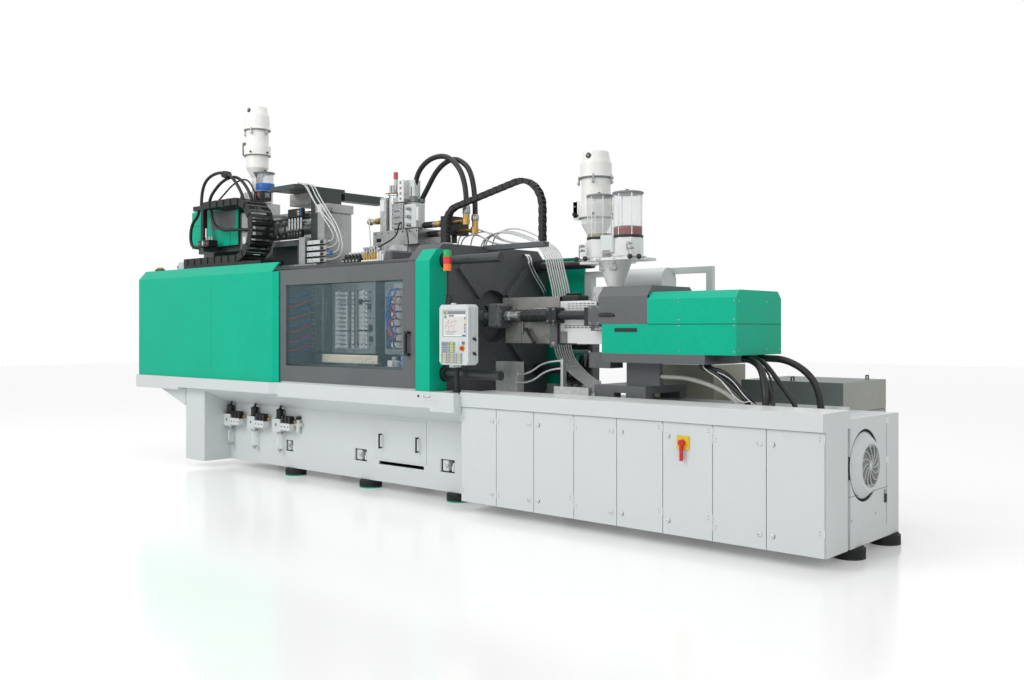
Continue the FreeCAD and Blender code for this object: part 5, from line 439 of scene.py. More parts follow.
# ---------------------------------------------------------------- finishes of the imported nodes
# The finishes that many nodes and fittings have.
STEEL, BRASS, IRON, ZINC = "machined_steel", "brass", "cast_iron", "zinc_steel"
BLACK, GREY, BLUE, INSIDE = "black_plastic", "grey_plastic", "blue_plastic", "dark_inside"
WHITE, PALE, DARK, CYLINDER = "white_paint", "light_grey_paint", "dark_grey_paint", "cylinder_black"


def across(low: float, high: float) -> tuple[float, float]:
    """Give a Y range measured from the mould axis, in metres."""
    return (low + AXIS_Y, high + AXIS_Y)


PLAIN_NODES = {
    "foot_rubber": ("levelling_feet",),
    "red_plastic": ("main_switch_handle", "emergency_stop"),
    "motor_paint": ("pump_motor",),
    BLACK: ("cooling_fan", "clamp_energy_chain", "arch_energy_chain"),
    "green_paint": ("clamp_guard_front", "clamp_guard_rear", "front_pillar", "unit_two_cover",
                    "injection_cover"),
    "window_plastic": ("guard_door_window",),
    IRON: ("fixed_platen", "moving_platen", "end_platen"),
    "tie_bar_sleeve": ("tie_bars",),
    "mould_steel": ("cube_mould", "moving_mould_half", "fixed_mould_half"),
    STEEL: ("cube_carriage", "nozzle_head", "heated_barrel", "plasticising_screw"),
    DARK: ("injection_hood", "injection_carriage"),
    WHITE: ("barrel_shroud", "dosing_station"),
    "stainless_sheet": ("barrel_guard_upper", "barrel_guard_lower"),
    CYLINDER: ("traverse_cylinders",),
    "clear_plastic": ("hopper_tubes",),
    "cream_plastic": ("vacuum_loader_one",),
    "rubber_hose": ("clamp_hoses", "unit_two_hoses", "injection_hoses"),
    "silicone_tube": ("grey_tubes",),
}
DOOR_PROUD = across(-1.2, -0.8305)     # whatever stands in front of a door's sheet
CUP = {"x": (-3.27, -3.02), "y": across(-0.22, 0.02)}     # the upper loader's material cup
ZONED_NODES: dict[str, tuple[str, tuple[Zone, ...]]] = {
    "machine_bed": (PALE, (
        Zone(ZINC, x=(1.14, 1.43), y=across(-0.40, -0.28), z=(1.05, 1.42)),
        Zone(ZINC, x=(1.86, 2.30), y=across(-0.40, -0.34), z=(1.05, 1.50)))),
    "guard_ledge": (PALE, (Zone(BLACK, x=(0.95, 1.12), y=across(-0.87, -0.75), z=(1.10, 1.36)),)),
    "access_panel": (PALE, (Zone(BLACK, y=across(-9, -0.541)),)),
    "air_service_units": (PALE, (
        Zone(BLACK, z=(0.66, 0.80)), Zone("clear_plastic", z=(0.0, 0.50)))),
    "electrical_cabinet": (PALE, (Zone(WHITE, z=(1.1165, 1.2)),)),
    "motor_cowl": (PALE, (
        # Painted shade behind the grille: a dark disc on the cowl's face.
        Zone(INSIDE, x=(4.7440, 4.7520), y=across(-0.281, 0.001), z=(0.547, 0.829)),)),
    "rear_tank_cabinet": ("tank_paint", (
        Zone("tank_end_paint", x=(4.2495, 4.4)), Zone(BLACK, z=(1.2625, 1.4)))),
    "rear_switchgear": ("beige_paint", (Zone(PALE, z=(1.39, 2.6)),)),
    "guard_door": (DARK, (Zone(BLACK, x=(0.40, 0.50), y=across(-1.2, -0.9005)),)),
    "head_canopy": ("canopy_plastic", (
        Zone("speckled_block", x=(-2.485, -2.025), z=(3.19, 3.3495)),)),
    "top_manifold": (STEEL, (
        Zone(BRASS, x=(-0.10, 0.45), y=across(0.02, 0.20), z=(2.72, 2.925)),
        Zone(BLACK, x=(-0.011, 0.091), z=(2.44, 2.93)),
        Zone(BRASS, x=(-1.38, -1.10), z=(2.93, 3.01)),
        Zone("pink_knob", z=(3.43, 3.6)),)),
    "unit_two_barrel": (STEEL, (
        Zone(BLACK, x=(-4.6, -3.3), y=across(-0.6, -0.33), z=(2.6, 3.4)),
        Zone(IRON, x=(-4.6, -2.2), z=(2.4, 2.79)))),
    "vacuum_loader_two": ("cream_plastic", (
        Zone("clear_plastic", **CUP, z=(3.56, 3.69)),
        Zone(BLUE, **CUP, z=(3.457, 3.56)),
        Zone(GREY, **CUP, z=(3.69, 3.72)),
        Zone(BLACK, x=(-3.19, -3.005), y=across(-0.25, -0.095), z=(3.32, 3.457)))),
    "control_panel": (PALE, (
        Zone("screen_glass", x=(1.015, 1.325), y=across(-0.98, -0.97), z=(1.64, 1.89)),
        Zone(BLACK, z=(1.0, 1.345)))),
    "signal_tower": (GREY, (
        Zone("lamp_orange", z=(2.262, 2.328)), Zone("lamp_red", z=(2.328, 2.394)),
        Zone("lamp_green", z=(2.394, 2.470)), Zone(BLACK, z=(1.0, 2.262)))),
    **{f"cabinet_door_{number}": (PALE, (Zone(GREY, y=DOOR_PROUD),))
       for number in (1, 2, 3, 4, 5, 7, 8)},
    "cabinet_door_6": (PALE, (
        Zone(GREY, y=DOOR_PROUD),
        Zone("yellow_paint", x=(3.49, 3.62), y=DOOR_PROUD, z=(0.77, 0.89)))),
}


def paint_nodes() -> None:
    """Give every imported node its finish."""
    looks = {node: (finish, ()) for finish, nodes in PLAIN_NODES.items() for node in nodes}
    for name, (finish, zones) in {**looks, **ZONED_NODES}.items():
        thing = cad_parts[name]
        made = PALETTE.material(finish, zones)
        if not thing.material_slots:
            thing.data.materials.append(made)
        for holder in thing.material_slots:
            holder.material = made


# ---------------------------------------------------------------- hoses
class Stiffness(Enum):
    """How readily a hose bends."""

    LIMP = "limp"
    MEDIUM = "medium"


@dataclass(frozen=True)
class Hose:
    """One hose, cable, pipe or tube, through the points of its route in the frame."""

    name: str
    node: str
    body: str
    radius: float
    route: tuple[Point, ...]
    finish: str = "rubber_hose"
    stiffness: Stiffness = Stiffness.MEDIUM
    declared: bool = True

    @property
    def far_body(self) -> str:
        """Name the body that holds the far end, where the hose crosses a joint."""
        return "machine_frame" if self.body == "injection_slide" else ""

    def lay(self) -> None:
        """Lay the hose in place of the plain one."""
        piece = nurbs(self.name, self.route, self.radius, self.finish)
        path = centre_line(piece)
        if self.far_body:
            piece = as_mesh(piece)
            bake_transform(piece)
        else:
            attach(piece, self.body)
        if self.node:
            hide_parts(self.node)


def nurbs(name: str, points: Sequence[Point], radius: float, finish: str) -> bpy.types.Object:
    """Make a smooth round tube.

    Args:
        name: The piece's name.
        points: The route's control points.
        radius: Half the tube's thickness.
        finish: The name of its finish.

    Returns:
        The curve object.
    """
    line = bpy.data.curves.new(name, "CURVE")
    line.dimensions = "3D"
    line.bevel_depth = radius
    line.bevel_resolution = 4
    line.resolution_u = 14
    line.use_fill_caps = True
    spline = line.splines.new("NURBS")
    spline.points.add(len(points) - 1)
    for spot, point in zip(spline.points, points):
        spot.co = (*point, 1.0)
    spline.order_u = 3
    spline.use_endpoint_u = True
    made = put(name, line)
    line.materials.append(PALETTE.material(finish))
    return made


def centre_line(piece: bpy.types.Object) -> np.ndarray:
    """Read the points that a curve's own line passes through.

    Args:
        piece: The curve object.

    Returns:
        The points, one to a row.
    """
    bare = piece.data.copy()
    bare.bevel_depth = 0.0
    probe = put("probe", bare)
    bpy.context.view_layer.update()
    mesh = bpy.data.meshes.new_from_object(probe)
    points = np.array([v.co[:] for v in mesh.vertices])
    bpy.data.meshes.remove(mesh)
    bpy.data.objects.remove(probe)
    bpy.data.curves.remove(bare)
    return points


def as_mesh(piece: bpy.types.Object) -> bpy.types.Object:
    """Turn a curve piece into a mesh piece of the same name.

    Args:
        piece: The curve object, which is removed.

    Returns:
        The mesh object.
    """
    name = piece.name
    bpy.context.view_layer.update()
    mesh = bpy.data.meshes.new_from_object(piece)
    bpy.data.objects.remove(piece)
    made = put(name, mesh)
    mesh.polygons.foreach_set("use_smooth", [True] * len(mesh.polygons))
    return made


WIDE, MIDDLE, THIN, LIGHT, CABLE, WATER = 0.029, 0.020, 0.011, 0.008, 0.009, 0.007
FIXED_HOSES = (
    ("clamp_hoses", "cube_slide", (
        ("clamp_hose_one", WIDE, ((-518, 60, 3120), (-518, 60, 3390), (-290, 60, 3590),
            (50, 60, 3590), (300, 60, 3300), (300, 60, 3021))),
        ("clamp_hose_two", WIDE, ((-490, 150, 3120), (-490, 150, 3160), (-420, 150, 3245),
            (-220, 150, 3500), (70, 150, 3585), (343, 150, 3350), (343, 150, 2931))))),
    ("unit_two_hoses", "clamp_slide", (
        ("unit_hose_one", MIDDLE, ((-4060, -460, 3318), (-4060, -460, 3545), (-3885, -440, 3715),
            (-3570, -390, 3735), (-3390, -330, 3540), (-3270, -305, 3280), (-3270, -305, 3180))),
        ("unit_hose_two", MIDDLE, ((-3960, -405, 3318), (-3960, -405, 3380), (-3895, -395, 3490),
            (-3715, -350, 3645), (-3460, -310, 3680), (-3250, -285, 3500), (-3150, -270, 3270),
            (-3150, -270, 3180))),
        ("unit_hose_three", THIN, ((-3800, -393, 3318), (-3800, -393, 3350), (-3740, -360, 3420),
            (-3570, -280, 3600), (-3350, -240, 3645), (-3150, -262, 3480), (-3080, -262, 3280),
            (-3080, -262, 3180))),
        ("loop_hose", MIDDLE, ((-4110, -470, 3262), (-4110, -470, 3200), (-4270, -490, 3080),
            (-4280, -490, 2800), (-4110, -470, 2780), (-4010, -470, 2780))),
        ("sweep_hose", MIDDLE, ((-3860, -440, 3262), (-3860, -440, 2990), (-3100, -430, 2955),
            (-3100, -345, 2955))))),
    ("injection_hoses", "injection_slide", (
        ("front_hose", MIDDLE, ((3400, -320, 1420), (3400, -320, 1390), (3520, -320, 1365),
            (3740, -320, 1215), (3850, -330, 1110), (3850, -330, 1045))),
        ("middle_hose", THIN, ((3450, -270, 1420), (3450, -270, 1390), (3590, -290, 1380),
            (3800, -320, 1220), (3885, -345, 1110), (3885, -345, 1045))),
        ("power_cable", WIDE, ((3700, -160, 1470), (3760, -160, 1470), (3900, -230, 1410),
            (3990, -330, 1220), (4000, -345, 1120), (4000, -345, 1045))),
        ("stout_hose", MIDDLE, ((3700, -60, 1470), (3760, -60, 1470), (3860, -90, 1440),
            (4060, -140, 1220), (4160, -150, 1110), (4160, -150, 1045))),
        ("tall_hose", WIDE, ((3700, 100, 1470), (3740, 100, 1470), (3960, 100, 1465),
            (4170, 100, 1340), (4250, 100, 1160), (4250, 100, 1045))),
        ("ribbed_hose", MIDDLE, ((2910, -170, 1300), (3000, -170, 1300), (3200, -178, 1295),
            (3480, -180, 1225), (3700, -180, 1090), (3700, -180, 1045))))),
    ("grey_tubes", "machine_frame", (
        ("high_pipe", THIN, ((1420, -360, 1280), (1530, -360, 1280), (1750, -360, 1420),
            (1960, -360, 1420))),
        ("low_pipe", THIN, ((1420, -360, 1200), (1560, -360, 1200), (1790, -360, 1350),
            (1960, -360, 1350))),
        ("left_pipe", THIN, ((740, 480, 2500), (800, 480, 2500), (800, 500, 2350),
            (800, 790, 2060), (740, 790, 2060))),
        ("right_pipe", THIN, ((740, 520, 2500), (800, 520, 2500), (800, 540, 2365),
            (800, 817, 2086), (740, 817, 2086))))),
)
TUBE_HEADS = {
    "outer": ((-300, 2220), (-300, 2630), (-160, 2800), (120, 2780), (450, 2605)),
    "inner": ((-120, 2220), (-120, 2620), (-20, 2750), (200, 2740), (450, 2600)),
    "side": ((160, 2200), (160, 2610), (330, 2742), (620, 2745)),
}
TUBE_RUN = ((1000, 2600), (1135, 2500), (1190, 2290), (1270, 2030), (1240, 1490), (1440, 1280),
            (1750, 1120), (1750, 1045))
CANOPY_ROUTES = (
    ((-1552, -350, 2720), (-1445, -350, 2722), (-1420, -352, 2800), (-1560, -356, 2950),
     (-1700, -362, 3110), (-1840, -370, 3300), (-1915, -376, 3424), (-1990, -380, 3424)),
    ((-1552, -350, 2650), (-1400, -350, 2652), (-1335, -352, 2760), (-1440, -350, 2930),
     (-1620, -345, 3110), (-1800, -335, 3290), (-1890, -325, 3424), (-1980, -320, 3424)),
    ((-1552, -350, 2580), (-1370, -352, 2580), (-1290, -360, 2680), (-1390, -372, 2880),
     (-1590, -380, 3040), (-1750, -390, 3200), (-1900, -410, 3424), (-1990, -415, 3424)),
    ((-1552, -350, 2510), (-1350, -352, 2510), (-1260, -340, 2620), (-1350, -325, 2850),
     (-1560, -310, 3060), (-1770, -295, 3270), (-1890, -285, 3424), (-1985, -280, 3424)))
CABLE_ROUTES = (
    ("manifold_cable", "cube_slide", CABLE, "rubber_hose",
     ((-600, 50, 2900), (-600, -60, 2895), (-590, -100, 2880), (-600, -120, 2740),
      (-760, -180, 2650), (-950, -260, 2570), (-1050, -300, 2500), (-1060, -300, 2440))),
    ("valve_cable", "cube_slide", WATER, "rubber_hose",
     ((-575, 50, 2850), (-560, -40, 2850), (-480, -80, 2790), (-440, -100, 2720),
      (-400, -130, 2640), (-400, -140, 2600), (-400, -140, 2440))),
    ("fitting_hose", "cube_slide", WATER, "silicone_tube",
     ((-1250, 150, 2940), (-1250, 70, 2930), (-1200, -40, 3010), (-1110, -90, 2960),
      (-1085, -100, 2760), (-1060, -100, 2600), (-1060, -100, 2440))),
    ("left_grey_cable", "injection_slide", 0.004, "silicone_tube",
     ((3425, -336, 1420), (3430, -340, 1385), (3600, -350, 1310), (3720, -350, 1180),
      (3740, -350, 1100), (3740, -350, 1047))),
    ("right_grey_cable", "injection_slide", 0.004, "silicone_tube",
     ((3428, -298, 1420), (3440, -300, 1385), (3680, -340, 1330), (3840, -370, 1160),
      (3960, -372, 1090), (3960, -372, 1047))),
    ("loop_grey_cable", "injection_slide", 0.004, "silicone_tube",
     ((3470, -262, 1420), (3480, -270, 1370), (3640, -330, 1240), (3800, -376, 1120),
      (3900, -376, 1150), (3880, -374, 1090), (3880, -372, 1047))))
LEFT_PORTS = (2150, 2105, 2060, 1990, 1900, 1820, 1770, 1660, 1600, 1540, 1500)
PORT_COLUMNS = (-330, -285, -240)
PORT_LOW = 1500
PORT_PITCH = 80


@dataclass
class Hoses:
    """Every hose, cable, pipe and tube of the machine, in millimetres from the mould axis.

    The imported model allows 40 declared cords, so the repeated thin ones past that are not declared.
    """

    bundle_depth: int = 353
    bundle_pitch: int = 18
    run_lean: float = 0.9
    declared_tubes: int = 5
    right_water_count: int = 14
    right_water_face: int = -402
    bundle_count: int = 6

    def build(self) -> None:
        """Lay every hose."""
        for listed in (self.fixed_hoses(), self.light_tubes(), self.left_water(),
                       self.right_water(), self.canopy_tubes(), self.cables(), self.bundle()):
            for hose in listed:
                hose.lay()

    def fixed_hoses(self) -> list[Hose]:
        """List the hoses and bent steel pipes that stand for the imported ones.

        Returns:
            The hoses.
        """
        listed = []
        for node, body, members in FIXED_HOSES:
            steel = node == "grey_tubes"
            for name, radius, route in members:
                finish = ("tie_bar_chrome" if steel else
                          "pale_ribbed" if name == "ribbed_hose" else "rubber_hose")
                listed.append(
                    Hose(name, node, body, radius, on_axis(route), finish, declared=not steel))
        return listed

    def light_tubes(self) -> list[Hose]:
        """List the light tubes that rise from the mould and run down beside the platen.

        Returns:
            The tubes.
        """
        heads = ("outer", "inner", "side", "side", "side", "outer", "inner", "side")
        listed = []
        for index, head in enumerate(heads):
            offset = index * self.bundle_pitch
            shift = max(index - 2, 0) * self.bundle_pitch
            y = self.bundle_depth + offset
            spots = [(x + shift, y, z + shift / 2) for x, z in TUBE_HEADS[head]]
            if head == "side":
                spots[0] = (spots[0][0], y, TUBE_HEADS[head][0][1])
            spots += [(x + offset * self.run_lean, y, z) for x, z in TUBE_RUN]
            listed.append(Hose(
                f"light_tube_{index + 1}", "grey_tubes", "machine_frame", LIGHT, on_axis(spots),
                "silicone_tube", Stiffness.LIMP, index < self.declared_tubes))
        return listed

    def left_water(self) -> list[Hose]:
        """List the water hoses of the moving mould half.

        Returns:
            The hoses.
        """
        listed = []
        for index, height in enumerate(LEFT_PORTS):
            finish = "blue_hose" if index in (0, 1, 3, 5, 8, 10) else "red_hose"
            depth = -386 - 7 * (index % 3)
            low = height - 60 - 12 * (index % 4)
            spots = ((-1765, depth, height), (-1800, depth - 10, height - 4),
                     (-1850, depth - 80, low + 25), (-1905, depth - 150, low - 5),
                     (-1950, depth - 240, low - 10))
            listed.append(Hose(f"left_water_{index + 1}", "", "clamp_slide", WATER,
                               on_axis(spots), finish, Stiffness.LIMP))
        return listed

    def right_water(self) -> list[Hose]:
        """List the looped water hoses of the fixed mould half.

        Returns:
            The hoses.
        """
        listed = []
        for index in range(self.right_water_count):
            column, far_x = PORT_COLUMNS[index % 3], PORT_COLUMNS[(index + 2) % 3]
            height = PORT_LOW + PORT_PITCH * (index * 5 % 9)
            far_height = PORT_LOW + PORT_PITCH * ((index * 5 + 2 + index % 2) % 9)
            reach = -450 - 12 * (index % 4)
            sway = 25 * (index % 3 - 1)
            spots = ((column, self.right_water_face, height), (column, reach, height),
                     (column + sway, reach - 30, (2 * height + far_height) / 3),
                     (far_x - sway, reach - 30, (height + 2 * far_height) / 3 - 20),
                     (far_x, reach, far_height), (far_x, self.right_water_face, far_height))
            finish = ("blue_hose", "blue_hose", "red_hose")[index % 3]
            listed.append(Hose(f"right_water_{index + 1}", "", "machine_frame", WATER,
                               on_axis(spots), finish, Stiffness.LIMP, declared=False))
        return listed

    def canopy_tubes(self) -> list[Hose]:
        """List the clear tubes that rise from the couplings over the canopy.

        Returns:
            The tubes.
        """
        return [Hose(f"canopy_tube_{index + 1}", "", "clamp_slide", LIGHT, on_axis(route),
                     "clear_hose") for index, route in enumerate(CANOPY_ROUTES)]

    def cables(self) -> list[Hose]:
        """List the thin cables on the manifold and under the injection cover.

        Returns:
            The cables.
        """
        return [Hose(name, "", body, radius, on_axis(route), finish)
                for name, body, radius, finish, route in CABLE_ROUTES]

    def bundle(self) -> list[Hose]:
        """List the black cables that fan out from under the injection cover.

        Returns:
            The cables.
        """
        listed = []
        for index in range(self.bundle_count):
            side, late = 14 * index, 70 * (index % 3)
            if index < self.bundle_count / 2:
                spots = ((3420 + side, -300, 1420), (3426 + side, -302, 1388),
                         (3560 + late / 2, -310, 1375), (3770 + side, -316 - side, 1225),
                         (3858 + 2 * side, -330, 1118), (3858 + 2 * side, -330, 1045))
            else:
                spots = ((3700, -230 + side, 1470), (3770, -230 + side, 1468),
                         (3860 + late / 2, -250 + side, 1430 - late / 3),
                         (3960 + late / 2, -310 + side / 2, 1240),
                         (4030 + side / 2, -332, 1120), (4030 + side / 2, -332, 1045))
            listed.append(Hose(f"bundle_cable_{index + 1}", "", "injection_slide", CABLE,
                               on_axis(spots), declared=False))
        return listed


# ---------------------------------------------------------------- small parts
def block_faces() -> list[tuple[int, ...]]:
    """List the faces of a block with cut edges, whose eight corners have three points each.

    Point 3 * corner + axis is the corner's point in the face that is square to that axis.

    Returns:
        The faces as point numbers: cut corners, then sides and cut edges.
    """
    faces = [tuple(3 * corner + axis for axis in range(3)) for corner in range(8)]
    step = (4, 2, 1)
    for axis in range(3):
        first, second = (other for other in range(3) if other != axis)
        around = [p * step[first] + q * step[second] for p, q in ((0, 0), (1, 0), (1, 1), (0, 1))]
        for side in (0, step[axis]):
            faces.append(tuple(3 * (side + corner) + axis for corner in around))
        for low in around:
            high = low + step[axis]
            faces.append((3 * low + first, 3 * low + second, 3 * high + second, 3 * high + first))
    return faces


BLOCK_FACES = block_faces()
BLOCK_ENDS = np.repeat(np.stack(np.meshgrid((0, 1), (0, 1), (0, 1), indexing="ij"),
                                axis=-1).reshape(8, 3), 3, axis=0)
BLOCK_INSET = (1 - np.tile(np.eye(3), (8, 1))) * (1 - 2 * BLOCK_ENDS)

FRONT = (0.0, -1.0, 0.0)
UP = (0.0, 0.0, 1.0)
DOWN = (0.0, 0.0, -1.0)
RIGHT = (1.0, 0.0, 0.0)
LEFT = (-1.0, 0.0, 0.0)

Place = Sequence[float]
Steps = Sequence[tuple[float, float]]
# Profiles of turned fittings: distance along the line and radius, as shares of the radius.
SCREW_HEAD = ((0.2, 1.0), (0.8, 1.0), (1.0, 0.8))
COLLAR = ((0.0, 1.15), (0.7, 1.15), (0.75, 1.0))
UNION_NUT = ((0.7, 1.4), (1.7, 1.4), (1.8, 1.2))
FERRULE = ((1.7, 1.15), (3.6, 1.15), (3.8, 1.05))
KNOB = ((0.0, 0.45), (0.5, 0.45), (0.6, 0.8), (0.8, 0.97), (1.1, 1.0), (1.4, 0.92), (1.6, 0.7),
        (1.7, 0.4))


class Fitting:
    """One piece made of many small cut and turned shapes, each with its own finish.

    Places are in millimetres, with Y from the mould axis. A finish is given by its name.
    """

    def __init__(self, name: str, body: str) -> None:
        """Start an empty piece of this name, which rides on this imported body."""
        self.name = name
        self.body = body
        self._points: list[np.ndarray] = []
        self._count = 0
        self._faces: list[tuple[int, ...]] = []
        self._marks: list[int] = []
        self._smooth: list[bool] = []
        self._finishes: list[str] = []

    def add(self, finish: str, points: np.ndarray, faces: Sequence[Sequence[int]],
            smooth: bool = False) -> None:
        """Add one closed shape.

        Args:
            finish: The shape's finish.
            points: Its points, in millimetres from the mould axis.
            faces: Its faces, as numbers of those points.
            smooth: Whether its faces are shaded as one round surface.
        """
        if finish not in self._finishes:
            self._finishes.append(finish)
        self._faces += [tuple(self._count + number for number in face) for face in faces]
        self._marks += [self._finishes.index(finish)] * len(faces)
        self._smooth += [smooth] * len(faces)
        self._points.append(np.asarray(points, dtype=float))
        self._count += len(points)

    def block(self, finish: str, x: Sequence[float], y: Sequence[float], z: Sequence[float],
              trim: float = 2.0) -> None:
        """Add a block with cut edges.

        Each corner has three points: end * size, moved inwards by trim along all axes but one.

        Args:
            finish: Its finish.
            x: Its low and high bound along the machine.
            y: The same across it.
            z: The same upwards.
            trim: How much is cut off each edge.
        """
        low, high = np.array([x, y, z], dtype=float).T
        trim = min(trim, float((high - low).min()) * 0.3)
        self.add(finish, low + (high - low) * BLOCK_ENDS + trim * BLOCK_INSET, BLOCK_FACES)

    def turned(self, finish: str, start: Place, heading: Place, steps: Steps, sides: int = 24,
               hollow: bool = False) -> None:
        """Add a shape turned about a line.

        Each point is start + along * heading + radius * (cos(angle) * across
        + sin(angle) * over), where across and over are square to heading.

        Args:
            finish: Its finish.
            start: Where the line starts.
            heading: The line's direction.
            steps: Distance along the line and radius, from end to end.
            sides: How many sides it has.
            hollow: Whether the steps run round a ring's own section, with no end caps.
        """
        turn = np.array(Vector(heading).to_track_quat("Z", "Y").to_matrix())
        angle = np.linspace(0.0, 2.0 * math.pi, sides, endpoint=False)
        along, radius = np.array(steps, dtype=float).T
        points = np.stack([np.outer(radius, np.cos(angle)), np.outer(radius, np.sin(angle)),
                           np.outer(along, np.ones(sides))], axis=-1).reshape(-1, 3)
        points = points @ turn.T + np.array(start, dtype=float)
        rings = len(steps)
        ring, side = np.meshgrid(
            np.arange(rings if hollow else rings - 1), np.arange(sides), indexing="ij")
        beyond, after = (ring + 1) % rings, (side + 1) % sides
        wall = np.stack([ring * sides + side, ring * sides + after, beyond * sides + after,
                         beyond * sides + side], axis=-1).reshape(-1, 4).tolist()
        last = (rings - 1) * sides
        caps = [] if hollow else [list(range(sides)), list(range(last, last + sides))]
        self.add(finish, points, wall + caps, smooth=sides > 8)

    def shares(self, finish: str, place: Place, heading: Place, radius: float, profile: Steps,
               sides: int) -> None:
        """Add a turned shape whose profile is given in shares of its radius.

        Args:
            finish: Its finish.
            place: Where it starts.
            heading: Its direction.
            radius: The size of one share, in millimetres.
            profile: Distance along the line and radius, in shares.
            sides: How many sides it has.
        """
        self.turned(finish, place, heading, [(a * radius, b * radius) for a, b in profile], sides)

    def rod(self, finish: str, start: Place, end: Place, radius: float, sides: int = 20) -> None:
        """Add a round bar with broken rims.

        Args:
            finish: Its finish.
            start: The middle of one end.
            end: The middle of the other.
            radius: Half its thickness.
            sides: How many sides it has.
        """
        line = np.array(end, dtype=float) - np.array(start, dtype=float)
        length = float(np.linalg.norm(line))
        rim = min(radius * 0.15, length * 0.2, 3.0)
        self.turned(
            finish, start, line, ((0.0, radius - rim), (rim, radius), (length - rim, radius),
            (length, radius - rim)), sides)

    def screw(self, place: Place, heading: Place, radius: float, finish: str = STEEL) -> None:
        """Add a hexagon screw head on its washer.

        Args:
            place: Where it is screwed in.
            heading: Which way its head points.
            radius: Half the head's width.
            finish: Its finish.
        """
        washer = radius * 1.35
        self.turned(
            finish, place, heading,
            ((-0.5, washer), (radius * 0.2, washer), (radius * 0.25, radius * 1.2)), 20)
        self.shares(finish, place, heading, radius, SCREW_HEAD, 6)

    def socket(self, place: Place, heading: Place, radius: float, rim: str = STEEL,
               middle: str = INSIDE) -> None:
        """Add a ring with a dark middle, such as a socket screw or a cavity insert.

        Args:
            place: The middle of its foot.
            heading: Which way it faces.
            radius: Its outer radius.
            rim: The ring's finish.
            middle: The middle's finish.
        """
        bore = radius * 0.66
        self.turned(
            rim, place, heading, ((-0.5, radius), (1.5, radius), (2.0, radius * 0.92),
            (2.0, radius * 0.68), (1.2, bore)), 16)
        # By default the middle is painted shade: a dark plug where the hole's inside would be.
        self.turned(middle, place, heading, ((0.0, bore), (1.8, bore)), 16)

    def union(self, place: Place, heading: Place, radius: float, finish: str = STEEL) -> None:
        """Add a hose union: a collar, its hexagon nut and a ferrule.

        Args:
            place: Where it is screwed in.
            heading: Which way the hose leaves.
            radius: The hose's own radius.
            finish: Its finish.
        """
        for profile, sides in ((COLLAR, 20), (UNION_NUT, 6), (FERRULE, 20)):
            self.shares(finish, place, heading, radius, profile, sides)

    def knob(self, place: Place, heading: Place, radius: float) -> None:
        """Add a round black grip knob on its neck.

        Args:
            place: The foot of its neck.
            heading: Which way it points.
            radius: Its radius.
        """
        self.shares(BLACK, place, heading, radius, KNOB, 20)

    def made(self) -> None:
        """Build the piece and let it ride on its body."""
        mesh = bpy.data.meshes.new(self.name)
        points = np.concatenate(self._points) * MILLI + np.array((0.0, AXIS_Y, 0.0))
        mesh.from_pydata(points.tolist(), [], self._faces)
        mesh.polygons.foreach_set("material_index", self._marks)
        mesh.polygons.foreach_set("use_smooth", self._smooth)
        for finish in self._finishes:
            mesh.materials.append(PALETTE.material(finish))
        whole = bmesh.new()
        whole.from_mesh(mesh)
        bmesh.ops.recalc_face_normals(whole, faces=whole.faces)
        whole.to_mesh(mesh)
        whole.free()
        mesh.set_sharp_from_angle(angle=math.radians(32))
        piece = put(self.name, mesh)
        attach(piece, self.body)
        LOG.info("%s is made", self.name)


class Assembly:
    """A group of fittings, each made by one method of its class."""

    def build(self) -> None:
        """Call the methods of the class in the order in which they are written."""
        for name, method in vars(type(self)).items():
            if callable(method) and not name.startswith("_"):
                method(self)


class Insert(Enum):
    """What sits in a pocket of the cube's face: the finishes of its rim and its middle."""

    # A dark middle is painted shade in the cavity; the insert ring's rim glows as painted light.
    RING = ("insert_ring", INSIDE)
    HOLE = ("insert_ring", IRON)
    SLIDE = (STEEL, INSIDE)


INSERT_COLUMNS = ((-1345, 17, Insert.RING), (-1305, 17, Insert.RING), (-1255, 12, Insert.HOLE),
                  (-1210, 12, Insert.RING), (-1165, 18, Insert.RING), (-1095, 21, Insert.SLIDE),
                  (-1050, 14, Insert.RING), (-1010, 21, Insert.SLIDE), (-960, 20, Insert.SLIDE),
                  (-915, 18, Insert.RING), (-870, 18, Insert.RING), (-820, 14, Insert.RING))


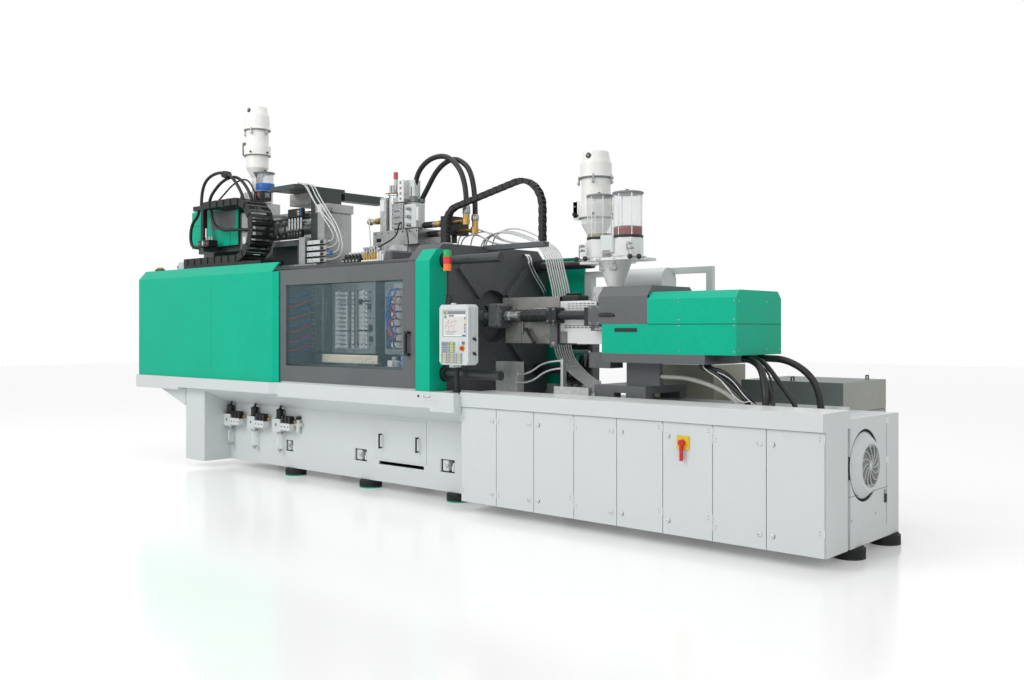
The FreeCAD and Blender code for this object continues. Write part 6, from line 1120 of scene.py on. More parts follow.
@dataclass
class MouldRoom(Assembly):
    """What shows behind the window of the sliding guard."""

    skin: float = -375.0
    cube_face: float = -376.0
    port_face: float = -379.0
    first_row: int = 1512
    insert_rows: int = 13
    insert_pitch: int = 50
    raised_columns: tuple[int, int] = (-1305, -870)
    raise_by: int = 12

    def cube_inserts(self) -> None:
        """Set rows of cavity inserts, screws and seams into the face of the cube."""
        cube = Fitting("cube_inserts", "cube")
        for row in range(self.insert_rows):
            for x, radius, kind in INSERT_COLUMNS:
                height = self.first_row + self.insert_pitch * row
                height += self.raise_by if x in self.raised_columns else 0
                cube.socket((x, self.cube_face, height), FRONT, radius, *kind.value)
                if kind is Insert.SLIDE:
                    # A strip of painted shade above the slide.
                    cube.block(INSIDE, (x - 12, x + 12), (self.skin - 3.5, self.skin),
                               (height + 18, height + 28), 1)
        for x in (-1380, -700):
            for height in (1480, 1830, 2190):
                cube.socket((x, self.cube_face, height), FRONT, 16)
        cube.block(STEEL, (-1410, -670), (self.port_face, self.skin), (2212, 2224))
        cube.block(IRON, (-1412, -1398), (-380, -374), (1490, 2200))
        for height in (1690, 2010):
            cube.block(IRON, (-1300, -1020), (self.port_face, self.skin), (height, height + 10))
            cube.block(BLACK, (-960, -730), (-384, self.skin), (height, height + 16))
        for x, height in ((-760, 1960), (-740, 1720), (-730, 1600), (-905, 2015)):
            cube.block(BLACK, (x - 28, x + 28), (-392, self.skin), (height - 32, height + 32), 8)
        cube.made()

    def left_mould_ports(self) -> None:
        """Add the water ports and screws of the moving mould half."""
        left = Fitting("left_mould_ports", "clamp_slide")
        left.block(STEEL, (-1710, -1585), (-384, self.port_face), (1460, 2200))
        for height in (1500, 1680, 1860, 2040, 2190):
            for x in (-1600, -1690):
                left.socket((x, -380, height - 20), FRONT, 10)
        left.block(IRON, (-1735, -1712), (-386, self.port_face), (1450, 2210))
        left.block(BLACK, (-1790, -1750), (-400, -380), (1820, 1960), 6)
        for height in LEFT_PORTS:
            left.union((-1740, -392, height), LEFT, 8, BRASS)
        left.made()

    def right_mould_ports(self) -> None:
        """Add the water ports, canister and connectors of the fixed mould half."""
        right = Fitting("right_mould_ports", "machine_frame")
        right.block(BLACK, (-470, -395), (-392, self.port_face), (1500, 2060), 4)
        for height in (1560, 1700, 1840, 1980):
            right.socket((-432, -392, height), FRONT, 9, "red_plastic")
        right.block(STEEL, (-350, -210), (-386, self.port_face), (1480, 2200))
        for column in PORT_COLUMNS:
            for row in range(9):
                right.union((column, -386, PORT_LOW + PORT_PITCH * row), FRONT, 8,
                            BRASS if (row + column) % 2 else STEEL)
        for row in range(6):
            low = 1520 + 110 * row
            right.block(WHITE, (-375, -352), (-400, self.port_face), (low, low + 50))
        right.turned("silicone_tube", (-250, -455, 1150), UP,
                     ((0, 60), (20, 66), (190, 66), (215, 60), (230, 30), (250, 28)), 28)
        right.block(WHITE, (-290, -210), (-528, -518), (1290, 1380))
        right.turned(STEEL, (-250, -455, 1390), UP, ((0, 40), (20, 40), (30, 24)), 20)
        right.block(BLUE, (-150, -90), (-470, -390), (1270, 1440), 5)
        for height in (1300, 1350, 1400):
            right.socket((-120, -470, height), FRONT, 18, WHITE, BLUE)
        for height in (1520, 1600, 1680):
            right.block("red_plastic", (-140, -100), (-440, -390), (height, height + 40), 4)
        right.made()

    def drip_tray(self) -> None:
        """Hang the drip tray under the cube."""
        tray = Fitting("drip_tray", "cube_slide")
        tray.block("cream_tray", (-1530, -560), (-440, -421), (1330, 1424), 6)
        tray.block("cream_tray", (-1528, -562), (-440, -380), (1330, 1340), 3)
        for x in range(-620, -900, -45):
            tray.socket((x, -440, 1352 + (x % 4) * 14), FRONT, 7, ZINC)
        tray.block(IRON, (-900, -620), (-436, -385), (1286, 1329), 6)
        for x in (-860, -800, -740, -680):
            tray.rod(BLACK, (x, -450, 1306), (x, -385, 1306), 14)
        tray.made()

    def rear_valves(self) -> None:
        """Stand the dark valves and cylinder behind the barrel."""
        rear = Fitting("rear_valves", "machine_frame")
        rear.block(IRON, (1120, 1560), (600, 760), (1046, 1180), 8)
        for index in range(4):
            x = 1160 + 100 * index
            rear.block(BLACK, (x, x + 78), (570, 700), (1180, 1310 + 24 * (index % 2)), 6)
            rear.socket((x + 39, 570, 1240), FRONT, 18, ZINC)
            rear.turned(
                CYLINDER, (x + 39, 640, 1310), UP, ((0, 34), (90, 34), (96, 24), (130, 24)), 28)
            rear.union((x + 39, 570, 1130), FRONT, 16)
        rear.rod(STEEL, (1120, 560, 1480), (1560, 560, 1480), 16)
        rear.rod(CYLINDER, (1180, 640, 1560), (1540, 640, 1560), 60)
        for x, low in ((1150, 1440), (1510, 1180)):
            rear.block(IRON, (x, x + 60), (590, 720), (low, 1640), 8)
        rear.made()

    def work_light(self) -> None:
        """Fix the work light under the roof of the guard."""
        lamp = Fitting("work_light", "machine_frame")
        lamp.block(GREY, (-1500, 300), (-800, -730), (2350, 2364), 3)
        lamp.block("lamp_white", (-1490, 290), (-795, -735), (2343, 2350), 2)
        lamp.made()


@dataclass
class TopEquipment(Assembly):
    """The fittings above the clamp."""

    coupling_top: int = 2720
    coupling_pitch: int = 70
    valve_pitch: int = 60

    def head_fittings(self) -> None:
        """Add couplings, valves, plates and clamps to the head beside the canopy."""
        head = Fitting("head_fittings", "clamp_slide")
        for index in range(4):
            height = self.coupling_top - self.coupling_pitch * index
            head.block(PALE, (-1880, -1640), (-386, -374), (height - 24, height + 24), 5)
            for x in (-1850, -1780):
                head.socket((x, -386, height), FRONT, 8)
            head.turned(
                BLACK, (-1905, -350, height), RIGHT, ((0, 20), (20, 34), (45, 34), (50, 25)), 20)
            head.turned(BLACK, (-1640, -350, height), RIGHT,
                        ((0, 30), (50, 30), (60, 22), (100, 20), (112, 13)), 20)
            head.turned(STEEL, (-1535, -350, height), RIGHT, ((0, 14), (10, 14), (14, 10)))
        head.block(BLUE, (-1500, -1440), (-372, -352), (2560, 2610), 5)
        head.block(WHITE, (-1818, -1740), (-284, -276), (3084, 3176), 4)
        for x, height in ((-1790, 3110), (-1705, 3060), (-1705, 2730), (-1790, 2730)):
            head.socket((x, -280, height), FRONT, 13)
        head.block(GREY, (-1720, -1600), (-262, -220), (3070, 3130), 6)
        head.union((-1600, -240, 3095), RIGHT, 9)
        for x in (-1985, -1960):
            head.socket((x, -352, 2760), FRONT, 9)
        for index in range(5):
            x = -2300 + 58 * index
            head.rod(STEEL, (x, -330, 2900), (x, -330, 2990), 16)
            head.union((x, -330, 2990), UP, 12)
            head.block(BLACK, (x - 22, x + 22), (-350, -300), (2800, 2890), 5)
            head.socket((x, -350, 2850), FRONT, 9)
        head.block(BLACK, (-2330, -2040), (-340, -290), (3040, 3150), 8)
        head.block("cream_plastic", (-2120, -2085), (-352, -338), (3060, 3130), 3)
        for height in (3070, 3095, 3120):
            head.rod(BRASS, (-2118, -353, height), (-2075, -353, height), 8)
        head.block(BLUE, (-2072, -2050), (-352, -338), (3060, 3130), 3)
        for x, y in ((-2022, -380), (-2012, -320), (-2022, -415), (-2017, -280)):
            head.turned(STEEL, (x, y, 3424), RIGHT, ((0, 10), (10, 14), (34, 14), (38, 10)), 16)
            head.block(STEEL, (x + 2, x + 26), (y - 12, y + 12), (3399, 3416), 2)
        head.made()

    def manifold_fittings(self) -> None:
        """Add cylinders, valves, screws and unions to the top manifold and its pipes."""
        top = Fitting("manifold_fittings", "cube_slide")
        top.turned(
            "tie_bar_chrome", (-818, 40, 2800), UP,
            ((0, 66), (6, 72), (18, 72), (24, 66), (412, 66), (418, 72), (434, 72), (438, 68)), 36)
        top.block(BRASS, (-895, -742), (-36, 116), (3238, 3248), 2)
        top.block(ZINC, (-985, -886), (-36, 110), (2815, 3200), 5)
        top.block(WHITE, (-980, -905), (-41, -35), (3050, 3175), 2)
        for x in (-842, -796):
            top.rod(STEEL, (x, 0, 3247), (x, 0, 3335), 15)
        for height in range(2860, 3160, 70):
            for x in (-1080, -1005):
                top.socket((x, 69, height), FRONT, 12)
        top.turned(
            BRASS, (-1105, 150, 2970), LEFT,
            ((0, 34), (50, 34), (54, 28), (80, 28), (84, 38), (130, 38), (136, 30), (160, 30)))
        ribs = [step for start in range(0, 60, 12) for step in ((start, 25), (start + 4, 32))]
        top.turned(STEEL, (-1262, 150, 2970), LEFT, [*ribs, (62, 25)])
        top.turned(BRASS, (-1322, 150, 2970), LEFT,
                   ((0, 26), (14, 30), (30, 38), (48, 41), (66, 38), (80, 28), (86, 16)))
        top.block(WHITE, (-655, -565), (-58, -39), (3125, 3378), 5)
        for height in (3160, 3220, 3280, 3340):
            top.block(GREY, (-625, -598), (-60, -57), (height - 14, height + 14), 2)
        top.block(PALE, (-560, -470), (20, 110), (3185, 3370), 6)
        top.block(ZINC, (-742, -655), (-56, 60), (3124, 3180), 4)
        top.block(STEEL, (-748, -566), (-70, -39), (2830, 3112), 4)
        for height in (2850, 2900, 2950, 3000, 3050, 3095):
            for x in (-730, -585):
                top.socket((x, -70, height), FRONT, 9)
        for height in (2890, 2960, 3030):
            for x in (-690, -660, -630):
                top.turned(STEEL, (x, -70, height), FRONT, ((0, 13), (9, 13), (12, 9)), 16)
                # Painted shade in the screw head's slot.
                top.block(INSIDE, (x - 9, x + 9), (-83, -81), (height - 2, height + 2), 1)
        top.block(PALE, (-560, -370), (-50, 90), (2830, 3090), 6)
        for height in (2860, 2950, 3040):
            top.union((-465, -50, height), FRONT, 16)
        top.block(WHITE, (-372, -340), (-46, -10), (2900, 3050), 4)
        for x in range(-1060, -360, 116):
            top.socket((x, -40, 2795), FRONT, 13)
        # A patch of painted shade on the manifold's face.
        top.block(INSIDE, (-1040, -960), (-42, -39), (2700, 2740), 4)
        for right, y, height in ((334, 60, 2855), (377, 150, 2765)):
            top.turned("rubber_hose", (-345, y, height), RIGHT, ((0, 36), (150, 36), (154, 30)))
            top.turned(STEEL, (-192, y, height), RIGHT, ((0, 40), (28, 40), (32, 30)), 6)
            top.turned(
                BRASS, (-160, y, height), RIGHT,
                ((0, 31), (40, 31), (46, 38), (86, 38), (92, 28), (120, 28)))
            top.turned(BRASS, (right - 46, y, height - 36), UP, ((0, 37), (70, 37), (74, 30)))
        for finish, place, steps in (
                (STEEL, (300, 60, 2930), ((0, 37), (12, 42), (60, 42), (90, 36))),
                (STEEL, (343, 150, 2860), ((0, 37), (12, 42), (52, 42), (70, 36))),
                (GREY, (-518, 60, 3125), ((0, 36), (8, 42), (170, 42), (178, 36))),
                (GREY, (-490, 150, 3125), ((0, 36), (8, 40), (40, 40), (44, 34)))):
            top.turned(finish, place, UP, steps)
        top.made()

    def bridge_valves(self) -> None:
        """Stand the small valves along the front of the bridge."""
        bridge = Fitting("bridge_valves", "cube_slide")
        bridge.block(DARK, (-480, -360), (-415, -100), (2440, 2560), 20)
        bridge.block(BLACK, (-1200, -900), (-410, -330), (2440, 2500), 5)
        for index in range(5):
            x = -1175 + self.valve_pitch * index
            bridge.turned(
                BLACK, (x, -370, 2500), UP, ((0, 22), (26, 22), (34, 16), (44, 16), (50, 9)), 20)
            bridge.turned(STEEL, (x, -411, 2470), FRONT, ((0, 14), (8, 14), (12, 9)), 6)
            bridge.block(WHITE, (x - 20, x + 20), (-320, -290), (2440, 2575), 4)
        bridge.block("cream_plastic", (-880, -620), (-400, -340), (2440, 2470), 4)
        for index in range(6):
            x = -860 + 44 * index
            bridge.turned(
                BRASS, (x, -370, 2470), UP, ((0, 15), (40, 15), (44, 11), (80, 11), (84, 8)), 6)
            bridge.rod("clear_hose", (x, -370, 2553), (x, -370, 2600), 9)
            bridge.turned(STEEL, (x, -370, 2598), UP, ((0, 12), (14, 12), (18, 7)), 12)
        for x in (-600, -560, -520):
            bridge.block(WHITE, (x - 14, x + 14), (-400, -340), (2440, 2560 - (x % 7) * 8), 4)
            bridge.screw((x, -370, 2562 - (x % 7) * 8), UP, 7)
        bridge.made()


@dataclass
class VacuumLoader:
    """A vacuum loader: its axis, the top of its cap, and its clamp ring and collar below that."""

    at: tuple[float, float]
    top: float
    ring_drop: float
    collar_drop: float
    drum: float = 166.0

    def dress(self, piece: Fitting) -> None:
        """Add the loader's clamp rings, latches, knobs and sensor.

        Args:
            piece: The fitting that gets them.
        """
        x, y = self.at
        ring_low, collar_low = self.top - self.ring_drop, self.top - self.collar_drop
        piece.turned(
            GREY, (x, y, ring_low - 2), UP, ((0, 160), (2, 168), (8, 171), (14, 168), (18, 160)),
            64)
        piece.turned(
            GREY, (x, y, collar_low - 6), UP, ((0, 160), (3, 171), (10, 171), (12, 160)), 64)
        for angle in (-150, -62, 10, 100):
            turn = math.radians(angle)
            out = (math.cos(turn), math.sin(turn), 0.0)
            spot, foot, low = ((x + reach * out[0], y + reach * out[1]) for reach in
                               (self.drum, self.drum - 6, self.drum + 2))
            piece.turned(STEEL, (*spot, ring_low - 62), UP, ((0, 7), (4, 9), (90, 9), (94, 6)), 12)
            piece.turned(STEEL, (*foot, ring_low - 40), out, ((0, 16), (18, 16), (22, 11)), 6)
            piece.knob((*low, collar_low + 30), out, 14)
        sensor = (0.05, -1.0, 0.18)
        piece.turned(
            BLACK, (x + 10, y - 128, self.top - 48), sensor, ((0, 26), (12, 27), (14, 22)), 28)
        piece.turned(
            GREY, (x + 10.6, y - 141, self.top - 45.6), sensor, ((0, 15), (4, 15), (5, 11)), 24)


@dataclass
class SecondUnit(Assembly):
    """The second injection unit, the connectors beside it and its loader."""

    crown: tuple[float, float] = (-3145.0, -100.0)
    loader: VacuumLoader = field(default_factory=lambda: VacuumLoader(
        (-3320.0, -100.0), 4556.0, ring_drop=299, collar_drop=619))

    def unit_two_fittings(self) -> None:
        """Add the seams, hose tie and valve block of the second unit."""
        unit = Fitting("unit_two_fittings", "clamp_slide")
        unit.block(INSIDE, (-4530, -4230), (-321.5, -319), (3083, 3087), 1)
        unit.block(INSIDE, (-3603, -3598), (-321.5, -319), (2795, 3000), 1)
        unit.block(DARK, (-4060, -3490), (-325, -319), (3010, 3250), 3)
        for x in (-4040, -3510):
            for height in (3030, 3230):
                unit.screw((x, -325, height), FRONT, 5)
        unit.turned(BLACK, (-3680, -372, 3712), (1.0, 0.12, -0.22),
                    ((0, 34), (8, 46), (60, 50), (112, 46), (120, 34)))
        unit.block(BLACK, (-4010, -3760), (-540, -400), (2770, 2860), 8)
        for index in range(4):
            x = -3980 + 62 * index
            unit.turned(
                STEEL, (x, -470, 2860), UP, ((0, 17), (16, 17), (22, 12), (46, 12), (50, 8)), 6)
            unit.socket((x, -540, 2815), FRONT, 11, ZINC)
        unit.block(WHITE, (-3905, -3885), (-546, -536), (2790, 2850), 3)
        unit.turned("tie_bar_chrome", (-3930, -470, 2900), UP, ((0, 13), (120, 13), (124, 9)))
        unit.block(WHITE, (-3100, -3040), (-460, -420), (2770, 2860), 5)
        for x in (-2690, -2560, -2430):
            for height in (2830, 3010):
                unit.screw((x, -320, height), FRONT, 9)
        unit.made()

    def roof_connectors(self) -> None:
        """Stand the connectors on the guard roof at the end of the energy chain."""
        roof = Fitting("roof_connectors", "machine_frame")
        roof.block(PALE, (-4330, -4190), (-640, -500), (2470, 2590), 12)
        roof.turned(ZINC, (-4340, -570, 2530), LEFT, ((0, 50), (30, 50), (36, 40)))
        roof.turned(BLUE, (-4370, -570, 2530), LEFT, ((0, 38), (40, 38), (90, 12), (96, 6)))
        roof.block(BLACK, (-4640, -4480), (-800, -740), (2470, 2500), 5)
        for index in range(4):
            roof.turned(
                BRASS, (-4620 + 40 * index, -770, 2500), UP, ((0, 14), (18, 14), (22, 9)), 6)
        roof.made()

    def loader_two_fittings(self) -> None:
        """Add the cup, display and knobs of the upper loader."""
        loader = Fitting("loader_two_fittings", "clamp_slide")
        for finish, low, steps in (
                (BLUE, 3462, ((0, 116), (4, 118), (94, 118), (98, 116))),
                ("cup_shell", 3560, ((0, 103), (4, 106), (126, 106), (130, 103))),
                (GREY, 3688, ((0, 118), (4, 124), (14, 124), (20, 112), (30, 20)))):
            loader.turned(finish, (*self.crown, low), UP, steps, 48)
        loader.knob((*self.crown, 3716), UP, 16)
        loader.block(BLACK, (-3182, -3010), (-248, -98), (3338, 3456), 8)
        loader.block("screen_dark", (-3160, -3040), (-251, -247), (3368, 3436), 2)
        for index, (column, row) in enumerate(((0, 0), (0, 1), (1, 1), (2, 0), (2, 1))):
            x, low = -3140 + 26 * column + 6 * (index % 2), 3382 + 24 * row
            loader.block("lamp_red", (x, x + 14), (-252.5, -250.5), (low, low + 14), 1)
        loader.block(GREY, (-3010, -3004), (-200, -130), (3370, 3430), 1)
        loader.screw((-3004, -160, 3400), RIGHT, 9)
        loader.knob((-3432, -242, 3400), FRONT, 22)
        self.loader.dress(loader)
        loader.block(DARK, (-3566, -3470), (-168, -60), (3960, 4130), 8)
        loader.block("lamp_red", (-3545, -3500), (-170, -167), (4040, 4075), 1)
        loader.made()


@dataclass
class DosingStation(Assembly):
    """The hoppers above the throat and the lower vacuum loader."""

    loader: VacuumLoader = field(default_factory=lambda: VacuumLoader(
        (1900.0, 220.0), 3420.0, ring_drop=259, collar_drop=639))

    def loader_one_fittings(self) -> None:
        """Add the box and knobs of the lower loader."""
        loader = Fitting("loader_one_fittings", "injection_slide")
        self.loader.dress(loader)
        loader.block(PALE, (1655, 1720), (165, 275), (2790, 2960), 8)
        loader.knob((1690, 163, 2830), FRONT, 20)
        loader.rod(GREY, (1690, 166, 2905), (1690, 140, 2905), 10)
        loader.made()

    def station_fittings(self) -> None:
        """Add housings, bands, rods, pellets, lids and latches of the hoppers."""
        station = Fitting("station_fittings", "injection_slide")
        for x, radius, height, pellets, depth in ((2205, 120, 2555, "yellow_pellets", 30),
                                                  (2520, 134, 2555, "brown_pellets", 78)):
            inner = radius - 9
            station.turned(
                pellets, (x, -120, height), UP,
                ((0, inner), (depth, inner), (depth + 5, inner - 30), (depth + 2, 20)), 48)
            station.turned(
                BLACK, (x, -120, 2534), UP,
                ((0, radius + 1), (3, radius + 3), (18, radius + 3), (21, radius + 1)), 48)
            station.turned(
                GREY, (x, -120, 2926), UP, ((0, radius + 2), (3, radius + 7), (14, radius + 7),
                (20, radius - 4), (24, radius - 20)), 64)
            station.knob((x - 10, -120, 2946), UP, 17)
            for angle in (-150, -95, -40, 60, 150):
                turn = math.radians(angle)
                spot = (x + (radius - 4) * math.cos(turn), -120 + (radius - 4) * math.sin(turn))
                station.rod("tie_bar_chrome", (*spot, 2540), (*spot, 2930), 5, 12)
            station.turned(WHITE, (x, -120, 2362), UP,
                           ((0, radius - 4), (6, radius + 6), (166, radius + 6), (172, radius)), 8)
        station.block(PALE, (2310, 2450), (-262, -190), (2400, 2560), 8)
        station.block(GREY, (2340, 2420), (-266, -261), (2410, 2420), 2)
        station.block(WHITE, (2035, 2100), (-190, -80), (2380, 2500), 6)
        for x, height in ((2120, 2470), (2120, 2430), (2650, 2470), (2668, 2430)):
            station.turned(
                STEEL, (x, -250, height), FRONT, ((0, 10), (30, 10), (34, 15), (60, 15), (64, 10)),
                12)
            station.rod(STEEL, (x - 22, -290, height - 60), (x - 22, -290, height), 7)
        for x, y in ((2062, -290), (2170, -300), (2668, -300), (2715, -230)):
            station.turned(STEEL, (x, y + 90, 2352), FRONT, ((0, 9), (70, 9)), 12)
            station.knob((x, y + 24, 2352), FRONT, 24)
        for x in (2130, 2290, 2450, 2610):
            station.screw((x, -236, 2348), FRONT, 6)
        for x in (2230, 2350):
            station.block(STEEL, (x - 34, x + 34), (-130, -90), (2250, 2330), 6)
        station.made()


@dataclass
class InjectionUnit(Assembly):
    """The injection unit, its guards and its platen."""

    drive_height: float = 1840.0
    drive_offset: float = -280.0

    def platen_fittings(self) -> None:
        """Add bosses and screws to the injection platen."""
        platen = Fitting("platen_fittings", "machine_frame")
        platen.block(IRON, (1010, 1165), (-372, -190), (1722, 1962), 22)
        for y in (-350, -212):
            for height in (1748, 1805, 1875, 1936):
                platen.screw((1165, y, height), RIGHT, 13, IRON)
        for x in (1035, 1138):
            for height in (1748, 1936):
                platen.socket((x, -372, height), FRONT, 13, IRON)
        platen.made()

    def drive_fittings(self) -> None:
        """Add nuts, rings, screws and blocks along the traverse cylinder."""
        drive = Fitting("drive_fittings", "injection_slide")
        y, axis = self.drive_offset, self.drive_height
        drive.turned(STEEL, (1180, y, axis), RIGHT, ((0, 44), (5, 50), (60, 50), (66, 44)), 6)
        drive.turned(
            STEEL, (1246, y, axis), RIGHT, ((0, 38), (70, 38), (74, 46), (118, 46), (122, 38)))
        for x in (1440, 1500, 1560, 1620):
            drive.turned(CYLINDER, (x, y, axis), RIGHT, ((0, 59), (3, 62), (18, 62), (21, 59)), 40)
        drive.block(CYLINDER, (1740, 1860), (-352, -205), (1765, 1915), 10)
        for height in (1785, 1895):
            for x in (1765, 1835):
                drive.socket((x, -352, height), FRONT, 10)
        drive.block(STEEL, (1560, 1760), (-292, -268), (1900, 1912), 4)
        drive.block(IRON, (2235, 2375), (-352, -205), (1735, 1925), 12)
        for height in (1760, 1900):
            for x in (2262, 2348):
                drive.socket((x, -352, height), FRONT, 13)
        drive.made()

    def barrel_cover_fittings(self) -> None:
        """Add vent slots, the hinge bracket and plugs of the barrel shroud."""
        vents = Fitting("barrel_cover_fittings", "injection_slide")
        vents.block(WHITE, (1870, 2230), (-206, -200), (1890, 1968), 3)
        for rows, low, rise, count, left, pitch, face in ((3, 1904, 20, 7, 1892, 46, -205),
                                                          (2, 1722, 18, 8, 1850, 48, -200)):
            for row in range(rows):
                height = low + rise * row
                for x in range(left, left + pitch * count, pitch):
                    # Each vent slot is a strip of painted shade.
                    vents.block(
                        INSIDE, (x, x + pitch - 12), (face - 3, face), (height, height + 6), 1)
        vents.block(GREY, (1802, 1885), (-207, -200), (1580, 1690), 3)
        vents.block(BLACK, (1800, 2000), (-206, -200), (1568, 1580), 3)
        vents.block(DARK, (1700, 1790), (-245, -222), (1540, 1800), 8)
        for height, radius in ((1575, 14), (1765, 9)):
            vents.screw((1745, -245, height), FRONT, radius)
        for x in (1830, 2380):
            vents.screw((x, -200, 1700), FRONT, 6)
        vents.block(BLACK, (1790, 1990), (-180, 0), (1975, 2030), 12)
        for index in range(5):
            vents.turned(
                BLACK, (1810 + 38 * index, -100, 2028), UP, ((0, 16), (18, 18), (26, 12)), 16)
        vents.made()

    def lower_guard_fittings(self) -> None:
        """Add the lever handle, seam and screws of the lower barrel guard."""
        lower = Fitting("lower_guard_fittings", "lower_guard")
        lower.block(INSIDE, (1328, 1331), (-223.5, -221.5), (1565, 1780), 1)
        for x in (1120, 1310, 1350, 1770):
            for height in (1580, 1765):
                lower.screw((x, -222, height), FRONT, 5)
        lower.turned(BLACK, (1400, -236, 1712), (0.62, 0.0, -0.78),
                     ((0, 11), (6, 15), (150, 13), (176, 15), (182, 10)), 20)
        for x, height, radius in ((1403, 1708, 19), (1502, 1584, 17)):
            lower.rod(BLACK, (x, -222, height), (x, -248, height), radius)
        lower.made()

    def upper_guard_fittings(self) -> None:
        """Add the seam and screws of the upper barrel guard."""
        upper = Fitting("upper_guard_fittings", "injection_slide")
        upper.block(STEEL, (1225, 1232), (-203.5, -200), (1897, 2016), 1)
        for x in (1100, 1210, 1260, 1760):
            for height in (1910, 2005):
                upper.screw((x, -200, height), FRONT, 5)
        upper.made()

    def cover_fittings(self) -> None:
        """Add seams, the bare plate, the handle and screws of the injection cover."""
        covers = Fitting("cover_fittings", "injection_slide")
        covers.block(INSIDE, (2905, 3758), (-381.2, -379.4), (1752, 1757), 1)
        covers.block(BLACK, (2560, 2800), (-384, -380), (1688, 1722), 3)
        for x in (3220, 3740):
            for height in (1530, 1740, 1790, 1940):
                covers.screw((x, -380, height), FRONT, 5)
        for y in (-340, 130, 340):
            for height in (1540, 1940):
                covers.screw((3760, y, height), RIGHT, 5)
        covers.block(INSIDE, (3757, 3760.8), (-379, 379), (1752, 1757), 1)
        # Painted shade in the recess behind the handle.
        covers.block(INSIDE, (2405, 2560), (-374, -366), (1815, 1850), 4)
        covers.rod(BLACK, (2395, -386, 1834), (2556, -386, 1834), 12)
        for x in (2398, 2470, 2553):
            covers.rod(BLACK, (x, -386, 1834), (x, -372, 1834), 9)
        for x in (2420, 2560, 2860):
            covers.turned(BLACK, (x, -250, 2088), UP, ((0, 9), (8, 9), (10, 5)), 12)
        covers.made()


SCREEN_SHAPES = (("green", (1036, 1058), (1856, 1876)), ("yellow", (1062, 1076), (1856, 1876)),
                 ("grey", (1096, 1160), (1828, 1842)), ("pale", (1170, 1306), (1828, 1846)),
                 ("green", (1036, 1064), (1812, 1840)))
CHART_LINES = ((1070, 1778, 30), (1094, 1790, 18), (1130, 1782, 40), (1176, 1792, 30),
               (1056, 1748, 26), (1090, 1736, 44), (1150, 1744, 26))
KEY_GROUPS = ((1003, 1498, ("slate",) * 4), (1096, 1498, ("green", "yellow", "yellow", "green")),
              (1000, 1397, ("slate", "straw", "yellow", "slate")),
              (1094, 1397, ("slate", "rose", "straw", "slate")),
              (1190, 1397, ("slate", "straw", "straw", "slate")))


@dataclass
class ControlPanel(Assembly):
    """The face of the control panel."""

    face: float = -980.0
    key_rows: int = 5

    def panel_face(self) -> None:
        """Draw the screen, keys, latches and collars of the control panel."""
        panel = Fitting("panel_face", "panel")
        face = self.face
        glow = face + 0.6
        ink = (glow - 0.4, glow)
        panel.block("screen_pale", (1018, 1322), (face + 1.0, face + 3.2), (1643, 1887), 1)
        panel.block("key_grey", (1028, 1312), (glow, face + 1.4), (1850, 1880), 1)
        for tone, x, height in SCREEN_SHAPES:
            panel.block(f"key_{tone}", x, ink, height, 1)
        thin = (glow - 0.3, glow)
        for x, height, length in CHART_LINES:
            panel.block("key_red", (x, x + length), thin, (height, height + 3), 0.2)
            panel.block("key_red", (x, x + 3), thin, (height - 36, height), 0.2)
        for row in range(3):
            low = 1690 - 14 * row
            panel.block("key_grey", (1060, 1200 - 22 * row), thin, (low, low + 4), 0.2)
        for row in range(5):
            low = 1800 - 30 * row
            panel.block(
                "key_yellow" if row == 1 else "key_grey", (1296, 1314), ink, (low, low + 22), 1)
        for finish, x in (("key_blue", (1270, 1314)), ("key_pale", (1030, 1262))):
            panel.block(finish, x, ink, (1647, 1659), 1)
        for left, low, tones in KEY_GROUPS:
            panel.block(
                "key_bed", (left - 4, left + 84), (face - 1.2, face + 1), (low - 4, low + 96), 2)
            for column, tone in enumerate(tones):
                for row in range(self.key_rows):
                    x, height = left + 21 * column, low + 19 * row
                    panel.block(
                        f"key_{tone}", (x, x + 16), (face - 6.5, face), (height, height + 13), 2)
        panel.turned(
            "yellow_paint", (1275, face - 0.2, 1535), FRONT, ((0, 30), (1.6, 30), (2, 27)), 36)
        panel.turned("key_slate", (1290, face, 1585), FRONT, ((0, 17), (8, 17), (12, 13)), 28)
        panel.turned("key_blue", (1290, face - 12, 1585), FRONT, ((0, 10), (3, 10), (4, 7)), 20)
        for height in (1590, 1568):
            panel.rod(STEEL, (1228, face + 1, height), (1228, face - 4, height), 5)
        for height in (1488, 1622):
            panel.block(BLACK, (1349, 1372), (-925, -900), (height - 12, height + 12), 4)
            panel.rod(BLACK, (1366, -912, height), (1366, -890, height - 16), 8)
        for y in (-952, -880):
            panel.block("key_bed", (1349.5, 1351), (y - 1.5, y + 1.5), (1400, 1920), 0.3)
        panel.block(PALE, (1085, 1125), (-945, -905), (1939, 1956), 6)
        panel.turned(
            BLACK, (1030, -900, 1940), UP,
            ((0, 30), (14, 30), (22, 22), (60, 22), (66, 17), (90, 17)), 28)
        panel.turned(
            BLACK, (995, -900, 1945), UP,
            ((0, 26), (10, 26), (16, 21), (54, 21), (60, 17), (90, 17)), 28)
        panel.made()


